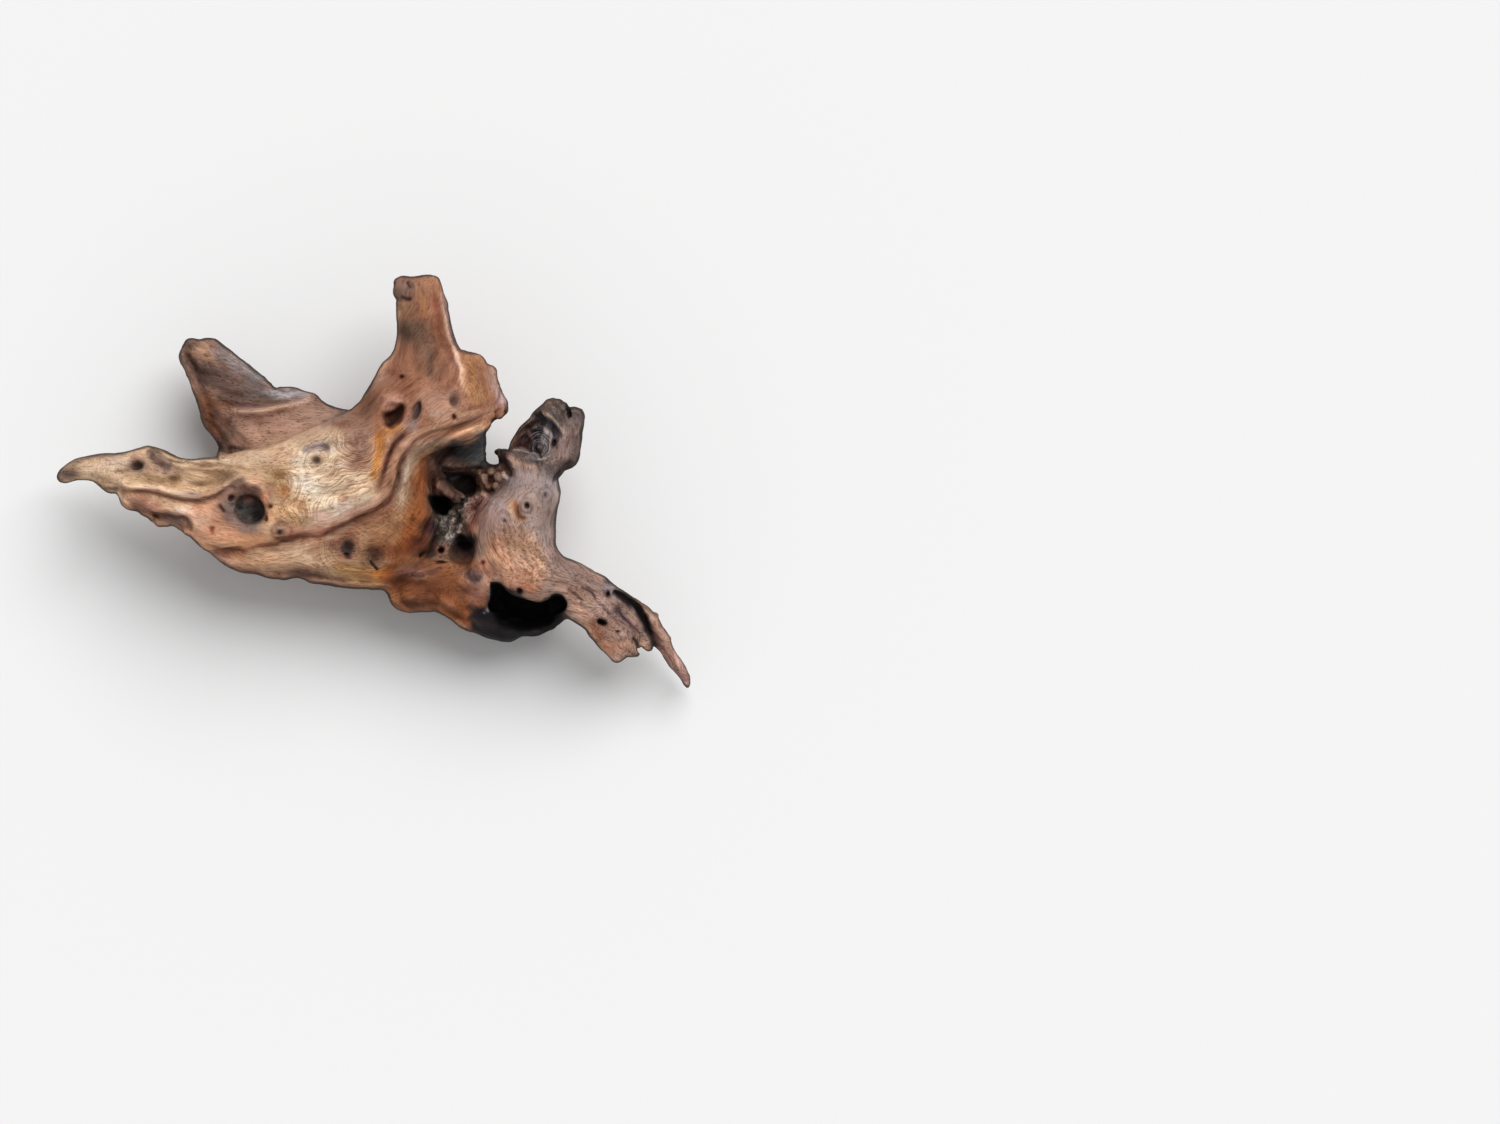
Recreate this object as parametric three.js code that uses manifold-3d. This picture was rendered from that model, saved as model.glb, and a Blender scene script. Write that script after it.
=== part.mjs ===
// A piece of mopani driftwood: a weathered root crown with its limbs, lying on its belly.
//
// Every mass of the wood is a sphere drawn out along hand-chosen ribs, or spread out to a
// hand-chosen outline. The masses are joined, the hollows are taken out of them, the underside is
// worn flat where it rests, and the wood is parted at its main forks.
// Millimetres, +Z up. The origin is under the middle of the piece, on the surface it rests on.

import * as THREE from 'three';
import { mergeVertices } from 'three/addons/utils/BufferGeometryUtils.js';
import Module from 'manifold-3d';

// Driving dimensions
const LENGTH = 381; // from the tip of the left limb to the end of the tail, along X
const FORK_GAP = 0.3; // width of the cut at each fork
const RIB_SQUARENESS = 0.88; // 1 is an ellipse, less is boxier
const SLAB_SQUARENESS = 0.6;
const LUMP_LENGTH = 31; // from one soft lump of the weathered surface to the next
const LUMP_DEPTH = 0.8;
const LEVEL_SPREAD = 22; // how far a level of a slab reaches

// Masses drawn out along ribs, from where they grow to their tip. A rib runs from its left edge
// to its right edge, as seen from above while facing the tip, and it has the height of its widest
// line, and how far it rises above that line and hangs below it.
const rib = (left, right, middle, above, below) => ({ left, right, middle, above, below });

const leftLimb = {
  around: 14,
  along: 20,
  ribs: [
    rib([-72, -24], [-70, 8], 66, 24, 24),
    rib([-86, -38], [-84, 14], 63, 27, 27),
    rib([-99, -41], [-97, 13], 61, 26, 25),
    rib([-110, -31], [-109, 13], 60, 25, 23),
    rib([-121, -27], [-121, 17], 59, 23, 21),
    rib([-133, -22], [-133, 22], 58, 21, 19),
    rib([-146, -16], [-144, 19], 57, 18, 17),
    rib([-153, -9], [-153, 17], 56, 15, 15),
    rib([-163, -3], [-163, 16], 55, 12, 13),
    rib([-174, 2], [-175, 15.5], 54, 9, 10),
    rib([-184, 1], [-184, 13], 53, 7, 8),
    rib([-189, 2], [-189, 8.5], 53, 4, 5),
    rib([-190.5, 4], [-190.5, 7], 53, 1, 1),
  ],
};
const upperLimb = {
  around: 14,
  along: 20,
  ribs: [
    rib([-14, 8], [22, 10], 80, 26, 24),
    rib([-22, 28], [52, 30], 78, 33, 28),
    rib([-13, 43], [79, 43], 77, 32, 25),
    rib([-5, 53], [79, 52], 77, 29, 22),
    rib([3, 65], [75, 62], 78, 24, 20),
    rib([9, 76], [68, 73], 79, 23, 20),
    rib([13, 84], [54, 80], 80, 22, 19),
    rib([15, 93], [47, 90], 80, 20, 18),
    rib([14, 104], [45, 103], 80, 17, 17),
    rib([11, 112], [43, 113], 79, 17, 16),
    rib([12, 120], [39, 120], 78, 16, 15),
    rib([17, 124], [35, 124.5], 78, 9, 9),
    rib([23, 125], [30, 125], 78, 1, 1),
  ],
};
const backLimb = {
  around: 12,
  along: 16,
  ribs: [
    rib([-48, -8], [2, 16], 40, 30, 32),
    rib([-66, 2], [-6, 34], 38, 33, 36),
    rib([-86, 15], [-20, 45], 36, 31, 39),
    rib([-95, 26], [-38, 54], 36, 29, 39),
    rib([-101, 38], [-57, 58], 37, 26, 34),
    rib([-105, 49], [-74, 69], 40, 23, 25),
    rib([-109, 60], [-85, 78], 42, 20, 19),
    rib([-113.5, 69], [-95, 85.5], 45, 17, 16),
    rib([-116.5, 76], [-104, 86.5], 47, 13, 12),
    rib([-115, 81], [-111, 85.5], 48, 6, 6),
    rib([-114, 83], [-113, 84], 48, 1, 1),
  ],
};
const shelf = {
  around: 12,
  along: 22,
  ribs: [
    rib([-108, -33], [-109, -36], 60, 1, 1),
    rib([-97, -24], [-101, -40], 59, 7, 12),
    rib([-80, -12], [-84, -49.5], 57, 13, 18),
    rib([-58, -2], [-62, -56], 55, 19, 23),
    rib([-36, 0], [-40, -59], 53, 22, 26),
    rib([-12, 2], [-16, -62], 52, 24, 28),
    rib([4, 8], [11, -62], 52, 26, 30),
    rib([10, 14], [31, -46], 53, 29, 32),
    rib([8, 26], [38, -22], 56, 31, 34),
    rib([10, 38], [34, 2], 60, 31, 34),
    rib([24, 50], [46, 22], 63, 27, 28),
    rib([46, 58], [64, 32], 66, 22, 24),
    rib([66, 57], [77, 40], 69, 15, 16),
    rib([75, 50], [80, 44], 72, 4, 4),
  ],
};
const burl = {
  around: 14,
  along: 15,
  ribs: [
    rib([100, 20], [88, 20], 66, 10, 12),
    rib([109, 8], [82, 9], 66, 26, 30),
    rib([112.5, -4], [74, -5], 66, 30, 50),
    rib([110, -18], [64, -15], 66, 35, 68),
    rib([108, -31], [58, -29], 64, 36, 68),
    rib([112, -43], [60, -44], 61, 33, 56),
    rib([122, -52], [52, -57], 59, 28, 44),
    rib([127, -62], [60, -67], 57, 23, 34),
    rib([116, -73], [76, -71], 56, 16, 20),
    rib([104, -74], [90, -73], 56, 2, 2),
  ],
};
const stub = {
  around: 12,
  along: 12,
  ribs: [
    rib([88, -6], [98, -10], 66, 14, 14),
    rib([78, 8], [108, -2], 68, 23, 24),
    rib([78, 18], [115, 6], 70, 23, 22),
    rib([84, 27], [122, 12], 72, 22, 20),
    rib([92, 36], [124, 24], 74, 21, 19),
    rib([100, 44.5], [120, 35], 76, 19, 18),
    rib([106, 51], [116, 46], 78, 13, 14),
    rib([109, 52], [112, 51], 78, 1, 1),
  ],
};
const stubLobe = {
  around: 8,
  along: 8,
  ribs: [
    rib([106, 10], [120, 8], 64, 12, 12),
    rib([110, 24], [124, 20], 68, 15, 14),
    rib([114, 34], [126, 31], 71, 16, 14),
    rib([116, 42], [126, 40], 73, 12, 12),
    rib([119, 45], [124, 44.5], 74, 4, 4),
  ],
};
const tail = {
  around: 12,
  along: 16,
  ribs: [
    rib([104, -46], [96, -66], 62, 16, 18),
    rib([113, -44], [105, -74], 60, 21, 24),
    rib([124, -48.5], [114, -80], 57, 21, 22),
    rib([134, -54], [120, -83], 53, 19, 20),
    rib([144, -62], [128, -89], 49, 16, 17),
    rib([152, -69], [134, -97], 45, 13, 14),
    rib([160, -78], [140, -105], 41, 10, 11),
    rib([166, -88], [147, -108.5], 37, 8, 9),
    rib([168, -97], [157, -104.5], 34, 5, 6),
    rib([167, -101.5], [164, -102.5], 33, 1, 1),
  ],
};
const splinter = {
  around: 8,
  along: 16,
  ribs: [
    rib([136, -55], [128, -66], 52, 8, 9),
    rib([148, -63], [140, -73], 47, 8, 10),
    rib([158, -71], [152, -79], 43, 7, 9),
    rib([167, -78], [161, -84], 39, 6, 8),
    rib([172, -86], [166, -91], 35, 5, 7),
    rib([177, -95], [171, -98], 31, 5, 6),
    rib([181, -103], [175, -107], 27, 4.5, 5),
    rib([187, -112], [181, -115], 23, 4, 4.5),
    rib([190, -120], [185, -120], 20, 3, 3.5),
    rib([190, -123], [187.5, -123], 19, 1, 1),
  ],
};
// A raised crest that runs along the inner side of the long ledge.
const crest = {
  around: 8,
  along: 16,
  ribs: [
    rib([-96, -36], [-97, -39], 64, 4, 4),
    rib([-68, -25], [-69, -33], 73, 9, 9),
    rib([-38, -21], [-38, -30], 78, 10, 10),
    rib([-10, -11], [-6, -21], 82, 10, 10),
    rib([4, 2], [14, -4], 88, 11, 11),
    rib([7, 16], [16, 12], 92, 11, 11),
    rib([18, 31], [25, 23], 93, 10, 10),
    rib([36, 38], [40, 28], 91, 9, 9),
    rib([56, 44], [60, 34], 87, 8, 8),
    rib([74, 50], [78, 43], 82, 5, 5),
    rib([78, 52], [79, 49], 80, 1, 1),
  ],
};
// The rotten wood that bridges the crown and the burl, low in the heart of the piece.
const heartSlab = {
  around: 10,
  along: 8,
  ribs: [
    rib([34, 40], [22, 20], 46, 12, 20),
    rib([52, 36], [38, 4], 44, 16, 26),
    rib([66, 30], [56, 4], 44, 18, 28),
    rib([84, 12], [76, -8], 50, 18, 26),
    rib([92, 0], [88, -8], 54, 10, 12),
  ],
};
const heartRot = {
  around: 10,
  along: 8,
  ribs: [
    rib([30, -12], [24, -44], 42, 10, 26),
    rib([46, -8], [40, -48], 40, 15, 32),
    rib([60, -4], [56, -50], 40, 20, 34),
    rib([72, -6], [70, -48], 44, 22, 30),
    rib([84, -14], [84, -40], 48, 14, 16),
  ],
};
const heartLump = {
  around: 8,
  along: 7,
  ribs: [
    rib([62, -6], [60, -12], 60, 4, 8),
    rib([62, 7], [68, -8], 62, 10, 16),
    rib([72, 12], [76, -5], 64, 13, 18),
    rib([84, 14], [84, 2], 64, 8, 12),
  ],
};

// Masses spread out to an outline seen from above, listed clockwise. The rim is the height of the
// widest line, and each level is a place with the height of the top and of the underside there.
const crown = {
  around: 32,
  down: 10,
  centre: [-46, -2],
  rim: 74,
  outline: [
    [-120, 14], [-108, 13], [-93, 13], [-85, 18], [-70, 20], [-58, 23], [-43, 30], [-26, 38],
    [-12, 44], [4, 42], [18, 35], [20, 26], [16, 18], [14.5, 11], [13, 3], [11, -5], [7, -11],
    [-9, -19], [-27, -27], [-38, -30], [-50, -31], [-63, -35], [-87, -39], [-99, -41],
    [-107, -35], [-118, -27], [-124, -12],
  ],
  levels: [
    [-118, 0, 80, 50], [-98, -22, 86, 46], [-74, -8, 98, 36], [-46, 14, 107, 30],
    [-24, -10, 111, 30], [2, 20, 116, 40], [-30, -26, 98, 40], [-84, 12, 90, 44],
  ],
};
// The low root mass that carries everything and stands on its lumps.
const belly = {
  around: 28,
  down: 10,
  centre: [4, -6],
  rim: 34,
  outline: [
    [-92, 22], [-74, 38], [-46, 42], [-16, 34], [16, 34], [46, 30], [72, 20], [96, 14], [108, 0],
    [104, -22], [98, -40], [70, -52], [38, -50], [4, -48], [-36, -42], [-68, -30], [-86, -6],
  ],
  levels: [
    [-80, 20, 56, 6], [-42, -24, 60, -9], [-30, 22, 56, 14], [0, -8, 64, 22], [30, -34, 44, 10],
    [62, 16, 40, -10], [72, -34, 46, 12], [94, 0, 56, -4], [60, -10, 42, 14], [10, 24, 60, 16],
  ],
};
const lobe = {
  around: 24,
  down: 10,
  centre: [66, -68],
  rim: 38,
  outline: [
    [10, -58], [13, -51], [24, -45], [40, -42], [62, -40], [88, -42], [108, -50], [118, -62],
    [118, -76], [112, -86], [101, -91], [90, -93], [82, -96], [72, -93.5], [62, -90.5], [53, -87],
    [43, -80], [35, -76.5], [23, -78], [14, -75], [10, -66],
  ],
  levels: [
    [20, -62, 64, 16], [42, -64, 64, 0], [62, -70, 60, -5], [84, -80, 46, -5],
    [108, -78, 44, 6], [84, -56, 62, -3], [112, -64, 52, 12],
  ],
};

// Hollows, as ellipsoids: a place, the half sizes, and the turns about X and Z in degrees.
const hollow = (place, halfSizes, tilt = 0, turn = 0) => ({ place, halfSizes, tilt, turn });

const hollows = [
  hollow([-79, -14, 101], [17, 13, 12], 0, -20), // funnel of the deep pit
  hollow([-73, -17, 86], [7.5, 7, 26]), // the pit itself
  hollow([-84, -8, 96], [4, 4, 8]), // small hole beside the pit
  hollow([11, 40, 110], [7.5, 8.5, 24], 12), // knot hole below the upper limb
  hollow([26, 43, 108], [3, 5.5, 9]), // grey hole beside it
  hollow([-108, 5, 90], [27, 6.5, 9], 0, -4), // trough along the left limb
  hollow([-143, 10, 77], [4, 4, 9]), // hole near the beak
  hollow([-35, 21, 112], [11, 4, 5], 0, 5), // grey dimple on the crest
  hollow([48, 39, 101], [4, 5, 5]), // knot on the upper limb's shoulder
  hollow([-17, -40, 78], [5.5, 6, 5]), // knots on the shelf
  hollow([2, -44, 78], [5, 5.5, 5]),
  hollow([40, -13, 56], [6.5, 6.5, 22]), // black hole at the ledge
  hollow([54, -42, 54], [9, 8, 24]), // black hole in the rotten heart
  hollow([91, -79, 52], [21, 13, 30], 10, -8), // the cave
  hollow([82, -71, 50], [13, 10, 24], 8, 0),
  hollow([107, -73, 54], [8, 8, 16]),
  hollow([94, 27, 92], [15, 8, 20], 0, 52), // hollow of the stub
  hollow([114, 45, 84], [2.6, 9, 22], 0, 24), // cleft between the stub and its lobe
  hollow([160, -88, 44], [18, 2.2, 22], 0, -52), // slots along the tail
  hollow([142, -68, 66], [6, 3, 9], 0, -40),
  hollow([137, -84, 60], [3.4, 2.2, 14]),
  hollow([-102, 76, 62], [3, 3, 8]), // holes in the back limb
  hollow([61, -60, 86], [5.5, 4.5, 5]), // grey knot above the lobe
];

// The forks. Each limb is the wood past the fork's line, which runs through its place at right
// angles to its heading, in degrees from +X, and is as wide as stated. A limb may fork again.
const forks = [
  { name: 'left_limb', place: [-98, -22], heading: 180, width: 94 },
  { name: 'back_limb', place: [-52, 27], heading: 112, width: 92 },
  { name: 'upper_limb', place: [37, 62], heading: 90, width: 110 },
  {
    name: 'burl',
    place: [47, -9],
    heading: -34,
    width: 300,
    forks: [
      { name: 'tail_limb', place: [116, -90], heading: -4, width: 130 },
      { name: 'hollow_stub', place: [104, 7], heading: 90, width: 62 },
      { name: 'lower_lobe', place: [55, -57.5], heading: -105, width: 130 },
    ],
  },
];

// Colours of the weathered wood
const woods = {
  crown: 0xc9a27c,
  left_limb: 0xc4a07d,
  back_limb: 0x84635a,
  upper_limb: 0xa5755a,
  burl: 0x9c7d73,
  hollow_stub: 0x5b4a46,
  lower_lobe: 0x94614a,
  tail_limb: 0xa07a6c,
};
const ROUGHNESS = 0.82;

const wasm = await Module();
wasm.setup();

// Soft lumps all over the weathered surface
function weather(point) {
  const wave = (a, b, c) => Math.sin(a + 2 * Math.sin(b) + c / 2);
  const turns = point.clone().multiplyScalar((2 * Math.PI) / LUMP_LENGTH);
  point.x += LUMP_DEPTH * wave(turns.y, turns.z, turns.x);
  point.y += LUMP_DEPTH * wave(turns.z, turns.x, turns.y);
  point.z += 2 * LUMP_DEPTH * wave(turns.x, turns.y, turns.z);
}

// A geometry's points and faces, with its shared corners merged.
function pointsOnly(geometry) {
  geometry.deleteAttribute('normal');
  geometry.deleteAttribute('uv');
  return mergeVertices(geometry);
}

// A closed solid from a sphere whose points, on the unit sphere, are each moved by place.
function solidFrom(around, along, place) {
  const geometry = pointsOnly(new THREE.SphereGeometry(1, around, along));
  const position = geometry.attributes.position;
  const point = new THREE.Vector3();
  for (let i = 0; i < position.count; i += 1) {
    place(point.fromBufferAttribute(position, i));
    position.setXYZ(i, point.x, point.y, point.z);
  }
  return toSolid(geometry);
}

function toSolid(geometry) {
  const vertProperties = new Float32Array(geometry.attributes.position.array);
  const triVerts = new Uint32Array(geometry.index.array);
  return new wasm.Manifold(new wasm.Mesh({ numProp: 3, vertProperties, triVerts }));
}

function toGeometry(solid) {
  const { vertProperties, triVerts } = solid.getMesh();
  const geometry = new THREE.BufferGeometry();
  geometry.setAttribute('position', new THREE.BufferAttribute(vertProperties, 3));
  geometry.setIndex(new THREE.BufferAttribute(triVerts, 1));
  return geometry;
}

const squared = (value, squareness) => Math.sign(value) * Math.abs(value) ** squareness;

// A sphere drawn out along its ribs, with its poles at the two ends.
function drawnOut({ ribs, around, along }) {
  const smooth = (vectorOf) => new THREE.CatmullRomCurve3(ribs.map(vectorOf));
  const lefts = smooth(({ left, middle }) => new THREE.Vector3(left[0], left[1], middle));
  const rights = smooth(({ right, middle }) => new THREE.Vector3(right[0], right[1], middle));
  const heights = smooth(({ above, below }) => new THREE.Vector3(above, below, 0));
  return solidFrom(around, along, (point) => {
    const t = 1 - Math.acos(THREE.MathUtils.clamp(point.y, -1, 1)) / Math.PI;
    const reach = Math.hypot(point.x, point.z);
    const atPole = reach < 1e-6;
    const side = atPole ? 0 : squared(point.x / reach, RIB_SQUARENESS);
    const lift = atPole ? 0 : squared(point.z / reach, RIB_SQUARENESS);
    const height = heights.getPoint(t);
    point.copy(lefts.getPoint(t)).lerp(rights.getPoint(t), (1 + side) / 2);
    point.z += lift * Math.max(lift > 0 ? height.x : height.y, 0.5);
    weather(point);
  });
}

// The top and the underside of a slab at a place, blended from its levels.
function levelsAt(levels, x, y) {
  const nearness = levels.map((level) => {
    const distance = Math.hypot(x - level[0], y - level[1]) / LEVEL_SPREAD;
    return Math.exp(-(distance ** 2) / 2);
  });
  const total = nearness.reduce((sum, near) => sum + near, 0);
  const blend = (column) => levels.reduce((sum, level, i) => sum + level[column] * nearness[i], 0) / total;
  return { top: blend(2), underside: blend(3) };
}

// A sphere spread out to its outline, with its poles at the top and at the underside.
function spreadOut({ outline, centre, rim, levels, around, down }) {
  const points = outline.map(([x, y]) => new THREE.Vector3(x, y, 0));
  const curve = new THREE.CatmullRomCurve3(points, true);
  return solidFrom(around, down, (point) => {
    const turn = Math.atan2(point.z, point.x) / (2 * Math.PI);
    const edge = curve.getPoint(turn - Math.floor(turn));
    const reach = Math.min(1, Math.hypot(point.x, point.z)) ** SLAB_SQUARENESS;
    const rise = squared(point.y, SLAB_SQUARENESS);
    const x = THREE.MathUtils.lerp(centre[0], edge.x, reach);
    const y = THREE.MathUtils.lerp(centre[1], edge.y, reach);
    const { top, underside } = levelsAt(levels, x, y);
    point.set(x, y, rim + rise * (rise > 0 ? top - rim : rim - underside));
    weather(point);
  });
}

// An ellipsoid to take out
function ellipsoid({ place, halfSizes, tilt, turn }) {
  const turned = new THREE.Euler(THREE.MathUtils.degToRad(tilt), 0, THREE.MathUtils.degToRad(turn), 'ZYX');
  const AROUND = 8;
  const DOWN = 6;
  return solidFrom(AROUND, DOWN, (point) => {
    point.set(point.x, -point.z, point.y).multiply(new THREE.Vector3(...halfSizes));
    point.applyEuler(turned).add(new THREE.Vector3(...place));
  });
}

// All that lies past a fork's line, or past a line set back from it.
function reachOf({ place, heading, width }, setBack) {
  const box = new THREE.BoxGeometry(LENGTH, width + 2 * setBack, LENGTH);
  box.translate(LENGTH / 2 - setBack, 0, 0);
  box.rotateZ(THREE.MathUtils.degToRad(heading));
  box.translate(place[0], place[1], 0);
  return toSolid(pointsOnly(box));
}

// The whole piece, worn flat where it rests
function wholePiece() {
  const limbs = [leftLimb, upperLimb, backLimb, shelf, burl, stub, stubLobe, tail, splinter, crest];
  const heart = [heartSlab, heartRot, heartLump];
  const masses = [...limbs, ...heart].map(drawnOut);
  masses.push(...[crown, belly, lobe].map(spreadOut));
  const joined = masses.reduce((wood, mass) => wood.add(mass));
  const hollowed = hollows.map(ellipsoid).reduce((wood, hole) => wood.subtract(hole), joined);
  const underground = new THREE.BoxGeometry(2 * LENGTH, 2 * LENGTH, LENGTH).translate(0, 0, -LENGTH / 2);
  return hollowed.subtract(toSolid(pointsOnly(underground)));
}

// The largest of the bodies that a solid is made of
const largest = (solid) => solid.decompose().sort((a, b) => b.volume() - a.volume())[0];

const driftwood = new THREE.Group();

// Names the wood past each fork, and what is left of it.
function partAtForks(name, wood, limbs = []) {
  let rest = wood;
  for (const limb of limbs) {
    partAtForks(limb.name, rest.intersect(reachOf(limb, 0)), limb.forks);
    rest = rest.subtract(reachOf(limb, FORK_GAP));
  }
  const material = new THREE.MeshStandardMaterial({ color: woods[name], roughness: ROUGHNESS, metalness: 0 });
  const mesh = new THREE.Mesh(toGeometry(largest(rest)), material);
  mesh.name = name;
  driftwood.add(mesh);
}

partAtForks('crown', wholePiece(), forks);

// Set to its length, with the origin under the middle of it
const size = new THREE.Box3().setFromObject(driftwood).getSize(new THREE.Vector3());
driftwood.scale.setScalar(LENGTH / size.x);
const box = new THREE.Box3().setFromObject(driftwood);
const middle = box.getCenter(new THREE.Vector3());
driftwood.position.set(-middle.x, -middle.y, -box.min.z);

export default driftwood;
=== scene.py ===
import math
import time

import bmesh
import bpy
import numpy as np
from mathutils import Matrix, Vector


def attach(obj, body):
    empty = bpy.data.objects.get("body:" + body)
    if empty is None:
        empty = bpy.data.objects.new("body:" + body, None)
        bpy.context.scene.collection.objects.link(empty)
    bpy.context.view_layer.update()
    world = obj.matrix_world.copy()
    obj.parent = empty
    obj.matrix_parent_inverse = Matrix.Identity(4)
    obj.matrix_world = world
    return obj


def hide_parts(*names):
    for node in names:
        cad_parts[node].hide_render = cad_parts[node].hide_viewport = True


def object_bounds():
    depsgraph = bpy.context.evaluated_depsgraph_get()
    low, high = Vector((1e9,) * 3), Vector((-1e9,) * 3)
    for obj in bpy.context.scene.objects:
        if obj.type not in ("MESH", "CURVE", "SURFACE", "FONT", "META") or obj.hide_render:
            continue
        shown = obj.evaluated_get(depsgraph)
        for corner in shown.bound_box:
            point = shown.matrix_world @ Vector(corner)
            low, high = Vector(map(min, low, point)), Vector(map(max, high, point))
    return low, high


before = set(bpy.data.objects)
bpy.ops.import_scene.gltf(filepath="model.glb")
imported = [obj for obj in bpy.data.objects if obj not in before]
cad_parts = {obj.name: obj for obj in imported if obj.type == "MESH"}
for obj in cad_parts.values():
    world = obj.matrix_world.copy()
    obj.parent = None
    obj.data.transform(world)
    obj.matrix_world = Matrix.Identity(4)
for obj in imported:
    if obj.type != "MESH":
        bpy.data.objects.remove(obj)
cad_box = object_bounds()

import openvdb as vdb
from mathutils import Vector

started = time.time()


def note(text):
    print(f"[{time.time() - started:6.1f} s] {text}", flush=True)


# Sizes, in millimetres unless a name says otherwise
MM = 0.001
VOXEL = 0.9
MARGIN = 9.0  # room round the wood in the volume
BAND = 9.0  # how far from the skin the distances are true
PIXEL = 0.6  # millimetres of wood to one picture element
PICTURE_ZERO = (372.7, 480.8)  # the picture place over the frame's origin
MAP_STEP = 0.5  # cell of the plan maps

low = np.array(cad_box[0]) / MM - MARGIN
high = np.array(cad_box[1]) / MM + MARGIN
shape = tuple(np.ceil((high - low) / VOXEL).astype(int) + 1)


# ---------------------------------------------------------------- small tools
def smooth_step(a, b, x):
    t = np.clip((x - a) / (b - a), 0, 1)
    return t * t * (3 - 2 * t)


def blurred(field, sigma):
    """A soft copy of a field, with sigma in cells."""
    reach = max(1, int(math.ceil(sigma * 2.6)))
    taps = np.exp(-0.5 * (np.arange(-reach, reach + 1) / sigma) ** 2)
    taps = (taps / taps.sum()).astype(np.float32)
    for axis in range(field.ndim):
        pad = [(0, 0)] * field.ndim
        pad[axis] = (reach, reach)
        padded = np.pad(field, pad, mode="edge")
        out = np.zeros_like(field)
        for i, w in enumerate(taps):
            cut = [slice(None)] * field.ndim
            cut[axis] = slice(i, i + field.shape[axis])
            out += w * padded[tuple(cut)]
        field = out
    return field


def cubic_rows(count, cell, spacing):
    """The weights that spread knots every spacing out to count cells."""
    place = np.arange(count) * cell / spacing
    base = np.floor(place).astype(int)
    t = place - base
    rows = np.zeros((count, int(base.max()) + 4), np.float32)
    weights = ((1 - t) ** 3 / 6, (3 * t**3 - 6 * t**2 + 4) / 6, (-3 * t**3 + 3 * t**2 + 3 * t + 1) / 6, t**3 / 6)
    for k, w in enumerate(weights):
        rows[np.arange(count), base + k] = w
    return rows


def lumps(spacing, seed, sizes=None, cell=None):
    """Smooth noise through a whole grid, about -1 to 1, with a lump every spacing."""
    sizes = sizes or shape
    cell = cell or VOXEL
    rows = [cubic_rows(n, cell, spacing) for n in sizes]
    field = np.random.RandomState(seed).uniform(-1, 1, [r.shape[1] for r in rows]).astype(np.float32)
    for axis, r in enumerate(rows):
        field = np.moveaxis(np.tensordot(r, field, axes=(1, axis)), 0, axis)
    return field * 1.8


LATTICE = 64
lattices = np.random.RandomState(5).uniform(-1, 1, (4, LATTICE, LATTICE, LATTICE)).astype(np.float32)


def noise_at(points, kind=0):
    """Smooth noise at any points, about -1 to 1, with a lump to a unit."""
    base = np.floor(points).astype(int)
    t = (points - base).astype(np.float32)
    t = t * t * (3 - 2 * t)
    total = np.zeros(len(points), np.float32)
    grid = lattices[kind]
    for corner in range(8):
        pick = np.array([corner & 1, corner >> 1 & 1, corner >> 2])
        w = np.prod(np.where(pick, t, 1 - t), axis=1)
        i, j, k = ((base + pick) % LATTICE).T
        total += w * grid[i, j, k]
    return total * 1.4


def spline(points, step=1.5):
    """A smooth line through given points, each with its numbers, cut every step."""
    p = np.array(points, float)
    p = np.vstack([2 * p[0] - p[1], p, 2 * p[-1] - p[-2]])
    out = []
    for a, b, c, d in zip(p[:-3], p[1:-2], p[2:-1], p[3:]):
        n = max(1, int(np.linalg.norm((c - b)[:2]) / step))
        for i in range(n):
            t = i / n
            out.append(0.5 * (2 * b + (c - a) * t + (2 * a - 5 * b + 4 * c - d) * t**2 + (3 * b - a - 3 * c + d) * t**3))
    out.append(p[-2])
    return np.array(out)


# ------------------------------------------------------------------ plan maps
plan_low = low[:2]
plan_sizes = tuple(np.ceil((high - low)[:2] / MAP_STEP).astype(int) + 1)
plan_x = plan_low[0] + np.arange(plan_sizes[0]) * MAP_STEP
plan_y = plan_low[1] + np.arange(plan_sizes[1]) * MAP_STEP


def place(px, py):
    """A picture place, in millimetres of the plan."""
    return (px - PICTURE_ZERO[0]) * PIXEL, (PICTURE_ZERO[1] - py) * PIXEL


def plan_line(points, width):
    """A line of picture places, in the plan, with a half-width at each point."""
    rows = []
    for point in points:
        x, y = place(point[0], point[1])
        rows.append((x, y, point[2] if len(point) > 2 else width))
    return spline(rows)


def window(x0, x1, y0, y1):
    i = np.clip(((np.array([x0, x1]) - plan_low[0]) / MAP_STEP).astype(int) + (0, 2), 0, plan_sizes[0])
    j = np.clip(((np.array([y0, y1]) - plan_low[1]) / MAP_STEP).astype(int) + (0, 2), 0, plan_sizes[1])
    cut = slice(i[0], i[1]), slice(j[0], j[1])
    gx, gy = np.meshgrid(plan_x[cut[0]], plan_y[cut[1]], indexing="ij")
    return cut, gx, gy


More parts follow.
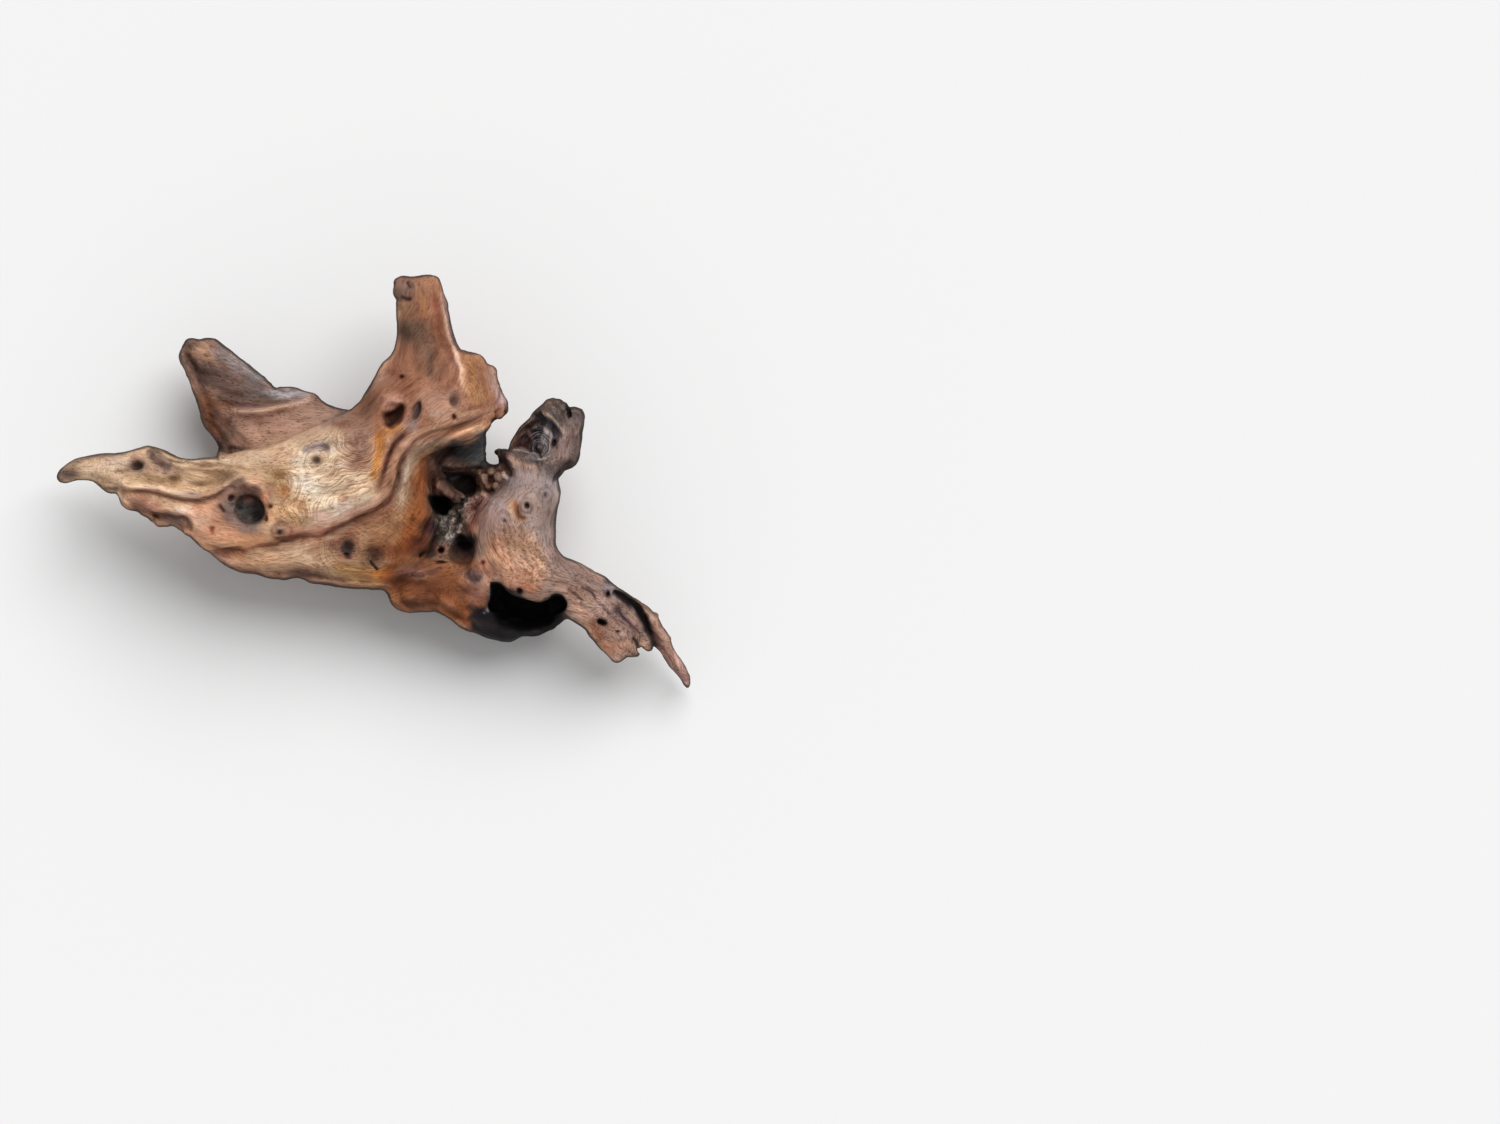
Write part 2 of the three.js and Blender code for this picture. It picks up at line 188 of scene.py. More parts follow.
def near_line(line, reach):
    """Round a plan line: the window, and there the distance, the side (1 is left), the half-width and how far along."""
    cut, gx, gy = window(line[:, 0].min() - reach, line[:, 0].max() + reach, line[:, 1].min() - reach, line[:, 1].max() + reach)
    best = np.full(gx.shape, 1e9)
    side = np.ones(gx.shape)
    width = np.ones(gx.shape)
    along = np.zeros(gx.shape)
    last = len(line) - 1
    for i in range(last):
        a, b = line[i], line[i + 1]
        d = b[:2] - a[:2]
        length = max(np.hypot(*d), 1e-6)
        t = np.clip(((gx - a[0]) * d[0] + (gy - a[1]) * d[1]) / length**2, 0, 1)
        ex = gx - a[0] - t * d[0]
        ey = gy - a[1] - t * d[1]
        dist = np.hypot(ex, ey)
        closer = dist < best
        best = np.where(closer, dist, best)
        side = np.where(closer, np.sign(d[0] * ey - d[1] * ex), side)
        width = np.where(closer, a[2] + t * (b[2] - a[2]), width)
        along = np.where(closer, (i + t) / last, along)
    return cut, best, side, width, along


def tapered(along, ends):
    """1 in the middle of a line, fading out over a share of it at both ends."""
    if not ends:
        return 1.0
    return smooth_step(0, ends, along) * smooth_step(0, ends, 1 - along)


def inside(points, softness):
    """A soft-edged patch with that outline of picture places, over the whole plan."""
    outline = [place(*p) for p in points]
    outline = spline([*outline, outline[0]], 3.0)
    xs, ys = outline[:, 0], outline[:, 1]
    reach = softness * 3
    cut, gx, gy = window(xs.min() - reach, xs.max() + reach, ys.min() - reach, ys.max() + reach)
    odd = np.zeros(gx.shape, bool)
    for i in range(len(outline)):
        x0, y0 = outline[i - 1]
        x1, y1 = outline[i]
        if y0 == y1:
            continue
        crosses = (y0 > gy) != (y1 > gy)
        odd ^= crosses & (gx < (x1 - x0) * (gy - y0) / (y1 - y0) + x0)
    return cut, blurred(odd.astype(np.float32), softness / MAP_STEP)


def read_map(field, x, y, step=MAP_STEP):
    """A plan map's value at any places."""
    i = np.clip((x - plan_low[0]) / step, 0, field.shape[0] - 1.001)
    j = np.clip((y - plan_low[1]) / step, 0, field.shape[1] - 1.001)
    i0 = i.astype(int)
    j0 = j.astype(int)
    s = (i - i0)[..., None] if field.ndim == 3 else i - i0
    t = (j - j0)[..., None] if field.ndim == 3 else j - j0
    near = field[i0, j0] * (1 - t) + field[i0, j0 + 1] * t
    far = field[i0 + 1, j0] * (1 - t) + field[i0 + 1, j0 + 1] * t
    return near * (1 - s) + far * s


# The picture's scale holds at one height. Wood above it looks larger, and wood below it smaller.
SCALE_HEIGHT = 68.0
EYE_HEIGHT = 5068.0
PICTURE_MIDDLE = place(750, 562)


def seen(x, y, z):
    """The picture's place, in the plan, of wood at x, y and a height."""
    k = (EYE_HEIGHT - SCALE_HEIGHT) / (EYE_HEIGHT - z)
    return PICTURE_MIDDLE[0] + (x - PICTURE_MIDDLE[0]) * k, PICTURE_MIDDLE[1] + (y - PICTURE_MIDDLE[1]) * k


def stand(px, py, z):
    """Where wood of a height stands in the plan, from its picture place."""
    x, y = place(px, py)
    k = (EYE_HEIGHT - SCALE_HEIGHT) / (EYE_HEIGHT - z)
    return PICTURE_MIDDLE[0] + (x - PICTURE_MIDDLE[0]) / k, PICTURE_MIDDLE[1] + (y - PICTURE_MIDDLE[1]) / k


# --------------------------------------------------------------- wood's grain
# The way that the fibres run, read from the picture, each line from the tip or the body outwards.
grain_lines = {
    "beak": [(60, 475), (100, 466), (150, 472), (200, 481), (240, 470), (280, 462)],
    "beak rim": [(140, 450), (180, 461), (220, 463), (260, 460), (300, 452)],
    "beak foot": [(120, 498), (160, 506), (200, 528), (250, 552), (320, 566), (380, 580)],
    "body": [(250, 455), (290, 470), (330, 470), (365, 440), (385, 400), (392, 360), (400, 320), (403, 285)],
    "body low": [(270, 545), (320, 534), (360, 512), (388, 492), (394, 470), (405, 442), (440, 424), (480, 417), (503, 407)],
    "prong": [(395, 440), (410, 410), (424, 370), (424, 330), (424, 280)],
    "prong right": [(470, 405), (466, 375), (456, 345), (445, 300), (440, 280)],
    "apron": [(250, 560), (320, 556), (370, 535), (405, 500), (412, 465), (440, 440), (480, 430)],
    "apron foot": [(340, 580), (385, 575), (410, 555), (430, 520), (430, 480)],
    "bowl": [(392, 592), (430, 590), (470, 605), (500, 625), (540, 615), (565, 608)],
    "heart": [(440, 560), (450, 530), (460, 500), (480, 480), (505, 470)],
    "mass": [(545, 415), (530, 455), (524, 495), (512, 540), (530, 575), (580, 592), (620, 615), (640, 645)],
    "mass left": [(505, 475), (492, 515), (492, 555), (525, 590), (580, 612), (620, 650)],
    "mass right": [(560, 470), (556, 520), (566, 562), (610, 592), (650, 622), (688, 682)],
    "stub": [(570, 405), (555, 440), (545, 470)],
    "back top": [(190, 350), (230, 378), (270, 395), (320, 402), (350, 420)],
    "back side": [(200, 385), (225, 408), (260, 411), (300, 404), (330, 410)],
    "back foot": [(215, 438), (260, 428), (310, 425), (350, 435)],
}
GRAIN_CELL = 3.0


def grain_ways():
    """Two plan maps that rise along and across the fibres."""
    nx = int((high[0] - low[0]) / GRAIN_CELL) + 2
    ny = int((high[1] - low[1]) / GRAIN_CELL) + 2
    gx, gy = np.meshgrid(low[0] + np.arange(nx) * GRAIN_CELL, low[1] + np.arange(ny) * GRAIN_CELL, indexing="ij")
    dx = np.zeros((nx, ny))
    dy = np.zeros((nx, ny))
    for points in grain_lines.values():
        line = spline([place(*p) for p in points], 4.0)
        for a, b in zip(line[:-1], line[1:]):
            d = (b - a) / max(np.hypot(*(b - a)), 1e-6)
            m = (a + b) / 2
            w = 1 / ((gx - m[0]) ** 2 + (gy - m[1]) ** 2 + 16) ** 1.6
            dx += w * d[0]
            dy += w * d[1]
    size = np.hypot(dx, dy)
    dx, dy = dx / size, dy / size

    def slope_field(fx, fy):
        """The field whose slopes are nearest to (fx, fy), by conjugate gradients."""
        def spread(p):
            out = np.zeros_like(p)
            a = p[1:] - p[:-1]
            out[1:] += a
            out[:-1] -= a
            b = p[:, 1:] - p[:, :-1]
            out[:, 1:] += b
            out[:, :-1] -= b
            return out
        want = np.zeros((nx, ny))
        a = (fx[1:] + fx[:-1]) / 2 * GRAIN_CELL
        want[1:] += a
        want[:-1] -= a
        b = (fy[:, 1:] + fy[:, :-1]) / 2 * GRAIN_CELL
        want[:, 1:] += b
        want[:, :-1] -= b
        x = np.zeros((nx, ny))
        r = want - spread(x)
        p = r.copy()
        rr = (r * r).sum()
        for _ in range(500):
            ap = spread(p)
            alpha = rr / (p * ap).sum()
            x += alpha * p
            r -= alpha * ap
            new = (r * r).sum()
            if new < 1e-9:
                break
            p = r + new / rr * p
            rr = new
        return x

    along = slope_field(dx, dy)
    across = slope_field(-dy, dx)
    rows = [cubic_rows(n, MAP_STEP, GRAIN_CELL) for n in plan_sizes]
    made = []
    for field in (along, across):
        padded = np.pad(field, ((1, 4), (1, 4)), mode="edge")
        made.append(rows[0] @ padded[: rows[0].shape[1], : rows[1].shape[1]] @ rows[1].T)
    return made


along_map, across_map = grain_ways()
note("grain")


# ------------------------------------------------------------------ the relief
# Everything that stands out of the wood or is cut into it, in millimetres. Positive is into the wood.
relief = np.zeros(plan_sizes, np.float32)


def groove(points, width, depth, ends=0.15):
    """A soft groove along a line, or a ridge where the depth is negative."""
    line = plan_line(points, width)
    cut, dist, _, w, along = near_line(line, line[:, 2].max() * 3)
    relief[cut] += depth * np.exp(-((dist / w) ** 2)) * tapered(along, ends)


def ledge(points, drop, low_side, reach=14.0, sharp=1.0, lip=0.35, ends=0.08):
    """A step down to one side of a line, which dies out over the reach, with a proud lip on the high side."""
    line = plan_line(points, 1.0)
    cut, dist, side, _, along = near_line(line, reach * 2.4)
    signed = dist * side * low_side
    fall = smooth_step(-sharp, sharp, signed) * np.exp(-np.maximum(signed, 0) / reach)
    rise = np.exp(-((signed + sharp * 1.8) / (sharp * 1.8)) ** 2) * lip
    relief[cut] += (drop * fall - drop * rise) * tapered(along, ends)


def dome(px, py, rx, ry, amount, turn=0.0, power=2.0):
    """A soft hollow round a picture place, or a bump where the amount is negative. Sizes are half-widths in millimetres."""
    x, y = place(px, py)
    reach = max(rx, ry) * 2.4
    cut, gx, gy = window(x - reach, x + reach, y - reach, y + reach)
    c, s = math.cos(math.radians(turn)), math.sin(math.radians(turn))
    u = ((gx - x) * c + (gy - y) * s) / rx
    v = (-(gx - x) * s + (gy - y) * c) / ry
    relief[cut] += amount * np.exp(-((u * u + v * v) ** (power / 2)))


def ring(px, py, radius, width, depth, squash=1.0, turn=0.0):
    """A round groove, as round a knot."""
    x, y = place(px, py)
    reach = radius + width * 3
    cut, gx, gy = window(x - reach, x + reach, y - reach, y + reach)
    c, s = math.cos(math.radians(turn)), math.sin(math.radians(turn))
    u = (gx - x) * c + (gy - y) * s
    v = (-(gx - x) * s + (gy - y) * c) / squash
    relief[cut] += depth * np.exp(-(((np.hypot(u, v) - radius) / width) ** 2))


LOW_LEDGE = [(195, 545), (230, 547), (255, 543), (275, 543), (290, 537), (305, 533), (320, 534), (330, 528), (340, 521),
             (350, 517), (362, 512), (375, 506), (385, 501), (391, 494)]
HIGH_LEDGE = [(375, 506), (385, 501), (391, 494), (394, 484), (396, 472), (400, 460), (406, 449), (416, 439), (430, 432),
              (445, 428), (458, 425), (470, 422), (482, 417), (495, 411), (503, 407)]
ledge(LOW_LEDGE, 0.5, -1, reach=9, sharp=0.8, lip=1.0, ends=0.12)
groove(LOW_LEDGE, 0.8, 0.4, ends=0.1)
ledge(HIGH_LEDGE, 0.9, -1, reach=11, sharp=0.8, lip=0.6, ends=0.12)
groove(HIGH_LEDGE, 0.8, 0.7, ends=0.1)
# the valley inside the crest
groove([(366, 503), (376, 494), (382, 482), (385, 470), (388, 458), (392, 449), (400, 438), (412, 430), (428, 425)], 1.8, 1.1)
groove([(378, 486), (384, 470), (390, 452), (398, 440), (408, 432)], 1.0, 0.9)
groove([(372, 494), (376, 478), (379, 460), (380, 440), (382, 426)], 3.0, 0.7)
# the apron below and right of the ledge
groove([(401, 508), (402, 488), (405, 470), (412, 456), (424, 446), (440, 440)], 2.2, -0.8)
groove([(230, 556), (270, 555), (310, 550), (340, 540), (370, 528), (395, 512)], 2.6, 0.8)
groove([(250, 565), (300, 562), (330, 566), (365, 574), (392, 578)], 2.2, -0.8)
groove([(290, 569), (305, 575), (320, 577), (350, 581)], 1.6, 1.0)
# beak
groove([(122, 476), (145, 480), (170, 480), (195, 483), (218, 479), (238, 470)], 5.0, 2.3, ends=0.25)
ledge([(116, 480), (126, 489), (140, 490), (155, 491), (168, 495), (184, 499), (200, 499), (214, 495), (226, 488),
       (236, 481), (250, 477)], 2.3, -1, reach=7, sharp=0.8, lip=0.6)
groove([(165, 457), (180, 462), (200, 466), (220, 466), (240, 468), (254, 474)], 1.3, 1.4)
ledge([(150, 513), (165, 513), (178, 515), (187, 517), (191, 524), (193, 533)], 2.4, -1, reach=7, sharp=0.8)
groove([(84, 466), (100, 470), (118, 473)], 1.2, 0.5)
groove([(86, 474), (104, 480), (116, 486)], 1.2, 0.7)
groove([(112, 472), (122, 470), (131, 470)], 1.2, 1.0)
dome(156, 458, 6, 4, -1.6)
groove([(150, 452), (156, 458), (166, 464)], 0.9, 1.3)
groove([(156, 449), (165, 456), (176, 462)], 0.9, 1.0)
groove([(120, 497), (135, 498), (150, 500)], 2.4, -0.9)
groove([(104, 487), (110, 486), (117, 488)], 1.2, -0.8)
dome(172, 479, 3.5, 1.8, 0.8)
dome(199, 484, 4, 1.8, 0.7)
groove([(208, 527), (212, 530), (213, 536)], 1.0, 0.8)
# round the big pit
dome(243, 507, 15, 12.5, 3.4, turn=-12, power=3.0)
groove([(219, 503), (221, 508), (225, 513)], 0.8, 1.4)
groove([(229, 485), (243, 481), (256, 485), (266, 493)], 1.8, -1.0)
dome(280, 486, 7, 9, 0.9)
dome(283, 532, 9, 7, -1.0)
ring(280, 532, 3.4, 0.9, 0.9)
ring(281, 531, 6.4, 1.1, 0.7, squash=0.8)
dome(316, 446, 11, 3.4, 1.5, turn=10)
dome(300, 456, 20, 4, -0.6)
ring(346, 548, 5.0, 1.3, 0.6, squash=1.2)
dome(376, 557, 5, 6, 0.8)
groove([(371, 561), (374, 566), (378, 571)], 0.7, 1.2)
# the cream field's low swells
groove([(300, 490), (318, 486), (336, 476), (356, 468)], 5, -1.3, ends=0.3)
groove([(305, 508), (325, 506), (345, 500), (366, 490)], 3, -0.9, ends=0.3)
groove([(290, 500), (306, 494), (320, 497), (340, 490), (362, 482)], 2.4, 0.35, ends=0.3)
groove([(312, 517), (325, 515), (338, 511), (352, 505)], 1.6, 0.25)
groove([(280, 468), (300, 468), (330, 474), (346, 470)], 2.4, 0.6)
# back limb
groove([(226, 408), (240, 411), (258, 411), (276, 408), (292, 405), (306, 401), (316, 396)], 1.8, -1.8)
groove([(214, 400), (232, 405), (252, 406), (272, 403), (292, 399), (308, 395)], 2.2, 1.5)
groove([(215, 390), (235, 396), (258, 399), (280, 395)], 1.6, 0.8)
groove([(222, 378), (240, 386), (262, 391), (284, 391)], 1.4, -0.7)
groove([(218, 366), (236, 374), (256, 382), (270, 387)], 1.4, 0.9)
groove([(214, 347), (226, 359), (242, 368), (257, 376)], 1.5, -1.2)
groove([(184, 352), (192, 362), (198, 374)], 1.3, 1.0)
groove([(208, 361), (213, 367), (218, 374)], 0.8, 1.1)
groove([(196, 340), (199, 346), (205, 348)], 1.0, 1.2)
dome(191, 344, 3.5, 2.5, -1.0)
dome(265, 428, 26, 7, 1.2)
groove([(318, 424), (332, 426), (346, 424)], 3, 0.8)
# upper prong
groove([(428, 288), (431, 300), (433, 318)], 2.4, -1.0)
groove([(440, 288), (444, 306), (447, 324), (451, 342), (457, 356), (462, 372), (463, 388)], 1.8, -1.5)
groove([(434, 290), (438, 312), (441, 330), (446, 346), (452, 362), (455, 380)], 2.0, 1.1)
groove([(424, 300), (424, 330), (428, 356), (430, 384)], 2.2, 0.7)
groove([(412, 300), (410, 330), (408, 356), (412, 384)], 2.6, -0.5)
groove([(468, 358), (471, 375), (475, 392), (472, 402)], 3.0, 0.9)
groove([(482, 358), (486, 374), (490, 392), (497, 404)], 2.0, -0.8)
groove([(415, 283), (420, 287), (424, 296)], 1.0, 0.8)
ring(403, 291, 6.4, 1.2, 0.9, squash=0.95)
groove([(400, 296), (406, 299), (413, 299)], 0.9, 1.2)
groove([(407, 281), (409, 286), (411, 289)], 0.8, 1.1)
dome(391, 402, 7, 4.6, -2.2, turn=25)
groove([(380, 404), (383, 412), (385, 420)], 1.0, -0.5)
groove([(406, 396), (408, 410), (402, 424), (394, 434)], 1.6, -0.9)
ring(454, 399, 5.0, 1.1, 0.5, squash=1.3)
groove([(380, 430), (390, 434), (400, 428)], 1.2, 0.7)
groove([(436, 406), (430, 416), (434, 422)], 2.0, -0.6)
groove([(428, 424), (450, 419), (472, 414), (494, 403)], 2.2, -0.9)
groove([(446, 418), (470, 410), (492, 404)], 1.2, 0.9)
# right mass
ring(527, 506, 3.8, 0.8, 0.6, squash=1.3)
groove([(516, 500), (515, 508), (518, 517), (526, 520)], 1.2, 1.3)
groove([(520, 498), (523, 510), (529, 519)], 1.0, -0.6)
ring(503, 520, 3.6, 0.8, 0.6, squash=1.2)
ring(546, 495, 3.6, 0.9, 0.6, squash=1.3)
groove([(545, 482), (550, 500), (549, 516)], 0.9, 0.7)
for shift in range(7):
    groove([(492 + shift * 8, 530 + shift % 2 * 4), (497 + shift * 7, 548), (507 + shift * 8, 566), (528 + shift * 7, 582)],
           1.1, 0.7 if shift % 2 else -0.5, ends=0.3)
groove([(548, 420), (542, 450), (533, 480)], 2, -0.5)
# bowl
groove([(394, 571), (406, 570), (424, 570), (442, 566)], 1.6, -1.0)
groove([(393, 580), (410, 583), (430, 583), (450, 580)], 2.0, 0.8)
ring(418, 574, 4.2, 0.8, 0.7, squash=0.5)
ring(475, 575, 4.6, 0.8, 0.7, squash=0.8)
groove([(436, 592), (448, 604), (466, 615), (484, 628)], 1.8, -0.8)
groove([(420, 602), (436, 604), (452, 614), (470, 624)], 1.8, 0.8)
groove([(450, 580), (458, 586), (466, 592)], 1.0, 0.6)
# tail
groove([(566, 592), (582, 604), (596, 616), (606, 630)], 1.6, 0.8)
groove([(570, 584), (590, 592), (604, 604), (622, 618), (638, 632)], 1.3, -0.7)
groove([(560, 570), (585, 580), (600, 590), (612, 602)], 1.2, 0.8)
groove([(580, 586), (590, 592), (598, 599)], 0.8, 1.4)
groove([(566, 588), (576, 595), (584, 602)], 0.8, 1.0)
groove([(600, 606), (614, 620), (628, 634), (636, 646)], 1.2, 0.8)
groove([(592, 612), (598, 630), (606, 648)], 2.2, -0.7)
groove([(616, 606), (632, 620), (644, 636)], 1.6, 0.7)
groove([(634, 638), (636, 646), (640, 654)], 0.8, 1.4)
groove([(624, 636), (628, 646), (630, 654)], 1.0, 0.7)
note("relief")

# --------------------------------------------------------------------- hollows
# Each hollow: a picture place, half-widths across and up the picture, how deep it goes below the skin there, a turn in
# the plan, and how strongly soot and painted shade darken its deep part. Its middle stands above the skin by 0.15 of
# the depth.
hollows = {
    "beak hole": dict(at=(136, 466), size=(4.4, 3.0), depth=4.5, soot_and_shade=0.25),
    "pit throat": dict(at=(252, 510), size=(7.4, 8.2), depth=2.6, turn=-20),
    "pit deep": dict(at=(256, 516), size=(4.6, 4.4), depth=3.0, turn=-30),
    "pit shelf": dict(at=(238, 509), size=(2.6, 1.8), depth=1.6, turn=20),
    "pit eye": dict(at=(231, 498), size=(1.9, 1.5), depth=2.6, turn=40, soot_and_shade=0.3),
    "crack eye": dict(at=(270, 506), size=(1.5, 1.2), depth=2.0, soot_and_shade=0.3),
    "crack low eye": dict(at=(266, 519), size=(1.2, 1.9), depth=1.8, soot_and_shade=0.3),
    "small eye": dict(at=(316, 461), size=(2.4, 2.4), depth=2.2),
    "ring eye": dict(at=(280, 532), size=(2.0, 1.2), depth=1.8, turn=25, soot_and_shade=0.2),
    "apron knot": dict(at=(346, 548), size=(3.8, 4.4), depth=3.4, soot_and_shade=0.15),
    "apron dark": dict(at=(346, 554), size=(2.0, 1.0), depth=4.4, soot_and_shade=0.4),
        "prong slot": dict(at=(417, 411), size=(2.0, 5.2), depth=2.4, turn=-16),
    "prong knot": dict(at=(454, 400), size=(3.0, 4.2), depth=2.0, soot_and_shade=0.1),
    "prong eye": dict(at=(454, 417), size=(1.2, 2.2), depth=2.6, turn=20, soot_and_shade=0.3),
    "prong dot": dict(at=(402, 377), size=(1.0, 0.9), depth=1.6, soot_and_shade=0.3),
    "back eye": dict(at=(298, 421), size=(1.1, 0.8), depth=1.4),
    "back tip eye": dict(at=(206, 356), size=(1.3, 0.9), depth=1.6, soot_and_shade=0.2),
    "back side eye": dict(at=(226, 361), size=(1.2, 0.9), depth=1.6, soot_and_shade=0.2),
    "mass eye": dict(at=(527, 506), size=(1.6, 1.7), depth=2.8, soot_and_shade=0.4),
    "mass grey eye": dict(at=(504, 521), size=(1.2, 1.2), depth=1.2),
    "mass right eye": dict(at=(546, 495), size=(1.3, 1.8), depth=1.8, soot_and_shade=0.1),
    "bowl eye": dict(at=(483, 563), size=(1.2, 1.2), depth=1.6, soot_and_shade=0.2),
    "rim eye": dict(at=(519, 591), size=(2.0, 2.0), depth=4, soot_and_shade=0.8),
    "tail hole": dict(at=(601, 622), size=(3.2, 1.6), depth=3.4, turn=-25, soot_and_shade=0.6),
    "tail eye": dict(at=(618, 632), size=(1.2, 0.8), depth=1.8, soot_and_shade=0.3),
    "tail slit": dict(at=(608, 594), size=(0.9, 2.2), depth=2.4, turn=-30, soot_and_shade=0.6),
    "heart dot": dict(at=(441, 550), size=(1.8, 1.6), depth=5, soot_and_shade=1.0),
    "heart low slit": dict(at=(441, 562), size=(4.6, 0.8), depth=3, soot_and_shade=0.8),
    "heart slit": dict(at=(425, 553), size=(5.4, 1.5), depth=3.4, turn=22, soot_and_shade=0.6),
    "brown gap": dict(at=(427, 530), size=(2.6, 7.0), depth=2.0, turn=-20, soot_and_shade=0.2),
    "stub slit": dict(at=(554, 443), size=(1.5, 3.4), depth=5, turn=-20, soot_and_shade=0.8),
    "lobe cleft": dict(at=(568, 411), size=(1.2, 5.0), depth=6, turn=10, soot_and_shade=0.6),
    "lobe foot": dict(at=(557, 476), size=(1.6, 4.0), depth=4, turn=-30, soot_and_shade=0.4),
}

# Hollows with an outline of their own, a depth below the skin or a floor height, walls that lean by a slope, and how
# strongly soot and painted shade darken them.
sinks = {
    "left black hole": dict(outline=[(429, 495), (435, 497), (441, 499), (448, 503), (450, 509), (448, 515), (441, 515),
                                     (434, 510), (430, 503)], floor=40, lean=0.1, soot_and_shade=1.0),
    "heart cavity": dict(outline=[(455, 536), (461, 534), (468, 537), (475, 536), (478, 541), (474, 548), (471, 556),
                                  (465, 562), (456, 563), (450, 558), (450, 546)], depth=2, lean=0.3, soot_and_shade=0.0),
    "slate hollow": dict(outline=[(444, 478), (453, 476), (463, 473), (471, 476), (478, 481), (480, 487), (474, 493),
                                  (466, 494), (457, 491), (450, 485)], floor=56, lean=0.7, soot_and_shade=0.3),
    "cave roof": dict(outline=[(490, 582), (497, 582), (503, 585), (508, 591), (514, 596), (521, 600), (530, 602),
                               (540, 604), (547, 600), (551, 595), (557, 593), (563, 595), (567, 601), (567, 608),
                               (561, 612), (540, 616), (520, 614), (504, 612), (492, 611), (488, 606), (490, 596)],
                      floor=34, lean=0.06, soot_and_shade=1.0),
    "tail slot": dict(outline=[(611, 590), (617, 590), (624, 594), (631, 598), (638, 603), (643, 610), (647, 619),
                               (651, 629), (654, 638), (651, 637), (646, 629), (641, 620), (635, 612), (628, 606),
                               (620, 601), (614, 596)], depth=4.2, lean=0.3, soot_and_shade=0.9),
    "stub throat": dict(outline=[(510, 446), (515, 438), (522, 430), (529, 426), (530, 434), (533, 442), (539, 448),
                                 (541, 457), (534, 453), (525, 450), (514, 449)], depth=6.4, lean=0.5, soot_and_shade=0),
    "stub band": dict(outline=[(533, 415), (541, 414), (550, 418), (557, 426), (561, 436), (555, 440), (551, 432),
                               (545, 426), (537, 424)], depth=3.2, lean=0.6, soot_and_shade=0),
    "prong hole": dict(outline=[(383, 413), (392, 411), (401, 404), (405, 408), (403, 417), (398, 424), (390, 429),
                                (385, 425), (382, 418)], depth=4.6, lean=0.5, soot_and_shade=0),
    "hook gap": dict(outline=[(504, 461), (508, 463), (512, 468), (513, 476), (508, 478), (504, 470)], depth=6, lean=0.3,
                     soot_and_shade=0.4),
}

# Round wood laid on or in the hollows: places with a height above the skin there and a half-width.
TRUE_HEIGHT = 30  # from this up, the number is the height above the floor
cords = [
    [(418, 456, 86, 2.8), (426, 449, 90, 3.8), (439, 442, 92, 4.8), (455, 437.5, 93.4, 5.2), (470, 434, 94, 5.0),
     (480, 429, 94, 4.2), (487, 424, 93, 2.6)],
    [(448, 431, 92, 2.6), (460, 428, 93.4, 3.2), (474, 423, 94, 3.4), (486, 418, 93.4, 3.0), (492, 415, 92, 2.2)],
    [(430, 454, -2, 2.6), (431, 466, -1, 3.2), (435, 478, 4, 3.6), (443, 487, 14, 3.6), (451, 494, 16, 3.0), (457, 500, 4, 2.2)],
    [(436, 463, -2, 1.8), (441, 474, 6, 2.0), (448, 484, 12, 2.0), (456, 492, 8, 1.8), (464, 497, 3, 1.6)],
    [(444, 457, -1, 1.6), (458, 458, -0.4, 2.2), (470, 457, -0.6, 1.6), (480, 456, -1, 1.4)],
    [(442, 465, 0, 1.8), (454, 465, 0.6, 2.4), (466, 464, 0.4, 2.0), (478, 464, 0, 1.6)],
    [(446, 471, 0.5, 1.4), (458, 470, 1.0, 1.6), (470, 471, 0.6, 1.6), (480, 474, 1.4, 1.4)],
    [(497, 452, -2, 1.6), (504, 453, 4, 2.4), (509, 458, 1, 2.6), (513, 466, 0, 2.4)],
    [(618, 590, -2.0, 1.8), (628, 597, -1.5, 2.0), (638, 604, -1.0, 2.2), (646, 612, -1.0, 3.4), (653, 623, -1.0, 4.0),
     (661, 636, -1.0, 3.4), (668, 650, -1.0, 3.2), (676, 663, -1.0, 3.0), (684, 676, -1.0, 2.4)],
    [(560, 430, -1.0, 1.6), (566, 437, -1.0, 1.6), (570, 444, -1.0, 1.8), (566, 456, -1.0, 1.8), (561, 464, -1.5, 1.6)],
    [(574, 432, -1.6, 2.4), (576, 444, -1.0, 3.2), (573, 456, -1.6, 3.0), (566, 464, -2.0, 2.6)],
    [(543, 410, -1.0, 1.0), (552, 418, -0.6, 1.2), (560, 428, -0.6, 1.2), (566, 437, -0.8, 1.0)],
    [(535, 427, -1.0, 1.0), (543, 430, 0.0, 1.3), (549, 437, 0.0, 1.4), (550, 448, -0.4, 1.3)],
    [(533, 431, -1.0, 0.8), (538, 438, -0.4, 1.1), (544, 445, 0.0, 1.2), (545, 455, -0.6, 1.0)],
    [(508, 453, -0.6, 1.4), (518, 451, 0.6, 1.8), (528, 453, 0.6, 1.8), (538, 459, 0.0, 1.6)],
    [(624, 610, 56.0, 2.8), (630, 616, 52.8, 3.0), (634, 620, 51.2, 3.0), (638, 624, 49.6, 3.0), (641, 628, 48.0, 2.8)],
]
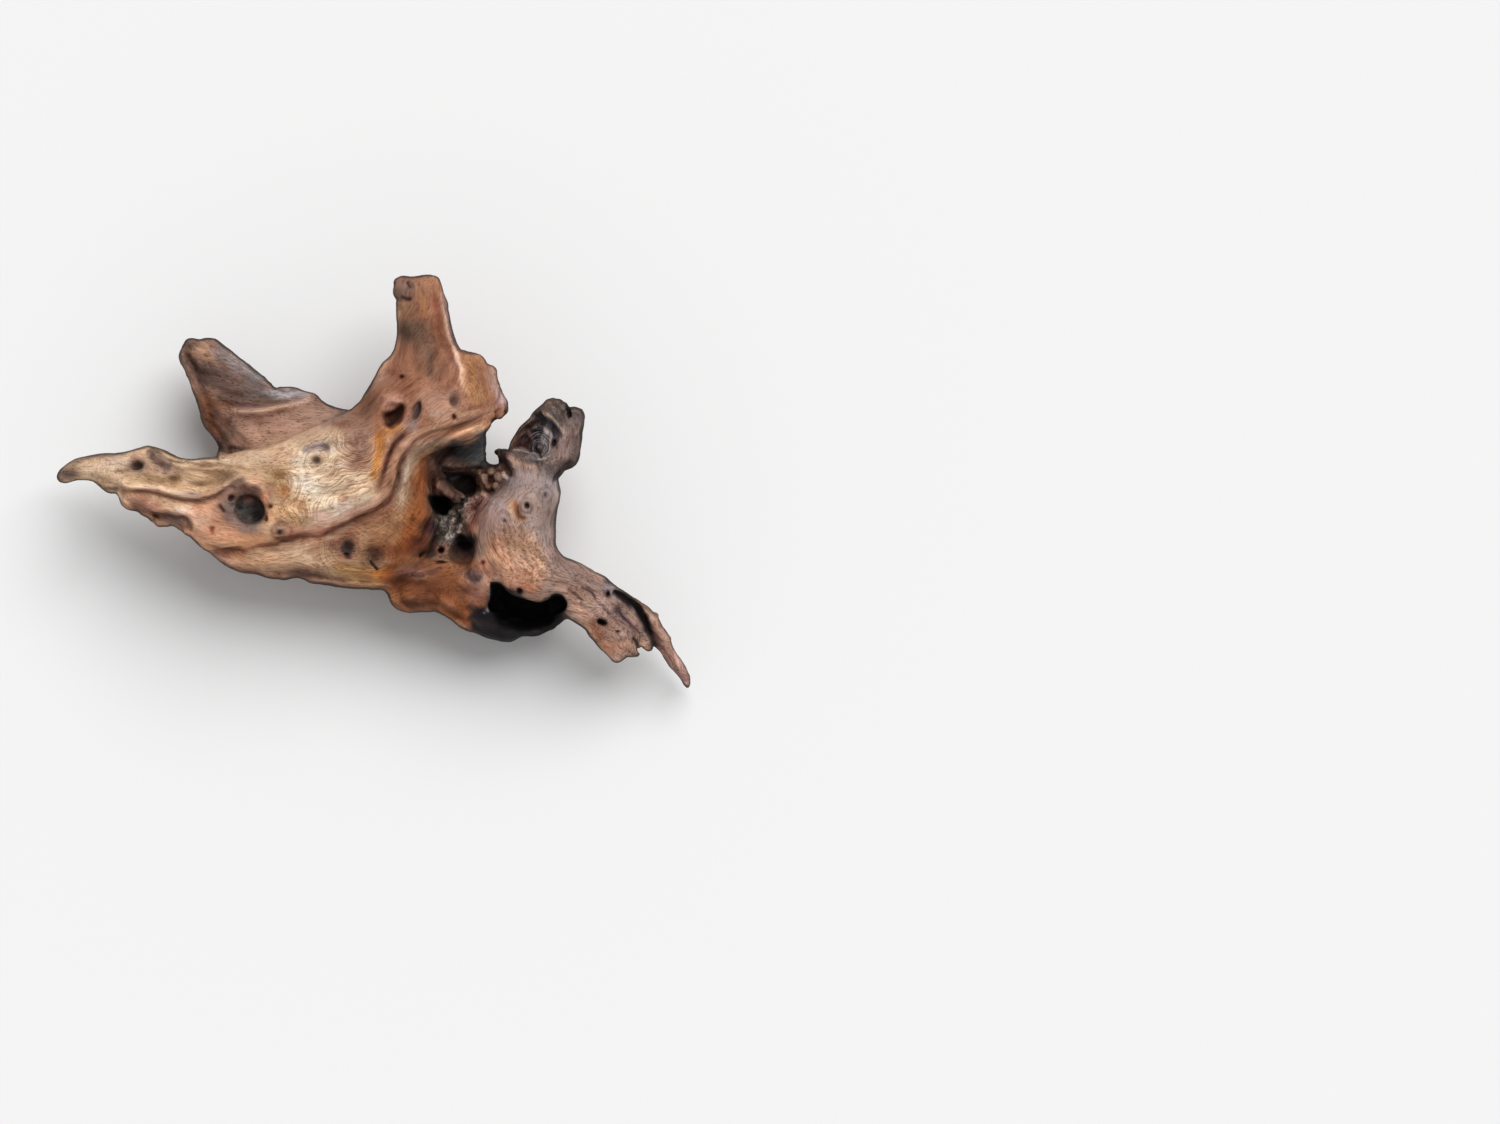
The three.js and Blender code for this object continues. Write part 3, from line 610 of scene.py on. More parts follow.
knobs = [
    (484, 479, 1.0, 3.2), (492, 472, 0.5, 3.0), (499, 477, 1.0, 3.2), (506, 474, 1.0, 3.0), (489, 486, 0.5, 2.6),
    (496, 486, 0.5, 2.6), (480, 472, 1.0, 2.2), (501, 468, 0.5, 2.6), (509, 468, 0.0, 2.2),
    (455, 520, 0.6, 1.6), (452, 527, 0.6, 1.8), (458, 532, 1.4, 2.0), (460, 511, 1.0, 1.6), (466, 505, 1.2, 1.8),
    (470, 499, 2.0, 2.0), (477, 496, 2.2, 1.8), (484, 494, 1.6, 1.8), (444, 519, 0.6, 1.8), (440, 524, 0.6, 1.6),
    (447, 536, 0.8, 1.8), (453, 541, 1.0, 1.6), (443, 544, 0.6, 1.8), (437, 533, 0.4, 1.8), (463, 516, 0.8, 1.4),
    (449, 512, 0.6, 1.4), (438, 516, 0.6, 1.6), (457, 503, 0.8, 1.4), (460, 526, 1.2, 1.4),
    (549, 405, -1.0, 2.6), (557, 404, -0.6, 2.6), (563, 408, -0.8, 2.4), (576, 415, -1.6, 3.4),
    (499, 414, -2.0, 3.2), (655, 616, -1.4, 2.6), (667, 639, -1.2, 2.6), (679, 663, -1.2, 2.2),
]

# ---------------------------------------------------------------- solid volume
def transform():
    matrix = np.eye(4) * VOXEL
    matrix[3, 3] = 1
    matrix[3, :3] = low
    return vdb.createTransform(matrix.tolist()) if hasattr(vdb, "createTransform") else None


def level_set(points, faces, quads=False):
    """Distances to a closed skin, less than nothing inside it."""
    cells = ((points - low) / VOXEL).astype(np.float32)
    half = BAND / VOXEL
    options = {"quads" if quads else "triangles": faces.astype(np.uint32)}
    grid = vdb.FloatGrid.createLevelSetFromPolygons(
        cells, transform=vdb.createLinearTransform(voxelSize=1.0), halfWidth=half, **options)
    field = np.empty(shape, np.float32)
    grid.copyToArray(field, ijk=(0, 0, 0))
    return field * VOXEL


def skin(field):
    """The skin of a field, as points in millimetres and quads."""
    grid = vdb.FloatGrid(3.0)
    grid.transform = vdb.createLinearTransform(voxelSize=1.0)
    grid.gridClass = vdb.GridClass.LEVEL_SET
    grid.copyFromArray(np.clip(field / VOXEL, -3, 3).astype(np.float32), tolerance=0)
    points, quads = grid.convertToQuads(0)
    return points * VOXEL + low, quads


whole = None
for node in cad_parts.values():
    mesh = node.data
    count = len(mesh.vertices)
    points = np.empty(count * 3)
    mesh.vertices.foreach_get("co", points)
    points = points.reshape(-1, 3)
    matrix = np.array(node.matrix_world)
    points = (points @ matrix[:3, :3].T + matrix[:3, 3]) / MM
    mesh.calc_loop_triangles()
    faces = np.empty(len(mesh.loop_triangles) * 3, np.int32)
    mesh.loop_triangles.foreach_get("vertices", faces)
    faces = faces.reshape(-1, 3)
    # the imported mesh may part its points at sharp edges, so equal ones are joined
    keys, first, back = np.unique(np.round(points * 500).astype(np.int64), axis=0, return_index=True, return_inverse=True)
    field = level_set(points[first], back.reshape(-1)[faces])
    whole = field if whole is None else np.minimum(whole, field)
note("nodes in the volume")

CLOSING = 0.6  # the cuts at the forks are closed by growing this much and back
points, quads = skin(whole - CLOSING)
whole = level_set(points, quads, quads=True) + CLOSING
note("forks closed")

ABOVE = low[2] + np.arange(shape[2]) * VOXEL


def soften(field, sigma):
    """Rounds the facets off, and gives the broad shape back what the rounding took."""
    soft = blurred(field, sigma / VOXEL)
    return soft + 0.85 * (soft - blurred(soft, sigma / VOXEL))


thin_cut, thin = inside([(600, 575), (640, 590), (700, 640), (705, 700), (670, 690), (630, 640), (600, 605)], 5.0)
thin_map = np.zeros(plan_sizes, np.float32)
thin_map[thin_cut] = thin
column_x, column_y = np.meshgrid(low[0] + np.arange(shape[0]) * VOXEL, low[1] + np.arange(shape[1]) * VOXEL, indexing="ij")
thin_columns = read_map(thin_map, column_x, column_y)[:, :, None].astype(np.float32)
smooth = soften(whole, 3.2)
whole = smooth + (soften(whole, 1.2) - smooth) * thin_columns
del smooth
note("facets softened")

def top_of(field):
    """The height of the skin over each place of the plan, carried on past its edge, and where there is wood."""
    solid = field < 0
    index = shape[2] - 1 - np.argmax(solid[:, :, ::-1], axis=2)
    covered = solid.any(axis=2)
    height = np.where(covered, ABOVE[index], np.nan)
    filled = np.where(covered, height, 0).astype(np.float32)
    weight = covered.astype(np.float32)
    for sigma in (3, 8, 20):
        w = blurred(weight, sigma)
        f = blurred(filled * weight, sigma)
        guess = np.where(w > 0.02, f / np.maximum(w, 1e-6), np.nan)
        height = np.where(np.isnan(height), guess, height)
    return np.nan_to_num(height, nan=60.0).astype(np.float32), covered


# The edge of the piece against the ground, clockwise, as picture places
outline_beak_top = [(58, 474), (60, 470), (66, 465), (75, 460), (85, 457), (100, 455), (115, 454), (128, 452),
                    (140, 449), (148, 447), (156, 448), (163, 451), (170, 455), (180, 459), (192, 460), (205, 459),
                    (218, 459)]
outline_back_limb = [(219, 453), (220, 448), (212, 437), (205, 428), (201, 418), (199, 408), (196, 399), (192, 390),
                     (188, 381), (184, 371), (179, 361), (179, 356), (181, 350), (184, 345), (186, 340), (193, 339),
                     (200, 340), (207, 339), (214, 339), (219, 343), (225, 348), (235, 355), (245, 363), (255, 371),
                     (262, 376), (268, 382), (275, 389), (280, 387), (288, 387), (297, 388), (305, 391), (315, 393),
                     (319, 396), (322, 401), (327, 405), (335, 408), (345, 410), (351, 410)]
outline_prong = [(357, 404), (363, 396), (370, 386), (376, 376), (380, 367), (384, 361), (390, 356), (394, 350),
                 (396, 340), (397, 328), (396, 320), (396, 312), (396, 301), (391, 296), (393, 288), (395, 280),
                 (400, 277), (412, 278), (420, 277), (427, 275), (433, 275), (438, 278), (441, 284), (444, 291),
                 (447, 300), (449, 308), (449, 315), (450, 323), (452, 333), (454, 342), (457, 350), (463, 353),
                 (472, 354), (480, 354), (484, 358), (487, 364), (493, 365), (497, 369), (498, 378), (500, 386),
                 (503, 393), (507, 400), (509, 408), (508, 413), (503, 417), (495, 420), (490, 425), (485, 431)]
outline_stub = [(484, 447), (484, 461), (488, 466), (495, 467), (501, 465), (501, 459), (499, 453), (503, 451),
                (508, 451), (511, 442), (516, 435), (520, 429), (528, 420), (538, 409), (547, 400), (553, 398),
                (562, 400), (567, 403), (569, 409), (575, 408), (580, 410), (584, 417), (583, 424), (580, 432),
                (580, 445), (579, 455), (576, 463), (572, 469), (565, 470), (560, 475), (557, 479), (559, 485),
                (561, 492), (560, 500), (557, 508), (555, 520), (555, 535), (555, 545), (558, 551), (563, 556)]
outline_tail = [(575, 561), (585, 565), (595, 571), (605, 577), (612, 583), (620, 589), (630, 598), (638, 603),
                (645, 608), (652, 613), (658, 618), (661, 626), (667, 633), (671, 641), (674, 650), (681, 659),
                (686, 668), (690, 676), (690, 683), (688, 688), (684, 684), (677, 676), (669, 668), (662, 658),
                (657, 648), (651, 640), (645, 629), (650, 638), (652, 646), (651, 652), (647, 651), (641, 646),
                (638, 650), (640, 653), (640, 657), (634, 658), (627, 656), (622, 661), (617, 663), (612, 661),
                (607, 656), (601, 650), (596, 643), (591, 637), (587, 630), (580, 625), (572, 620), (566, 618)]
outline_bowl = [(560, 622), (553, 628), (546, 630), (538, 635), (530, 636), (522, 637), (515, 641), (508, 643),
                (500, 642), (490, 640), (478, 634), (468, 631), (458, 626), (450, 619), (442, 614), (436, 611),
                (430, 612), (420, 613), (410, 614), (402, 613), (396, 609), (391, 602), (389, 594), (384, 590)]
outline_foot = [(370, 589), (355, 588), (340, 586), (330, 584), (320, 583), (310, 582), (304, 579), (298, 577),
                (285, 579), (275, 578), (266, 577), (258, 573), (250, 572), (240, 571), (230, 567), (220, 561),
                (210, 553), (202, 548), (196, 541), (191, 536), (183, 533), (178, 530), (172, 527), (163, 527),
                (157, 527), (153, 523), (149, 518), (142, 515), (138, 511), (132, 510), (126, 509), (121, 505),
                (119, 498), (116, 493), (110, 493), (104, 489), (100, 485), (93, 481), (85, 480), (78, 480),
                (72, 482), (66, 483), (60, 482), (57, 478)]
outline = [*outline_beak_top, *outline_back_limb, *outline_prong, *outline_stub, *outline_tail, *outline_bowl,
           *outline_foot]


def signed_patch(points, reach=14.0):
    """The distance to the edge of a patch of picture places, less than nothing inside it, over the whole plan."""
    line = np.array([(*place(*p), 1.0) for p in [*points, points[0]]])
    far = np.full(plan_sizes, 40.0, np.float32)
    for start in range(0, len(line) - 1, 12):
        cut, dist, _, _, _ = near_line(line[start:start + 13], reach)
        far[cut] = np.minimum(far[cut], dist)
    odd = np.zeros(plan_sizes, bool)
    for (x0, y0, _), (x1, y1, _) in zip(line[:-1], line[1:]):
        if y0 == y1:
            continue
        rows = (plan_y > min(y0, y1)) & (plan_y <= max(y0, y1))
        odd[:, rows] ^= plan_x[:, None] < (x1 - x0) * (plan_y[rows] - y0) / (y1 - y0) + x0
    return np.where(odd, -far, far)


def seen_cover(field):
    """Where the picture shows wood: over the whole plan, at the volume's own cell."""
    cover = np.zeros(shape[:2], bool)
    for k, z in enumerate(ABOVE):
        layer = field[:, :, k] < 0
        if not layer.any():
            continue
        scale = (EYE_HEIGHT - z) / (EYE_HEIGHT - SCALE_HEIGHT)
        x = PICTURE_MIDDLE[0] + (column_x - PICTURE_MIDDLE[0]) * scale
        y = PICTURE_MIDDLE[1] + (column_y - PICTURE_MIDDLE[1]) * scale
        i = np.clip(np.round((x - low[0]) / VOXEL).astype(int), 0, shape[0] - 1)
        j = np.clip(np.round((y - low[1]) / VOXEL).astype(int), 0, shape[1] - 1)
        cover |= layer[i, j]
    return cover


def joined(a, b, soft):
    """The smaller of two fields, with a soft fillet where they meet."""
    mix = np.maximum(soft - np.abs(a - b), 0) / soft
    return np.minimum(a, b) - mix * mix * soft * 0.25


def parted(a, b, soft):
    """The larger of two fields, with a soft edge where they meet."""
    return -joined(-a, -b, soft)


edge = signed_patch(outline) - 0.6
edge_columns = read_map(edge, column_x, column_y).astype(np.float32)
for swell_round in range(3):
    cover = seen_cover(whole)
    lacking = ((edge_columns < -0.2) & ~cover).astype(np.float32)
    swell = np.clip(blurred(lacking, 1.6 / VOXEL) * 6, 0, 2.4)
    for k, z in enumerate(ABOVE):
        whole[:, :, k] -= read_map(swell, *seen(column_x, column_y, z), VOXEL)
for k, z in enumerate(ABOVE):
    whole[:, :, k] = parted(whole[:, :, k], read_map(edge, *seen(column_x, column_y, z)), 1.6)
note("edge set")

top, covered = top_of(whole)
top_soft = blurred(top, 2.0 / VOXEL)
seen_x, seen_y = seen(column_x, column_y, top_soft)

# the relief works on what faces up, and fades below it
relief += 0.55 * lumps(13, 31, plan_sizes, MAP_STEP) + 0.4 * lumps(7, 32, plan_sizes, MAP_STEP)
columns = read_map(relief, seen_x, seen_y).astype(np.float32)
for k, z in enumerate(ABOVE):
    reach = smooth_step(-26, -12, z - top_soft)
    whole[:, :, k] += columns * reach
whole += 0.5 * lumps(16, 33) + 0.35 * lumps(8, 34) + 0.18 * lumps(4.5, 35)

# the rotten heart and the hollow stub are crumbled
crumble_map = np.zeros(plan_sizes, np.float32)
for patch_points, amount in (
    ([(432, 512), (455, 497), (478, 490), (490, 500), (478, 515), (470, 532), (455, 548), (446, 562), (432, 556), (434, 530)], 1.0),
    ([(470, 474), (485, 465), (505, 466), (512, 474), (500, 492), (480, 494)], 0.7),
    ([(512, 440), (535, 415), (552, 400), (570, 405), (565, 430), (545, 460), (520, 462)], 0.3),
):
    cut, mask = inside(patch_points, 2.0)
    crumble_map[cut] = np.maximum(crumble_map[cut], mask * amount)
crumble = read_map(crumble_map, seen_x, seen_y)[:, :, None].astype(np.float32)
whole += crumble * (0.9 * lumps(5.0, 41) + 0.7 * lumps(3.0, 42))


def room(x0, x1, y0, y1):
    """The part of the volume over a stretch of the plan, and its places."""
    i0, i1 = (int(np.clip((v - low[0]) / VOXEL, 0, shape[0] - 1)) for v in (x0, x1 + VOXEL))
    j0, j1 = (int(np.clip((v - low[1]) / VOXEL, 0, shape[1] - 1)) for v in (y0, y1 + VOXEL))
    part = (slice(i0, i1), slice(j0, j1))
    return part, column_x[part][:, :, None], column_y[part][:, :, None], ABOVE[None, None, :]


def height_at(px, py):
    """The skin's height at a picture place."""
    z = SCALE_HEIGHT
    for _ in range(3):
        x, y = stand(px, py, z)
        z = float(read_map(top, np.array([x]), np.array([y]), VOXEL)[0])
    return z


# packed dirt on the floors of pits: a picture place, half-widths, and how far it lies below the rim
warp = [lumps(5.0, 61), lumps(5.0, 62)]
for px, py, rx, ry, depth in ((251, 510, 11.0, 10.5, 13.0), (393, 416, 8.0, 8.0, 5.0), (462, 549, 9.0, 9.5, 12.0)):
    turns = np.radians(np.arange(0, 360, 30))
    rim = [height_at(px + 1.5 * rx / PIXEL * math.cos(t), py + 1.5 * ry / PIXEL * math.sin(t)) for t in turns]
    z = float(np.median(rim)) - depth
    note(f"plug {px} {py}: rim {np.round(rim)} floor {z:.1f}, now {height_at(px, py):.1f}")
    x, y = stand(px, py, z)
    part, gx, gy, gz = room(x - rx - 4, x + rx + 4, y - ry - 4, y + ry + 4)
    wide = (np.hypot((gx - x) / rx, (gy - y) / ry) - 1) * min(rx, ry)
    plug = np.maximum(wide, np.abs(gz - z + 14 - 0.9 * warp[0][part]) - 14)
    whole[part] = joined(whole[part], plug, 3.0).astype(np.float32)

# wood laid on: cords and knobs
for cord in cords:
    line = []
    for px, py, above, half in cord:
        z = above if above >= TRUE_HEIGHT else height_at(px, py) + above
        line.append((*stand(px, py, z), z, half))
    line = spline(line, 1.2)
    reach = line[:, 3].max() + 4
    part, gx, gy, gz = room(line[:, 0].min() - reach, line[:, 0].max() + reach, line[:, 1].min() - reach, line[:, 1].max() + reach)
    best = np.full((gx.shape[0], gx.shape[1], gz.shape[2]), 30.0, np.float32)
    for a, b in zip(line[:-1], line[1:]):
        d = b[:3] - a[:3]
        t = np.clip(((gx - a[0]) * d[0] + (gy - a[1]) * d[1] + (gz - a[2]) * d[2]) / max(d @ d, 1e-6), 0, 1)
        gap = np.sqrt((gx - a[0] - t * d[0]) ** 2 + (gy - a[1] - t * d[1]) ** 2 + (gz - a[2] - t * d[2]) ** 2)
        best = np.minimum(best, gap - a[3] - t * (b[3] - a[3]))
    whole[part] = joined(whole[part], best, 1.2)
for px, py, above, half in knobs:
    z = height_at(px, py) + above
    x, y = stand(px, py, z)
    reach = half + 4
    part, gx, gy, gz = room(x - reach, x + reach, y - reach, y + reach)
    ball = np.sqrt((gx - x) ** 2 + (gy - y) ** 2 + ((gz - z) / 0.8) ** 2) - half
    whole[part] = joined(whole[part], ball, 1.0)
note("cords and knobs laid on")

top, covered = top_of(whole)
top_soft = blurred(top, 2.0 / VOXEL)
soot_and_shade_map = np.zeros(plan_sizes, np.float32)
rim_map = np.zeros(plan_sizes, np.float32)  # meant as the height that each hollow's soot and painted shade is measured from, but nothing fills or reads it

# outlined hollows
for name, s in sinks.items():
    middle = np.mean(s["outline"], axis=0)
    gap = signed_patch([tuple(p) for p in spline(np.array([*s["outline"], s["outline"][0]], float), 1.5)[:-1]], 12.0)
    near = np.argwhere(gap < 10)
    (a, b), (c, d) = near.min(axis=0), near.max(axis=0)
    part, gx, gy, gz = room(plan_x[a] - 4, plan_x[c] + 4, plan_y[b] - 4, plan_y[d] + 4)
    lid = top_soft[part][:, :, None]
    sx, sy = seen(gx[:, :, 0], gy[:, :, 0], top_soft[part])
    away = read_map(gap, sx, sy)[:, :, None] + 0.5 * warp[0][part]
    floor_of = s["floor"] + 0 * lid if "floor" in s else lid - s["depth"]
    carve = parted(away + s["lean"] * (lid - gz), floor_of - gz, 2.0)
    whole[part] = parted(whole[part], -carve, 1.0).astype(np.float32)
    # where the hollow is darkened by soot and painted shade
    mask = smooth_step(0.8, -0.4, gap)
    soot_and_shade_map = np.maximum(soot_and_shade_map, mask * s["soot_and_shade"])
note("outlined hollows cut")

# round hollows
for name, h in hollows.items():
    rx, ry = h["size"]
    depth = h["depth"]
    z = height_at(*h["at"])
    x, y = stand(*h["at"], z)
    z += 0.15 * depth
    rz = depth * 1.15
    reach = max(rx, ry) * 1.6 + 4
    part, gx, gy, gz = room(x - reach, x + reach, y - reach, y + reach)
    gx, gy, gz = gx - x, gy - y, gz - z
    turn = math.radians(h.get("turn", 0))
    bulge = 0.26 * min(rx, ry)
    u = gx * math.cos(turn) + gy * math.sin(turn) + bulge * warp[0][part]
    v = -gx * math.sin(turn) + gy * math.cos(turn) + bulge * warp[1][part]
    radius = np.sqrt((u / rx) ** 2 + (v / ry) ** 2 + (gz / rz) ** 2)
    ball = np.maximum((radius - 1) * min(rx, ry), -BAND)
    soft = min(2.2, 0.5 * min(rx, ry) + 0.4)
    whole[part] = parted(whole[part], -ball, soft).astype(np.float32)
    # deep holes are darkened by soot and painted shade
    if h.get("soot_and_shade"):
        x, y = place(*h["at"])
        cut, gx, gy = window(x - reach, x + reach, y - reach, y + reach)
        u = ((gx - x) * math.cos(turn) + (gy - y) * math.sin(turn)) / rx
        v = (-(gx - x) * math.sin(turn) + (gy - y) * math.cos(turn)) / ry
        mask = smooth_step(1.1, 0.8, np.hypot(u, v)) * h["soot_and_shade"]
        soot_and_shade_map[cut] = np.maximum(soot_and_shade_map[cut], mask)
note("hollows cut")

# nothing reaches below the resting face, the bottom of the CAD box
box_low = np.array(cad_box[0]) / MM
box_high = np.array(cad_box[1]) / MM
whole = np.maximum(whole, (box_low[2] - ABOVE)[None, None, :].astype(np.float32))
whole = whole.astype(np.float32)
points, quads = skin(whole)
note(f"skin of {len(quads)} quads")

# only the body itself is kept, not crumbs cut free
def joined_to(count, quads):
    label = np.arange(count)
    for _ in range(400):
        least = label[quads].min(axis=1)
        new = label.copy()
        for c in range(4):
            np.minimum.at(new, quads[:, c], least)
        new = new[new]
        if (new == label).all():
            break
        label = new
    return label


label = joined_to(len(points), quads.astype(np.int64))
names, counts = np.unique(label, return_counts=True)
quads = quads[label[quads[:, 0]] == names[counts.argmax()]]
used = np.unique(quads)
remap = np.full(len(points), -1)
remap[used] = np.arange(len(used))
points = points[used]
quads = remap[quads]
note(f"{len(names)} loose parts, {len(quads)} quads kept")


def normals_of(points, quads):
    a = points[quads[:, 2]] - points[quads[:, 0]]
    b = points[quads[:, 3]] - points[quads[:, 1]]
    face = np.cross(a, b)
    normal = np.zeros_like(points)
    for c in range(4):
        for axis in range(3):
            normal[:, axis] += np.bincount(quads[:, c], face[:, axis], len(points))
    return normal / np.maximum(np.linalg.norm(normal, axis=1, keepdims=True), 1e-9)


def read_volume(field, points):
    cell = np.clip((points - low) / VOXEL, 0, np.array(shape) - 1.001)
    base = cell.astype(int)
    t = cell - base
    out = np.zeros(len(points))
    for corner in range(8):
        pick = np.array([corner & 1, corner >> 1 & 1, corner >> 2])
        w = np.prod(np.where(pick, t, 1 - t), axis=1)
        i, j, k = (base + pick).T
        out += w * field[i, j, k]
    return out


normal = normals_of(points, quads)
if (normal[:, 2] * np.sign(points[:, 2] - 50)).sum() < 0:
    quads = quads[:, ::-1]
    normal = -normal

# fibres raised by the weather, along the grain
x, y, z = points.T
way = np.stack([read_map(along_map, x, y), read_map(across_map, x, y), z], axis=1)
bend = 2.2 * np.stack([noise_at(points / 19, 0), noise_at(points / 17 + 9, 1), noise_at(points / 15 + 21, 2)], axis=1)
grain = way + bend
fibre = noise_at(grain / (17, 3.4, 3.4), 1) + 0.7 * noise_at(grain / (12, 2.1, 2.1) + 5, 2)
fibre_depth = 0.2 * np.ones(plan_sizes, np.float32)
for patch_points, depth in (
    ([(180, 350), (220, 345), (320, 400), (300, 415), (230, 420), (200, 400)], 0.28),
    ([(540, 550), (600, 570), (650, 610), (690, 680), (640, 660), (600, 640), (565, 600)], 0.42),
    ([(395, 280), (445, 280), (460, 350), (500, 380), (500, 410), (400, 400), (395, 340)], 0.3),
    ([(510, 450), (545, 400), (585, 410), (580, 465), (520, 470)], 0.6),
    ([(430, 435), (485, 432), (512, 470), (490, 500), (470, 540), (430, 560)], 0.45),
):
    cut, mask = inside(patch_points, 5.0)
    fibre_depth[cut] += mask * (depth - fibre_depth[cut])
amount = read_map(fibre_depth, *seen(x, y, z))
keep = smooth_step(0.5, 3.0, z)
points = points + normal * (fibre * amount * keep)[:, None]
normal = normals_of(points, quads)
note("fibres raised")

# how hollow or proud the skin is, at two sizes
hollow_small = -read_volume(blurred(whole, 2.0 / VOXEL), points)
hollow_large = -read_volume(blurred(whole, 6.0 / VOXEL), points)
note("hollowness read")

# --------------------------------------------------------------------- colours
# Colours as they look in soft light, in parts of 255
CREAM = (240, 214, 184)
BRIGHT_CREAM = (252, 230, 202)
PALE_TAN = (220, 186, 152)
PINK_TAN = (206, 154, 124)
PALE_PINK = (208, 170, 152)
BEIGE = (198, 166, 136)
OLIVE_TAN = (190, 156, 120)
YELLOW_TAN = (202, 156, 100)
ORANGE = (200, 134, 66)
DEEP_ORANGE = (166, 96, 52)
RUST = (146, 88, 56)
RED_BROWN = (158, 108, 84)
BROWN = (136, 94, 72)
DARK_BROWN = (98, 64, 48)
UMBER = (70, 46, 38)
GREY_BROWN = (116, 94, 86)
DARK_GREY_BROWN = (82, 64, 58)
PINK_GREY = (160, 140, 134)
WARM_GREY = (142, 122, 116)
ASH = (132, 126, 122)
SLATE = (62, 62, 66)
CHARCOAL = (50, 42, 40)
BLACK = (14, 14, 18)
PEACH = (204, 158, 128)

colour = np.zeros((*plan_sizes, 3), np.float32) + np.array(PINK_TAN, np.float32)
lines_map = np.full(plan_sizes, 0.5, np.float32)  # how strongly the fibres show as lines
rings_map = np.zeros(plan_sizes, np.float32)  # how strongly the growth rings show


def lay(cut, mask, shade, strength):
    m = (mask * strength)[..., None]
    colour[cut] += m * (np.array(shade, np.float32) - colour[cut])


def patch(points, shade, strength=1.0, softness=3.0):
    cut, mask = inside(points, softness)
    lay(cut, mask, shade, strength)


def line(points, shade, width, strength=1.0, ends=0.15):
    made = plan_line(points, width)
    cut, dist, _, w, along = near_line(made, made[:, 2].max() * 3)
    lay(cut, np.exp(-((dist / w) ** 2)) * tapered(along, ends), shade, strength)


def spot(px, py, rx, ry, shade, strength=1.0, turn=0.0, power=3.0):
    x, y = place(px, py)
    reach = max(rx, ry) * 2.4
    cut, gx, gy = window(x - reach, x + reach, y - reach, y + reach)
    c, s = math.cos(math.radians(turn)), math.sin(math.radians(turn))
    u = ((gx - x) * c + (gy - y) * s) / rx
    v = (-(gx - x) * s + (gy - y) * c) / ry
    lay(cut, np.exp(-((u * u + v * v) ** (power / 2))), shade, strength)


def halo(px, py, radius, width, shade, strength=1.0, squash=1.0, turn=0.0):
    x, y = place(px, py)
    reach = radius + width * 3
    cut, gx, gy = window(x - reach, x + reach, y - reach, y + reach)
    c, s = math.cos(math.radians(turn)), math.sin(math.radians(turn))
    u = (gx - x) * c + (gy - y) * s
    v = (-(gx - x) * s + (gy - y) * c) / squash
    lay(cut, np.exp(-(((np.hypot(u, v) - radius) / width) ** 2)), shade, strength)


def stain_and_painted_light_patch(points, gains, softness=5.0):
    """Brightens or darkens a patch by a gain for each part of the colour: bleaching and stains, and painted light and
    shade.
    """
    cut, mask = inside(points, softness)
    colour[cut] *= 1 + mask[..., None] * (np.array(gains, np.float32) - 1)


def stain_and_painted_light_spot(px, py, rx, ry, gains, turn=0.0):
    """The same, for a soft round patch with half-widths in picture elements."""
    rx, ry = rx * PIXEL, ry * PIXEL
    x, y = place(px, py)
    reach = max(rx, ry) * 1.8
    cut, gx, gy = window(x - reach, x + reach, y - reach, y + reach)
    c, s = math.cos(math.radians(turn)), math.sin(math.radians(turn))
    u = ((gx - x) * c + (gy - y) * s) / rx
    v = (-(gx - x) * s + (gy - y) * c) / ry
    mask = np.exp(-((u * u + v * v) ** 1.5))
    colour[cut] *= 1 + mask[..., None] * (np.array(gains, np.float32) - 1)


def marked(field, points, value, softness=4.0):
    cut, mask = inside(points, softness)
    field[cut] += mask * (value - field[cut])


# back limb
patch([(170, 350), (185, 330), (220, 332), (300, 380), (356, 404), (352, 436), (300, 442), (262, 447), (214, 452),
       (196, 400)], (134, 104, 92), 1.0, 2.0)
patch([(228, 424), (260, 419), (300, 408), (330, 406), (352, 414), (354, 432), (320, 434), (290, 441), (262, 446),
       (230, 447)], (192, 152, 130), 0.95, 2.4)
spot(203, 352, 9.5, 5.4, (184, 144, 116), 0.95, turn=-12)
spot(190, 344, 4.5, 3.4, DARK_GREY_BROWN, 0.7)
line([(214, 343), (228, 353), (246, 365), (262, 376), (272, 385)], (164, 146, 138), 2.6, 0.8)
line([(216, 352), (230, 364), (244, 372), (258, 380)], (120, 104, 98), 2.0, 0.7)
line([(186, 364), (200, 370), (218, 373), (236, 380), (256, 388), (272, 392)], (84, 66, 60), 3.6, 0.8)
line([(196, 378), (216, 384), (240, 391), (262, 396), (280, 398)], (92, 74, 68), 2.6, 0.7)
line([(212, 392), (234, 398), (258, 401), (284, 399)], (98, 78, 70), 2.2, 0.7)
line([(195, 386), (203, 404), (212, 424), (222, 442)], (112, 74, 54), 5.4, 0.8)
line([(205, 400), (222, 404), (236, 408)], (122, 82, 60), 3.0, 0.6)
line([(210, 412), (222, 420), (232, 424)], (90, 60, 50), 3.4, 0.7)
line([(228, 411), (244, 412), (260, 411), (278, 408), (294, 404), (308, 401), (318, 396)], (206, 168, 146), 1.5, 0.9)
line([(232, 415), (250, 416), (270, 414), (292, 409)], (128, 88, 72), 1.3, 0.7)
line([(282, 391), (300, 394), (314, 397)], (172, 152, 144), 3.4, 0.7)
line([(280, 398), (300, 400)], (140, 118, 112), 1.8, 0.5)
line([(330, 424), (345, 424), (352, 422)], (150, 98, 80), 2.0, 0.6)
# painted shade in the cleft where the back limb meets the body
line([(219, 446), (222, 452), (224, 458)], (62, 40, 36), 4.2, 1.0, ends=0)
line([(226, 449), (240, 448.5), (262, 448.5), (272, 444)], (72, 46, 38), 1.1, 0.95, ends=0.1)
line([(206, 362), (212, 370), (218, 378)], UMBER, 0.8, 0.7)
line([(186, 352), (194, 362), (199, 370)], UMBER, 0.9, 0.7)
spot(261, 422, 2.4, 1.2, (150, 104, 88), 0.7)

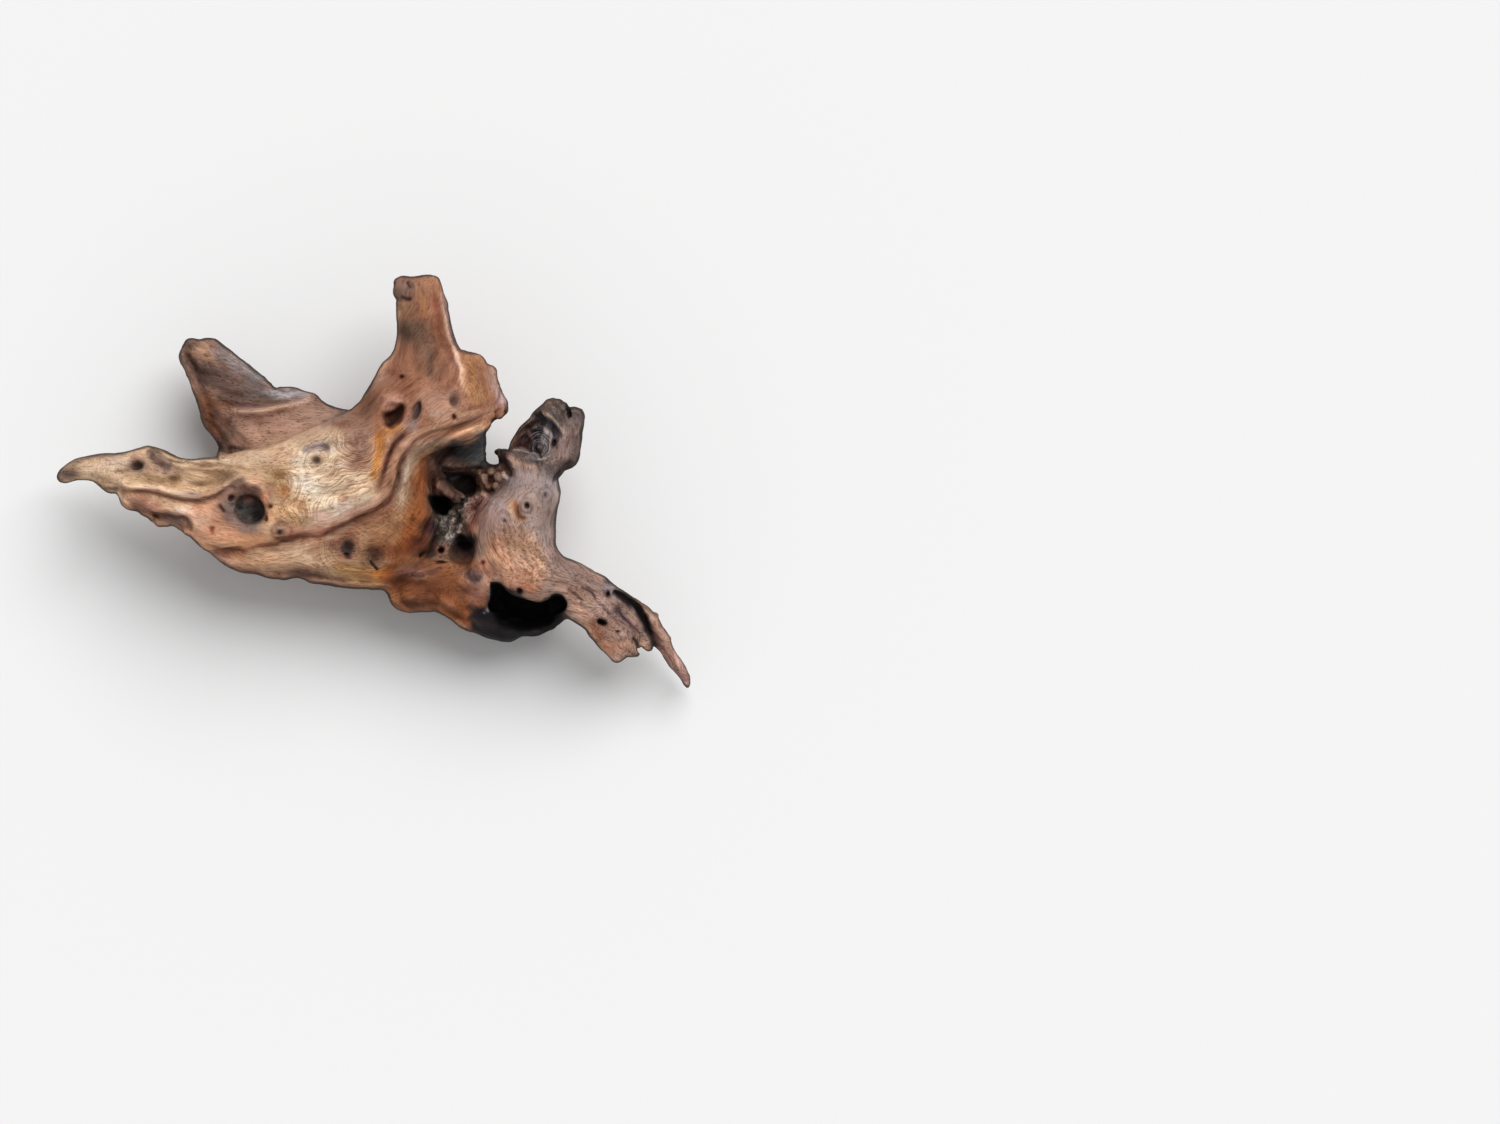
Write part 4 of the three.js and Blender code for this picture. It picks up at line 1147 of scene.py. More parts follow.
# beak
patch([(50, 470), (80, 450), (150, 440), (220, 455), (250, 470), (235, 485), (190, 500), (120, 500), (60, 490)],
      PALE_TAN, 1.0, 2.6)
patch([(78, 464), (120, 458), (138, 462), (150, 476), (130, 484), (100, 474), (80, 476)], CREAM, 0.7, 2.0)
line([(118, 476), (145, 480), (175, 482), (205, 483), (226, 476), (240, 470)], OLIVE_TAN, 4.6, 0.75)
line([(128, 485), (150, 487), (170, 490), (190, 493), (208, 492)], CREAM, 1.6, 0.85)
# painted highlight along the lit upper edge of the beak's rim, and painted shade along its inside edge
line([(158, 456), (180, 462), (205, 463), (232, 462), (260, 462), (290, 460)], (234, 202, 172), 2.2, 0.9)
line([(160, 463), (180, 468), (200, 470), (222, 470), (244, 471)], (160, 128, 98), 1.6, 0.8)
line([(54, 475), (62, 475), (71, 474)], (100, 82, 74), 5.2, 1.0, ends=0)
line([(70, 468), (76, 462), (90, 458), (108, 456), (130, 453)], (120, 98, 88), 1.2, 0.8)
line([(148, 449), (154, 456), (163, 464), (172, 467)], (104, 82, 76), 3.4, 0.9, ends=0.1)
line([(150, 455), (156, 462), (166, 466)], UMBER, 0.8, 0.7)
spot(136, 466, 6.2, 4.4, (96, 78, 66), 0.85)
line([(114, 474), (124, 470), (131, 470)], (140, 112, 92), 1.2, 0.7)
spot(173, 479, 4.6, 2.4, (120, 92, 64), 0.8)
spot(162, 481, 3.0, 1.6, (150, 120, 88), 0.6)
spot(199, 484, 4.8, 1.8, (126, 100, 74), 0.8)
spot(232, 474, 7, 4, (150, 122, 94), 0.7)
spot(126, 474, 3.6, 2.4, (170, 134, 104), 0.6)
# painted shadow along the step below the beak's trough, and brown painted shade below it
line([(120, 489), (134, 491), (150, 492), (166, 496), (184, 501), (204, 501), (220, 494), (236, 484), (250, 478)],
     (122, 86, 70), 1.7, 0.9)
line([(119, 494), (134, 498), (150, 502)], (166, 120, 96), 4.0, 0.9)
line([(158, 503), (176, 506), (196, 508)], PALE_TAN, 3.4, 0.8)
# painted shade on the beak's lower flank and below its second step
line([(126, 506), (144, 510), (158, 517), (174, 522), (190, 528)], (124, 90, 76), 3.0, 0.9)
line([(160, 516), (176, 517), (188, 520), (192, 530)], (108, 82, 76), 2.6, 0.8)
line([(104, 487), (112, 488), (118, 489)], (124, 104, 92), 1.8, 0.8)

# body below the beak
patch([(192, 508), (220, 500), (240, 530), (262, 545), (230, 552), (200, 542), (188, 522)], (218, 164, 132), 0.9, 3.0)
patch([(205, 546), (240, 548), (300, 545), (340, 545), (380, 540), (392, 560), (390, 592), (340, 588), (270, 580),
       (225, 566)], BEIGE, 0.95, 3.0)
line([(202, 544), (225, 552), (250, 556)], (196, 138, 106), 3.2, 0.8)
line([(206, 552), (226, 564), (250, 571), (275, 576), (300, 577), (330, 582), (370, 587), (392, 588)], (154, 114, 94),
     3.0, 0.85, ends=0.04)
spot(305, 574, 12, 3.4, (110, 82, 74), 0.85, turn=-6)
line([(330, 566), (350, 570), (370, 576), (385, 578)], YELLOW_TAN, 4.4, 0.8)
line([(340, 575), (362, 580), (384, 582)], (214, 172, 124), 2.4, 0.7)
line([(374, 574), (384, 572), (390, 562)], ORANGE, 2.0, 0.8)
line([(378, 580), (388, 576), (393, 566)], (182, 118, 58), 1.4, 0.8)
line([(250, 552), (280, 553), (310, 552), (335, 546)], (218, 186, 152), 2.6, 0.6)
line([(240, 560), (270, 565), (300, 566)], (206, 164, 130), 2.6, 0.6)

# crown
patch([(228, 454), (262, 446), (300, 436), (345, 430), (372, 438), (380, 470), (376, 498), (340, 520), (300, 534),
       (268, 540), (262, 520), (270, 500), (262, 480), (236, 470)], PALE_TAN, 1.0, 3.0)
patch([(282, 462), (300, 446), (330, 436), (344, 436), (340, 462), (362, 476), (372, 490), (352, 508), (326, 520),
       (310, 516), (306, 496), (292, 486)], CREAM, 0.95, 3.4)
patch([(296, 474), (312, 470), (330, 478), (336, 494), (330, 508), (314, 502), (302, 490)], BRIGHT_CREAM, 0.9, 3.0)
line([(312, 512), (326, 516), (340, 512), (356, 503)], BRIGHT_CREAM, 1.8, 0.7)
line([(244, 452), (270, 455), (296, 456)], (226, 188, 158), 2.6, 0.7)
patch([(346, 424), (356, 412), (374, 402), (378, 430), (372, 464), (352, 468), (346, 448)], (172, 132, 110), 0.9, 2.4)
spot(356, 466, 7, 3, (150, 108, 86), 0.55)
patch([(262, 470), (290, 462), (288, 486), (290, 502), (272, 500), (262, 486)], (198, 160, 122), 0.8, 2.4)
spot(279, 475, 3.6, 2.8, (146, 104, 64), 0.8)
spot(284, 491, 3.4, 4.0, (166, 112, 62), 0.85)
spot(272, 484, 4.0, 3.0, (168, 128, 88), 0.6)
patch([(268, 506), (300, 500), (306, 520), (290, 530), (268, 524)], (214, 170, 128), 0.8, 2.4)
line([(300, 452), (316, 446), (330, 448)], (150, 132, 124), 3.0, 0.8)
spot(326, 447, 2.6, 2.0, (110, 96, 92), 0.8)
spot(316, 461, 3.0, 3.0, (110, 90, 78), 0.85)
halo(316, 461, 3.4, 1.0, (200, 168, 138), 0.5)
spot(283, 449, 1.4, 1.0, (130, 100, 84), 0.7)
line([(285, 452), (292, 455), (300, 457)], (180, 140, 112), 1.0, 0.6)

# big pit
spot(241, 503, 16.5, 13, (146, 116, 104), 0.9, turn=-14, power=4)
line([(228, 490), (238, 486), (250, 487), (260, 494)], (112, 82, 74), 2.6, 0.7)
spot(234, 509, 7.4, 6.4, (126, 112, 108), 0.85, turn=-20)
line([(226, 510), (232, 518), (242, 526), (254, 529), (262, 524)], (140, 122, 118), 3.0, 0.8)
spot(251, 509, 9.0, 8.6, (92, 94, 92), 0.97, turn=-24, power=6)
spot(246, 503, 4.6, 3.6, (98, 106, 106), 0.8, turn=-20)
# painted shade: darker towards the pit's deep bottom
spot(256, 515, 5.6, 5.2, (60, 58, 58), 0.9, turn=-24)
line([(238, 498), (250, 496), (262, 503), (265, 512)], (66, 54, 52), 0.9, 0.7)
spot(235, 508, 1.8, 1.4, (148, 136, 134), 0.8)
spot(233, 505, 1.4, 1.0, (84, 72, 72), 0.8)
spot(241, 508, 2.0, 1.6, (52, 48, 50), 0.9)
spot(250, 519, 1.6, 2.2, (120, 114, 114), 0.8)
line([(258, 492), (262, 498), (266, 507)], (120, 80, 66), 1.6, 0.7)
spot(266, 517, 1.8, 3.6, (104, 60, 42), 0.85)
spot(270, 506, 1.6, 1.6, (100, 56, 28), 0.9)
spot(231, 498, 2.2, 2.4, (84, 50, 52), 0.92)
line([(218, 503), (221, 508), (225, 513)], (84, 50, 44), 0.9, 0.9)
line([(239, 488), (247, 488), (254, 494)], (120, 76, 70), 1.1, 0.7)
spot(212, 530, 1.3, 2.4, (150, 78, 58), 0.85)
spot(213, 527, 1.2, 1.0, (120, 54, 42), 0.8)
# knots of the body
spot(283, 531, 8.4, 5.6, (206, 166, 142), 0.75)
halo(281, 531, 6.2, 0.9, (150, 108, 92), 0.6, squash=0.8)
spot(280, 532, 3.2, 2.4, (120, 96, 88), 0.9)
spot(279, 532, 1.4, 1.2, (60, 46, 42), 0.9)
spot(346, 548, 5.4, 6.2, (88, 80, 84), 1.0)
spot(347, 556, 2.0, 1.4, (44, 34, 30), 0.8)
halo(348, 548, 6.0, 1.0, (176, 128, 108), 0.7, squash=1.1)
line([(330, 546), (338, 546)], (150, 116, 98), 2.0, 0.7)
spot(373, 555, 5.8, 6.2, (104, 80, 72), 0.95, turn=-30)
line([(370, 560), (373, 565), (377, 571)], (40, 24, 18), 0.9, 1.0, ends=0.05)
line([(368, 552), (372, 549), (378, 552)], (84, 58, 46), 0.9, 0.8)
line([(322, 541), (334, 535), (346, 527), (354, 521)], (222, 192, 168), 2.0, 0.8)
line([(398, 578), (390, 572), (394, 564), (404, 560), (414, 560)], (176, 112, 60), 1.6, 0.7)

# the long ledge
# painted shadow along the long ledge's step
line([(208, 547), (236, 550), (262, 546), (286, 541), (300, 536), (318, 537), (334, 529), (350, 520), (368, 513),
      (384, 505), (392, 497), (396, 486), (398, 474), (402, 461), (409, 448), (420, 438), (436, 431), (456, 427),
      (474, 423), (490, 416)], (138, 92, 76), 1.3, 0.85, ends=0.05)
# orange-brown, painted lighter to stand in for light falling on the steep wall under the prong
patch([(426, 436), (450, 428), (474, 424), (492, 418), (500, 412), (494, 424), (482, 438), (466, 444), (448, 450),
       (430, 450)], (178, 128, 94), 0.9, 1.4)
line([(452, 437), (464, 434), (476, 430), (486, 424)], (202, 152, 118), 2.4, 0.8)
line([(428, 440), (438, 437), (450, 433)], (140, 100, 78), 1.4, 0.6)
line([(436, 450), (452, 446), (468, 443), (480, 438)], (128, 82, 60), 1.4, 0.8)
line([(270, 541), (300, 533), (320, 531), (342, 520)], (150, 106, 90), 1.6, 0.7)
line([(342, 514), (362, 507), (380, 499), (388, 490)], (206, 160, 136), 1.8, 0.8)
# painted shadow along the ledge's step
line([(388, 490), (391, 478), (393, 466), (396, 458)], (142, 100, 80), 2.0, 0.85)
line([(394, 458), (399, 450), (410, 438), (426, 429), (446, 425)], (196, 150, 122), 1.9, 0.85)
line([(378, 492), (383, 478), (386, 466), (390, 453), (396, 443), (404, 435), (416, 428)], (132, 88, 70), 2.0, 0.85)
line([(384, 480), (386, 468), (390, 452), (397, 441), (408, 433)], (92, 58, 48), 1.0, 0.8)
line([(374, 484), (377, 466), (379, 448), (381, 430)], ORANGE, 2.4, 0.85)
line([(377, 446), (380, 434), (390, 431), (400, 424), (405, 412)], (200, 132, 68), 2.8, 0.85)
line([(378, 430), (377, 416), (378, 402)], (186, 120, 66), 1.8, 0.75)
# apron
patch([(396, 508), (398, 482), (404, 462), (414, 447), (432, 437), (460, 430), (482, 424), (480, 434), (452, 440),
       (432, 450), (416, 470), (410, 495), (406, 520)], (186, 164, 142), 0.9, 2.0)
patch([(408, 500), (414, 470), (426, 452), (432, 462), (430, 500), (434, 518), (424, 540), (404, 556), (392, 556),
       (398, 530)], DEEP_ORANGE, 0.9, 2.6)
line([(398, 514), (400, 494), (403, 476), (408, 461), (417, 450), (428, 444)], (226, 196, 168), 2.6, 0.95)
line([(420, 468), (422, 490), (424, 512)], (176, 98, 52), 2.6, 0.7)
patch([(380, 520), (404, 512), (404, 530), (388, 548), (366, 544), (366, 532)], (176, 138, 104), 0.8, 2.6)
line([(360, 528), (384, 522), (402, 508)], (190, 152, 118), 2.6, 0.6)
spot(412, 519, 1.8, 1.0, (96, 54, 32), 0.7)
spot(405, 484, 1.6, 1.4, (120, 84, 60), 0.6)
spot(424, 553, 7.4, 3.4, (84, 50, 36), 0.85, turn=20)
spot(420, 540, 5.4, 4, (98, 58, 42), 0.85)
spot(424, 528, 3.6, 5.4, (84, 54, 42), 0.8)
line([(404, 562), (416, 560), (428, 556)], (182, 122, 72), 1.6, 0.6)

# upper limb
patch([(384, 270), (440, 268), (452, 320), (456, 350), (486, 352), (500, 370), (512, 404), (505, 420), (480, 420),
       (440, 422), (404, 426), (380, 404), (352, 414), (372, 380), (396, 350), (392, 300)], RED_BROWN, 1.0, 2.0)
spot(427, 286, 8, 5, (184, 132, 98), 0.85)
line([(422, 290), (424, 305), (425, 320)], (186, 134, 92), 2.4, 0.8)
line([(432, 286), (434, 305), (436, 325), (438, 345)], (172, 106, 78), 2.4, 0.8)
spot(403, 290, 8, 7, (128, 104, 94), 0.9, power=4)
spot(402, 284, 4, 3, (158, 120, 106), 0.7)
line([(400, 296), (406, 299), (413, 299)], (70, 48, 42), 0.8, 0.8)
line([(407, 281), (409, 286), (411, 289)], (60, 40, 34), 0.8, 0.8)
spot(408, 308, 5, 4, (150, 118, 90), 0.6)
spot(412, 331, 11, 7.6, (92, 74, 60), 0.92, power=2.6)
spot(424, 345, 7, 8, (112, 86, 74), 0.6)
line([(428, 350), (431, 365), (429, 380)], (118, 94, 84), 2.6, 0.65)
line([(439, 282), (444, 300), (447, 320), (451, 340), (456, 354), (461, 370), (464, 388), (465, 402)], (216, 176, 156),
     1.9, 0.85)
line([(447, 300), (450, 325), (455, 348)], (156, 128, 120), 1.4, 0.7)
line([(444, 330), (450, 350), (457, 372), (459, 392)], (140, 92, 72), 1.6, 0.7)
patch([(464, 355), (484, 356), (488, 380), (484, 402), (468, 402), (464, 380)], (196, 148, 106), 0.9, 2.0)
line([(470, 358), (473, 376), (477, 398)], (212, 160, 100), 1.8, 0.7)
line([(480, 362), (482, 380), (486, 396)], (176, 122, 84), 1.4, 0.7)
line([(489, 366), (494, 382), (501, 398), (506, 408)], (200, 170, 158), 3.2, 0.8)
patch([(428, 396), (446, 392), (470, 406), (490, 410), (470, 420), (436, 424), (426, 412)], (194, 150, 126), 0.75, 2.4)
line([(455, 408), (480, 408), (500, 400)], (160, 112, 88), 1.8, 0.6)
line([(386, 366), (376, 384), (366, 398)], (172, 130, 110), 2.6, 0.7)
line([(412, 360), (410, 380), (408, 396)], (166, 112, 84), 2.4, 0.6)
spot(432, 388, 7, 8, (176, 132, 108), 0.55)
patch([(352, 412), (370, 396), (384, 402), (378, 424), (360, 424)], (140, 102, 84), 0.7, 2.4)
# painted highlight on the bump above the prong hole
spot(391, 402, 7.6, 4.8, (196, 150, 130), 0.9, turn=20)
patch([(383, 413), (392, 411), (401, 404), (405, 408), (403, 417), (398, 424), (390, 429), (385, 425), (382, 418)],
      (78, 44, 34), 0.97, 0.8)
spot(389, 424, 3.0, 2.0, (60, 34, 28), 0.8)
line([(386, 414), (394, 412), (402, 406)], (58, 34, 30), 1.0, 0.8)
line([(381, 404), (384, 414), (388, 424)], (150, 96, 66), 1.0, 0.6)
spot(417, 411, 2.8, 6.0, (92, 88, 88), 0.9, turn=-16)
spot(420, 405, 1.2, 2.4, (46, 38, 36), 0.8)
spot(454, 399, 3.8, 5.0, (112, 84, 76), 0.9)
halo(454, 399, 5.0, 1.0, (196, 152, 130), 0.6, squash=1.3)
spot(454, 417, 1.6, 2.4, (84, 46, 32), 0.9)
spot(458, 420, 1.2, 1.2, (96, 56, 40), 0.8)
spot(402, 377, 1.6, 1.3, (84, 40, 26), 0.9)
spot(393, 372, 3.0, 2.0, (136, 86, 62), 0.7)
line([(384, 396), (380, 406)], (110, 66, 46), 1.0, 0.6)
line([(436, 428), (460, 421), (486, 413), (500, 405)], (210, 164, 138), 1.4, 0.75)

# the decayed heart
patch([(430, 452), (445, 444), (484, 430), (488, 462), (512, 462), (514, 476), (494, 496), (470, 512), (480, 535),
       (470, 560), (440, 564), (424, 556), (430, 530), (428, 500)], (78, 58, 50), 1.0, 1.6)
patch([(470, 444), (484, 432), (487, 460), (478, 470), (462, 460), (452, 458)], SLATE, 1.0, 1.4)
# painted shadow of the overhang along the top of the slate floor
patch([(452, 442), (476, 438), (466, 450), (444, 452), (438, 458)], (40, 38, 42), 0.9, 1.2)
patch([(458, 446), (470, 440), (484, 432), (487, 456), (480, 466), (466, 462), (458, 456)], (84, 88, 92), 0.95, 1.6)
patch([(442, 458), (460, 460), (474, 466), (478, 472), (450, 476), (441, 470)], (96, 76, 70), 0.9, 1.2)
line([(446, 464), (460, 466), (474, 469)], (124, 96, 86), 0.9, 0.7)
line([(448, 470), (460, 472), (472, 471)], (62, 46, 44), 0.8, 0.7)
patch([(444, 479), (462, 474), (476, 479), (480, 489), (470, 495), (456, 491), (448, 485)], (26, 26, 24), 0.97, 0.9)
line([(447, 480), (455, 478), (463, 476)], (96, 104, 108), 0.7, 0.7)
line([(431, 458), (432, 470), (436, 481), (444, 489), (452, 495), (459, 502)], (112, 80, 70), 3.4, 0.95, ends=0.08)
line([(438, 484), (446, 492), (455, 499)], (146, 110, 98), 1.2, 0.8)
line([(429, 456), (430, 470), (431, 484), (431, 493)], (124, 82, 66), 1.2, 0.7)
patch([(474, 472), (490, 466), (506, 466), (512, 474), (500, 492), (480, 494)], (104, 66, 50), 0.97, 1.2)
spot(484, 480, 1.5, 2.6, (190, 150, 120), 0.85, turn=20)
spot(479, 475, 1.2, 1.8, (160, 122, 94), 0.7)
spot(493, 472, 3.4, 1.8, (122, 92, 78), 0.8)
spot(501, 477, 2.4, 2.0, (130, 108, 100), 0.8)
spot(496, 483, 1.6, 1.6, (168, 128, 100), 0.8)
spot(503, 482, 1.4, 1.2, (150, 110, 88), 0.7)
line([(488, 474), (489, 482), (487, 489)], (62, 32, 24), 0.8, 0.85)
line([(491, 486), (497, 488), (503, 488)], (80, 44, 30), 0.9, 0.8)
line([(497, 476), (498, 482), (500, 488)], (76, 42, 32), 0.7, 0.8)
spot(508, 476, 1.6, 2.6, (70, 44, 38), 0.9)
spot(486, 491, 5, 1.4, (54, 32, 26), 0.9)
patch([(456, 498), (480, 490), (488, 498), (480, 510), (464, 516), (452, 512)], (124, 104, 94), 0.95, 1.4)
line([(466, 500), (478, 494), (486, 498)], (176, 136, 118), 1.0, 0.8)
patch([(436, 512), (456, 504), (470, 512), (462, 532), (446, 544), (436, 540)], (92, 88, 84), 1.0, 1.6)
for px, py, size, shade in ((440, 520, 3.2, ASH), (452, 511, 2.4, (112, 104, 98)), (446, 530, 2.6, (118, 112, 106)),
                            (458, 521, 2.2, (60, 54, 52)), (463, 508, 2.4, (150, 136, 126)), (455, 531, 2.6, (138, 130, 122)),
                            (443, 541, 2.4, (112, 102, 94)), (450, 519, 1.6, (44, 40, 40)), (436, 530, 2.0, (70, 62, 58)),
                            (465, 525, 1.8, (60, 34, 28)), (470, 530, 2.2, (128, 92, 80)), (460, 516, 1.6, (34, 30, 30))):
    spot(px, py, size, size * 0.8, shade, 0.85)
crumbs = np.random.RandomState(77)
crumb_lines = (
    ([(450, 523), (455, 514), (461, 507), (470, 501), (480, 497), (488, 497)], 34, 4.0, 0.9),
    ([(436, 518), (444, 522), (450, 530), (446, 540), (455, 535), (459, 528)], 40, 4.4, 0.9),
    ([(470, 508), (474, 504), (482, 500)], 10, 2.4, 0.8),
)
for bends, number, spread, strength in crumb_lines:
    course = spline(bends, 1.0)
    for _ in range(number):
        px, py = course[crumbs.randint(len(course))] + crumbs.normal(0, spread * 0.5, 2)
        if crumbs.rand() < 0.55:
            shade = np.array((196, 190, 182)) * crumbs.uniform(0.7, 1.0)
        else:
            shade = np.array((62, 58, 60)) * crumbs.uniform(0.6, 1.3)
        spot(px, py, crumbs.uniform(0.7, 1.7), crumbs.uniform(0.5, 0.9), shade, strength, turn=crumbs.uniform(-60, 60))
patch([(436, 544), (450, 540), (452, 560), (440, 566), (434, 558)], (140, 112, 94), 0.9, 1.2)
spot(441, 550, 2.0, 2.0, (40, 20, 16), 0.95)
line([(437, 562), (443, 562), (448, 563)], (40, 26, 22), 0.8, 0.9)
# painted shade: a black hole of the heart, laid on a shallow hollow
patch([(455, 537), (462, 534), (470, 537), (476, 540), (475, 547), (470, 552), (462, 550), (455, 545)], BLACK, 1.0, 0.8)
patch([(449, 548), (456, 547), (464, 552), (472, 552), (468, 560), (462, 564), (452, 564)], (104, 84, 76), 0.95, 1.2)
line([(472, 544), (476, 550), (470, 557)], (60, 44, 40), 1.4, 0.8)
# painted shade: the heart's left black hole
patch([(428, 494), (435, 496), (442, 498), (449, 503), (451, 510), (448, 516), (441, 515), (433, 510), (429, 502)],
      BLACK, 1.0, 0.8)

# right mass
patch([(505, 470), (520, 462), (556, 468), (563, 490), (557, 520), (557, 548), (575, 560), (560, 590), (520, 600),
       (486, 580), (474, 556), (482, 530), (470, 520), (488, 498)], PINK_GREY, 1.0, 2.2)
patch([(472, 512), (490, 498), (506, 496), (510, 520), (500, 536), (484, 534), (470, 528)], (180, 150, 140), 0.85, 3.0)
patch([(484, 536), (510, 528), (532, 534), (546, 552), (548, 580), (524, 592), (498, 582), (482, 560)], PEACH, 0.95, 3.4)
line([(546, 478), (553, 500), (552, 530), (556, 550)], (160, 136, 128), 2.8, 0.7)
line([(516, 498), (514, 508), (519, 518), (527, 521)], (176, 120, 78), 1.5, 0.9)
line([(518, 503), (518, 511), (521, 517), (527, 520)], (124, 80, 60), 1.1, 0.9)
line([(512, 496), (510, 510), (514, 526)], (200, 160, 132), 1.5, 0.8)
spot(527, 506, 2.0, 2.4, (54, 42, 38), 0.95)
halo(526, 506, 3.4, 0.8, (128, 106, 98), 0.7, squash=1.3)
spot(504, 521, 2.0, 1.8, (118, 98, 96), 0.8)
halo(503, 521, 4.4, 1.0, (150, 124, 116), 0.5, squash=1.3)
spot(546, 495, 1.8, 2.4, (96, 80, 74), 0.85)
halo(546, 495, 3.8, 0.9, (124, 104, 98), 0.5, squash=1.3)
spot(549, 514, 1.2, 2.2, (124, 84, 74), 0.7)
line([(482, 556), (490, 566), (494, 578)], (176, 128, 110), 2.2, 0.6)
for shift in range(6):
    line([(494 + shift * 7, 534), (500 + shift * 7, 552), (510 + shift * 7, 572)], (220, 180, 146), 0.8, 0.6)
    line([(491 + shift * 7, 538), (497 + shift * 7, 556), (508 + shift * 7, 576)], (166, 120, 94), 0.7, 0.5)

patch([(466, 508), (472, 498), (482, 492), (490, 498), (482, 512), (478, 530), (474, 536), (468, 528), (464, 518)],
      (176, 128, 116), 0.9, 1.2)
line([(466, 512), (470, 522), (473, 534)], (206, 158, 138), 1.2, 0.7)
# stub
patch([(500, 448), (512, 448), (530, 418), (552, 394), (572, 400), (590, 412), (586, 440), (576, 470), (556, 478),
       (520, 466), (498, 462)], (118, 100, 94), 1.0, 1.8)
patch([(508, 452), (514, 440), (534, 418), (552, 400), (566, 402), (564, 414), (556, 430), (546, 456), (528, 452)],
      (72, 58, 54), 0.95, 1.6)
patch([(510, 448), (518, 430), (532, 422), (536, 440), (541, 452), (530, 452)], (82, 58, 54), 0.95, 1.2)
spot(533, 449, 4, 2.4, (40, 26, 24), 0.9)
line([(516, 440), (524, 436), (532, 436)], (60, 38, 36), 0.8, 0.7)
patch([(538, 414), (552, 418), (560, 434), (554, 440), (548, 424), (534, 420)], (50, 44, 44), 0.9, 1.0)
patch([(512, 447), (519, 434), (529, 426), (532, 440), (537, 450), (528, 450)], (104, 70, 64), 0.95, 1.0)
spot(523, 437, 2.2, 1.6, (60, 38, 38), 0.8)
spot(519, 445, 2.6, 1.2, (54, 36, 34), 0.8)
line([(528, 427), (530, 434), (533, 441)], (142, 120, 116), 1.0, 0.85)
patch([(536, 412), (546, 415), (556, 423), (563, 435), (559, 441), (552, 431), (545, 425), (534, 419)], (58, 56, 64), 0.95, 1.0)
patch([(533, 428), (540, 426), (547, 430), (552, 438), (548, 452), (543, 462), (538, 452), (535, 440)], (104, 102, 110), 0.95, 1.0)
swirl_middle = np.array((537, 448))
swirl = np.array([(530, 430), (537, 426), (545, 429), (551, 437), (550, 446), (546, 454), (543, 462)])
for share, shade in ((1.0, (186, 184, 192)), (0.8, (56, 52, 58)), (0.62, (170, 168, 176)), (0.42, (46, 42, 46))):
    line([tuple(p) for p in swirl_middle + (swirl - swirl_middle) * share], shade, 0.85, 0.95, ends=0.1)
line([(541, 409), (552, 419), (560, 428), (567, 438)], (204, 184, 168), 0.9, 0.95)
line([(552, 409), (562, 418), (568, 429)], (96, 88, 90), 1.2, 0.9)
line([(567, 412), (570, 420), (575, 428)], (170, 152, 142), 0.8, 0.85)
line([(580, 428), (570, 444), (560, 456), (552, 468)], (176, 150, 138), 0.8, 0.8)
line([(556, 404), (562, 408), (566, 412)], (84, 74, 72), 1.0, 0.9)
line([(548, 404), (556, 408), (562, 414)], (134, 118, 110), 0.9, 0.9)
spot(549, 404, 2.2, 1.4, (84, 60, 54), 0.8)
spot(535, 451, 3.4, 2.2, (26, 22, 26), 0.95)
spot(556, 444, 1.4, 3.4, (46, 28, 24), 0.9, turn=14)
line([(512, 450), (520, 450), (534, 454), (541, 460)], (158, 148, 146), 1.2, 0.85)
line([(514, 452), (524, 453), (534, 457)], (70, 60, 60), 0.7, 0.8)
line([(520, 459), (530, 461), (541, 463)], (92, 84, 84), 1.4, 0.8)
line([(507, 455), (513, 460), (520, 464), (540, 468)], (196, 160, 142), 1.6, 0.75)
line([(541, 450), (540, 455), (543, 460)], (34, 30, 32), 0.8, 0.85)
patch([(550, 446), (562, 430), (572, 428), (572, 448), (562, 464), (550, 470)], (156, 134, 126), 0.85, 2.0)
patch([(570, 414), (578, 410), (584, 418), (580, 428), (572, 426)], (120, 104, 102), 0.9, 1.4)
line([(577, 432), (577, 446), (574, 460), (562, 468)], (96, 84, 84), 2.4, 0.8)
line([(574, 428), (568, 442), (564, 456)], (112, 88, 80), 0.8, 0.7)
line([(568, 406), (570, 412), (572, 418)], (26, 22, 22), 1.0, 0.9)
patch([(498, 450), (506, 450), (510, 462), (514, 474), (504, 470), (500, 462)], (74, 56, 50), 0.9, 1.2)

# bowl
patch([(388, 566), (420, 562), (450, 560), (480, 562), (492, 584), (488, 612), (500, 650), (460, 634), (430, 616),
       (396, 614), (384, 590)], (156, 100, 66), 1.0, 2.2)
line([(393, 572), (410, 571), (428, 572), (444, 567)], (126, 88, 72), 3.0, 0.85)
line([(395, 568), (408, 565), (424, 565)], (160, 124, 106), 1.2, 0.6)
spot(418, 574, 4.4, 2.2, (106, 76, 66), 0.8)
halo(418, 574, 5.0, 0.8, (178, 136, 118), 0.75, squash=0.5)
line([(418, 560), (417, 566)], (176, 138, 122), 0.9, 0.7)
line([(396, 584), (412, 588), (432, 588), (450, 584)], (150, 94, 62), 2.6, 0.6)
line([(396, 600), (412, 604), (430, 604), (444, 608)], (94, 58, 42), 2.6, 0.75)
line([(394, 596), (400, 606), (412, 611), (430, 610)], (160, 106, 82), 1.4, 0.7)
line([(440, 588), (452, 600), (466, 612), (480, 622)], (172, 108, 64), 2.6, 0.75)
line([(432, 592), (440, 600)], (104, 64, 42), 0.9, 0.6)
line([(452, 578), (460, 586), (466, 594)], (130, 82, 52), 0.9, 0.6)
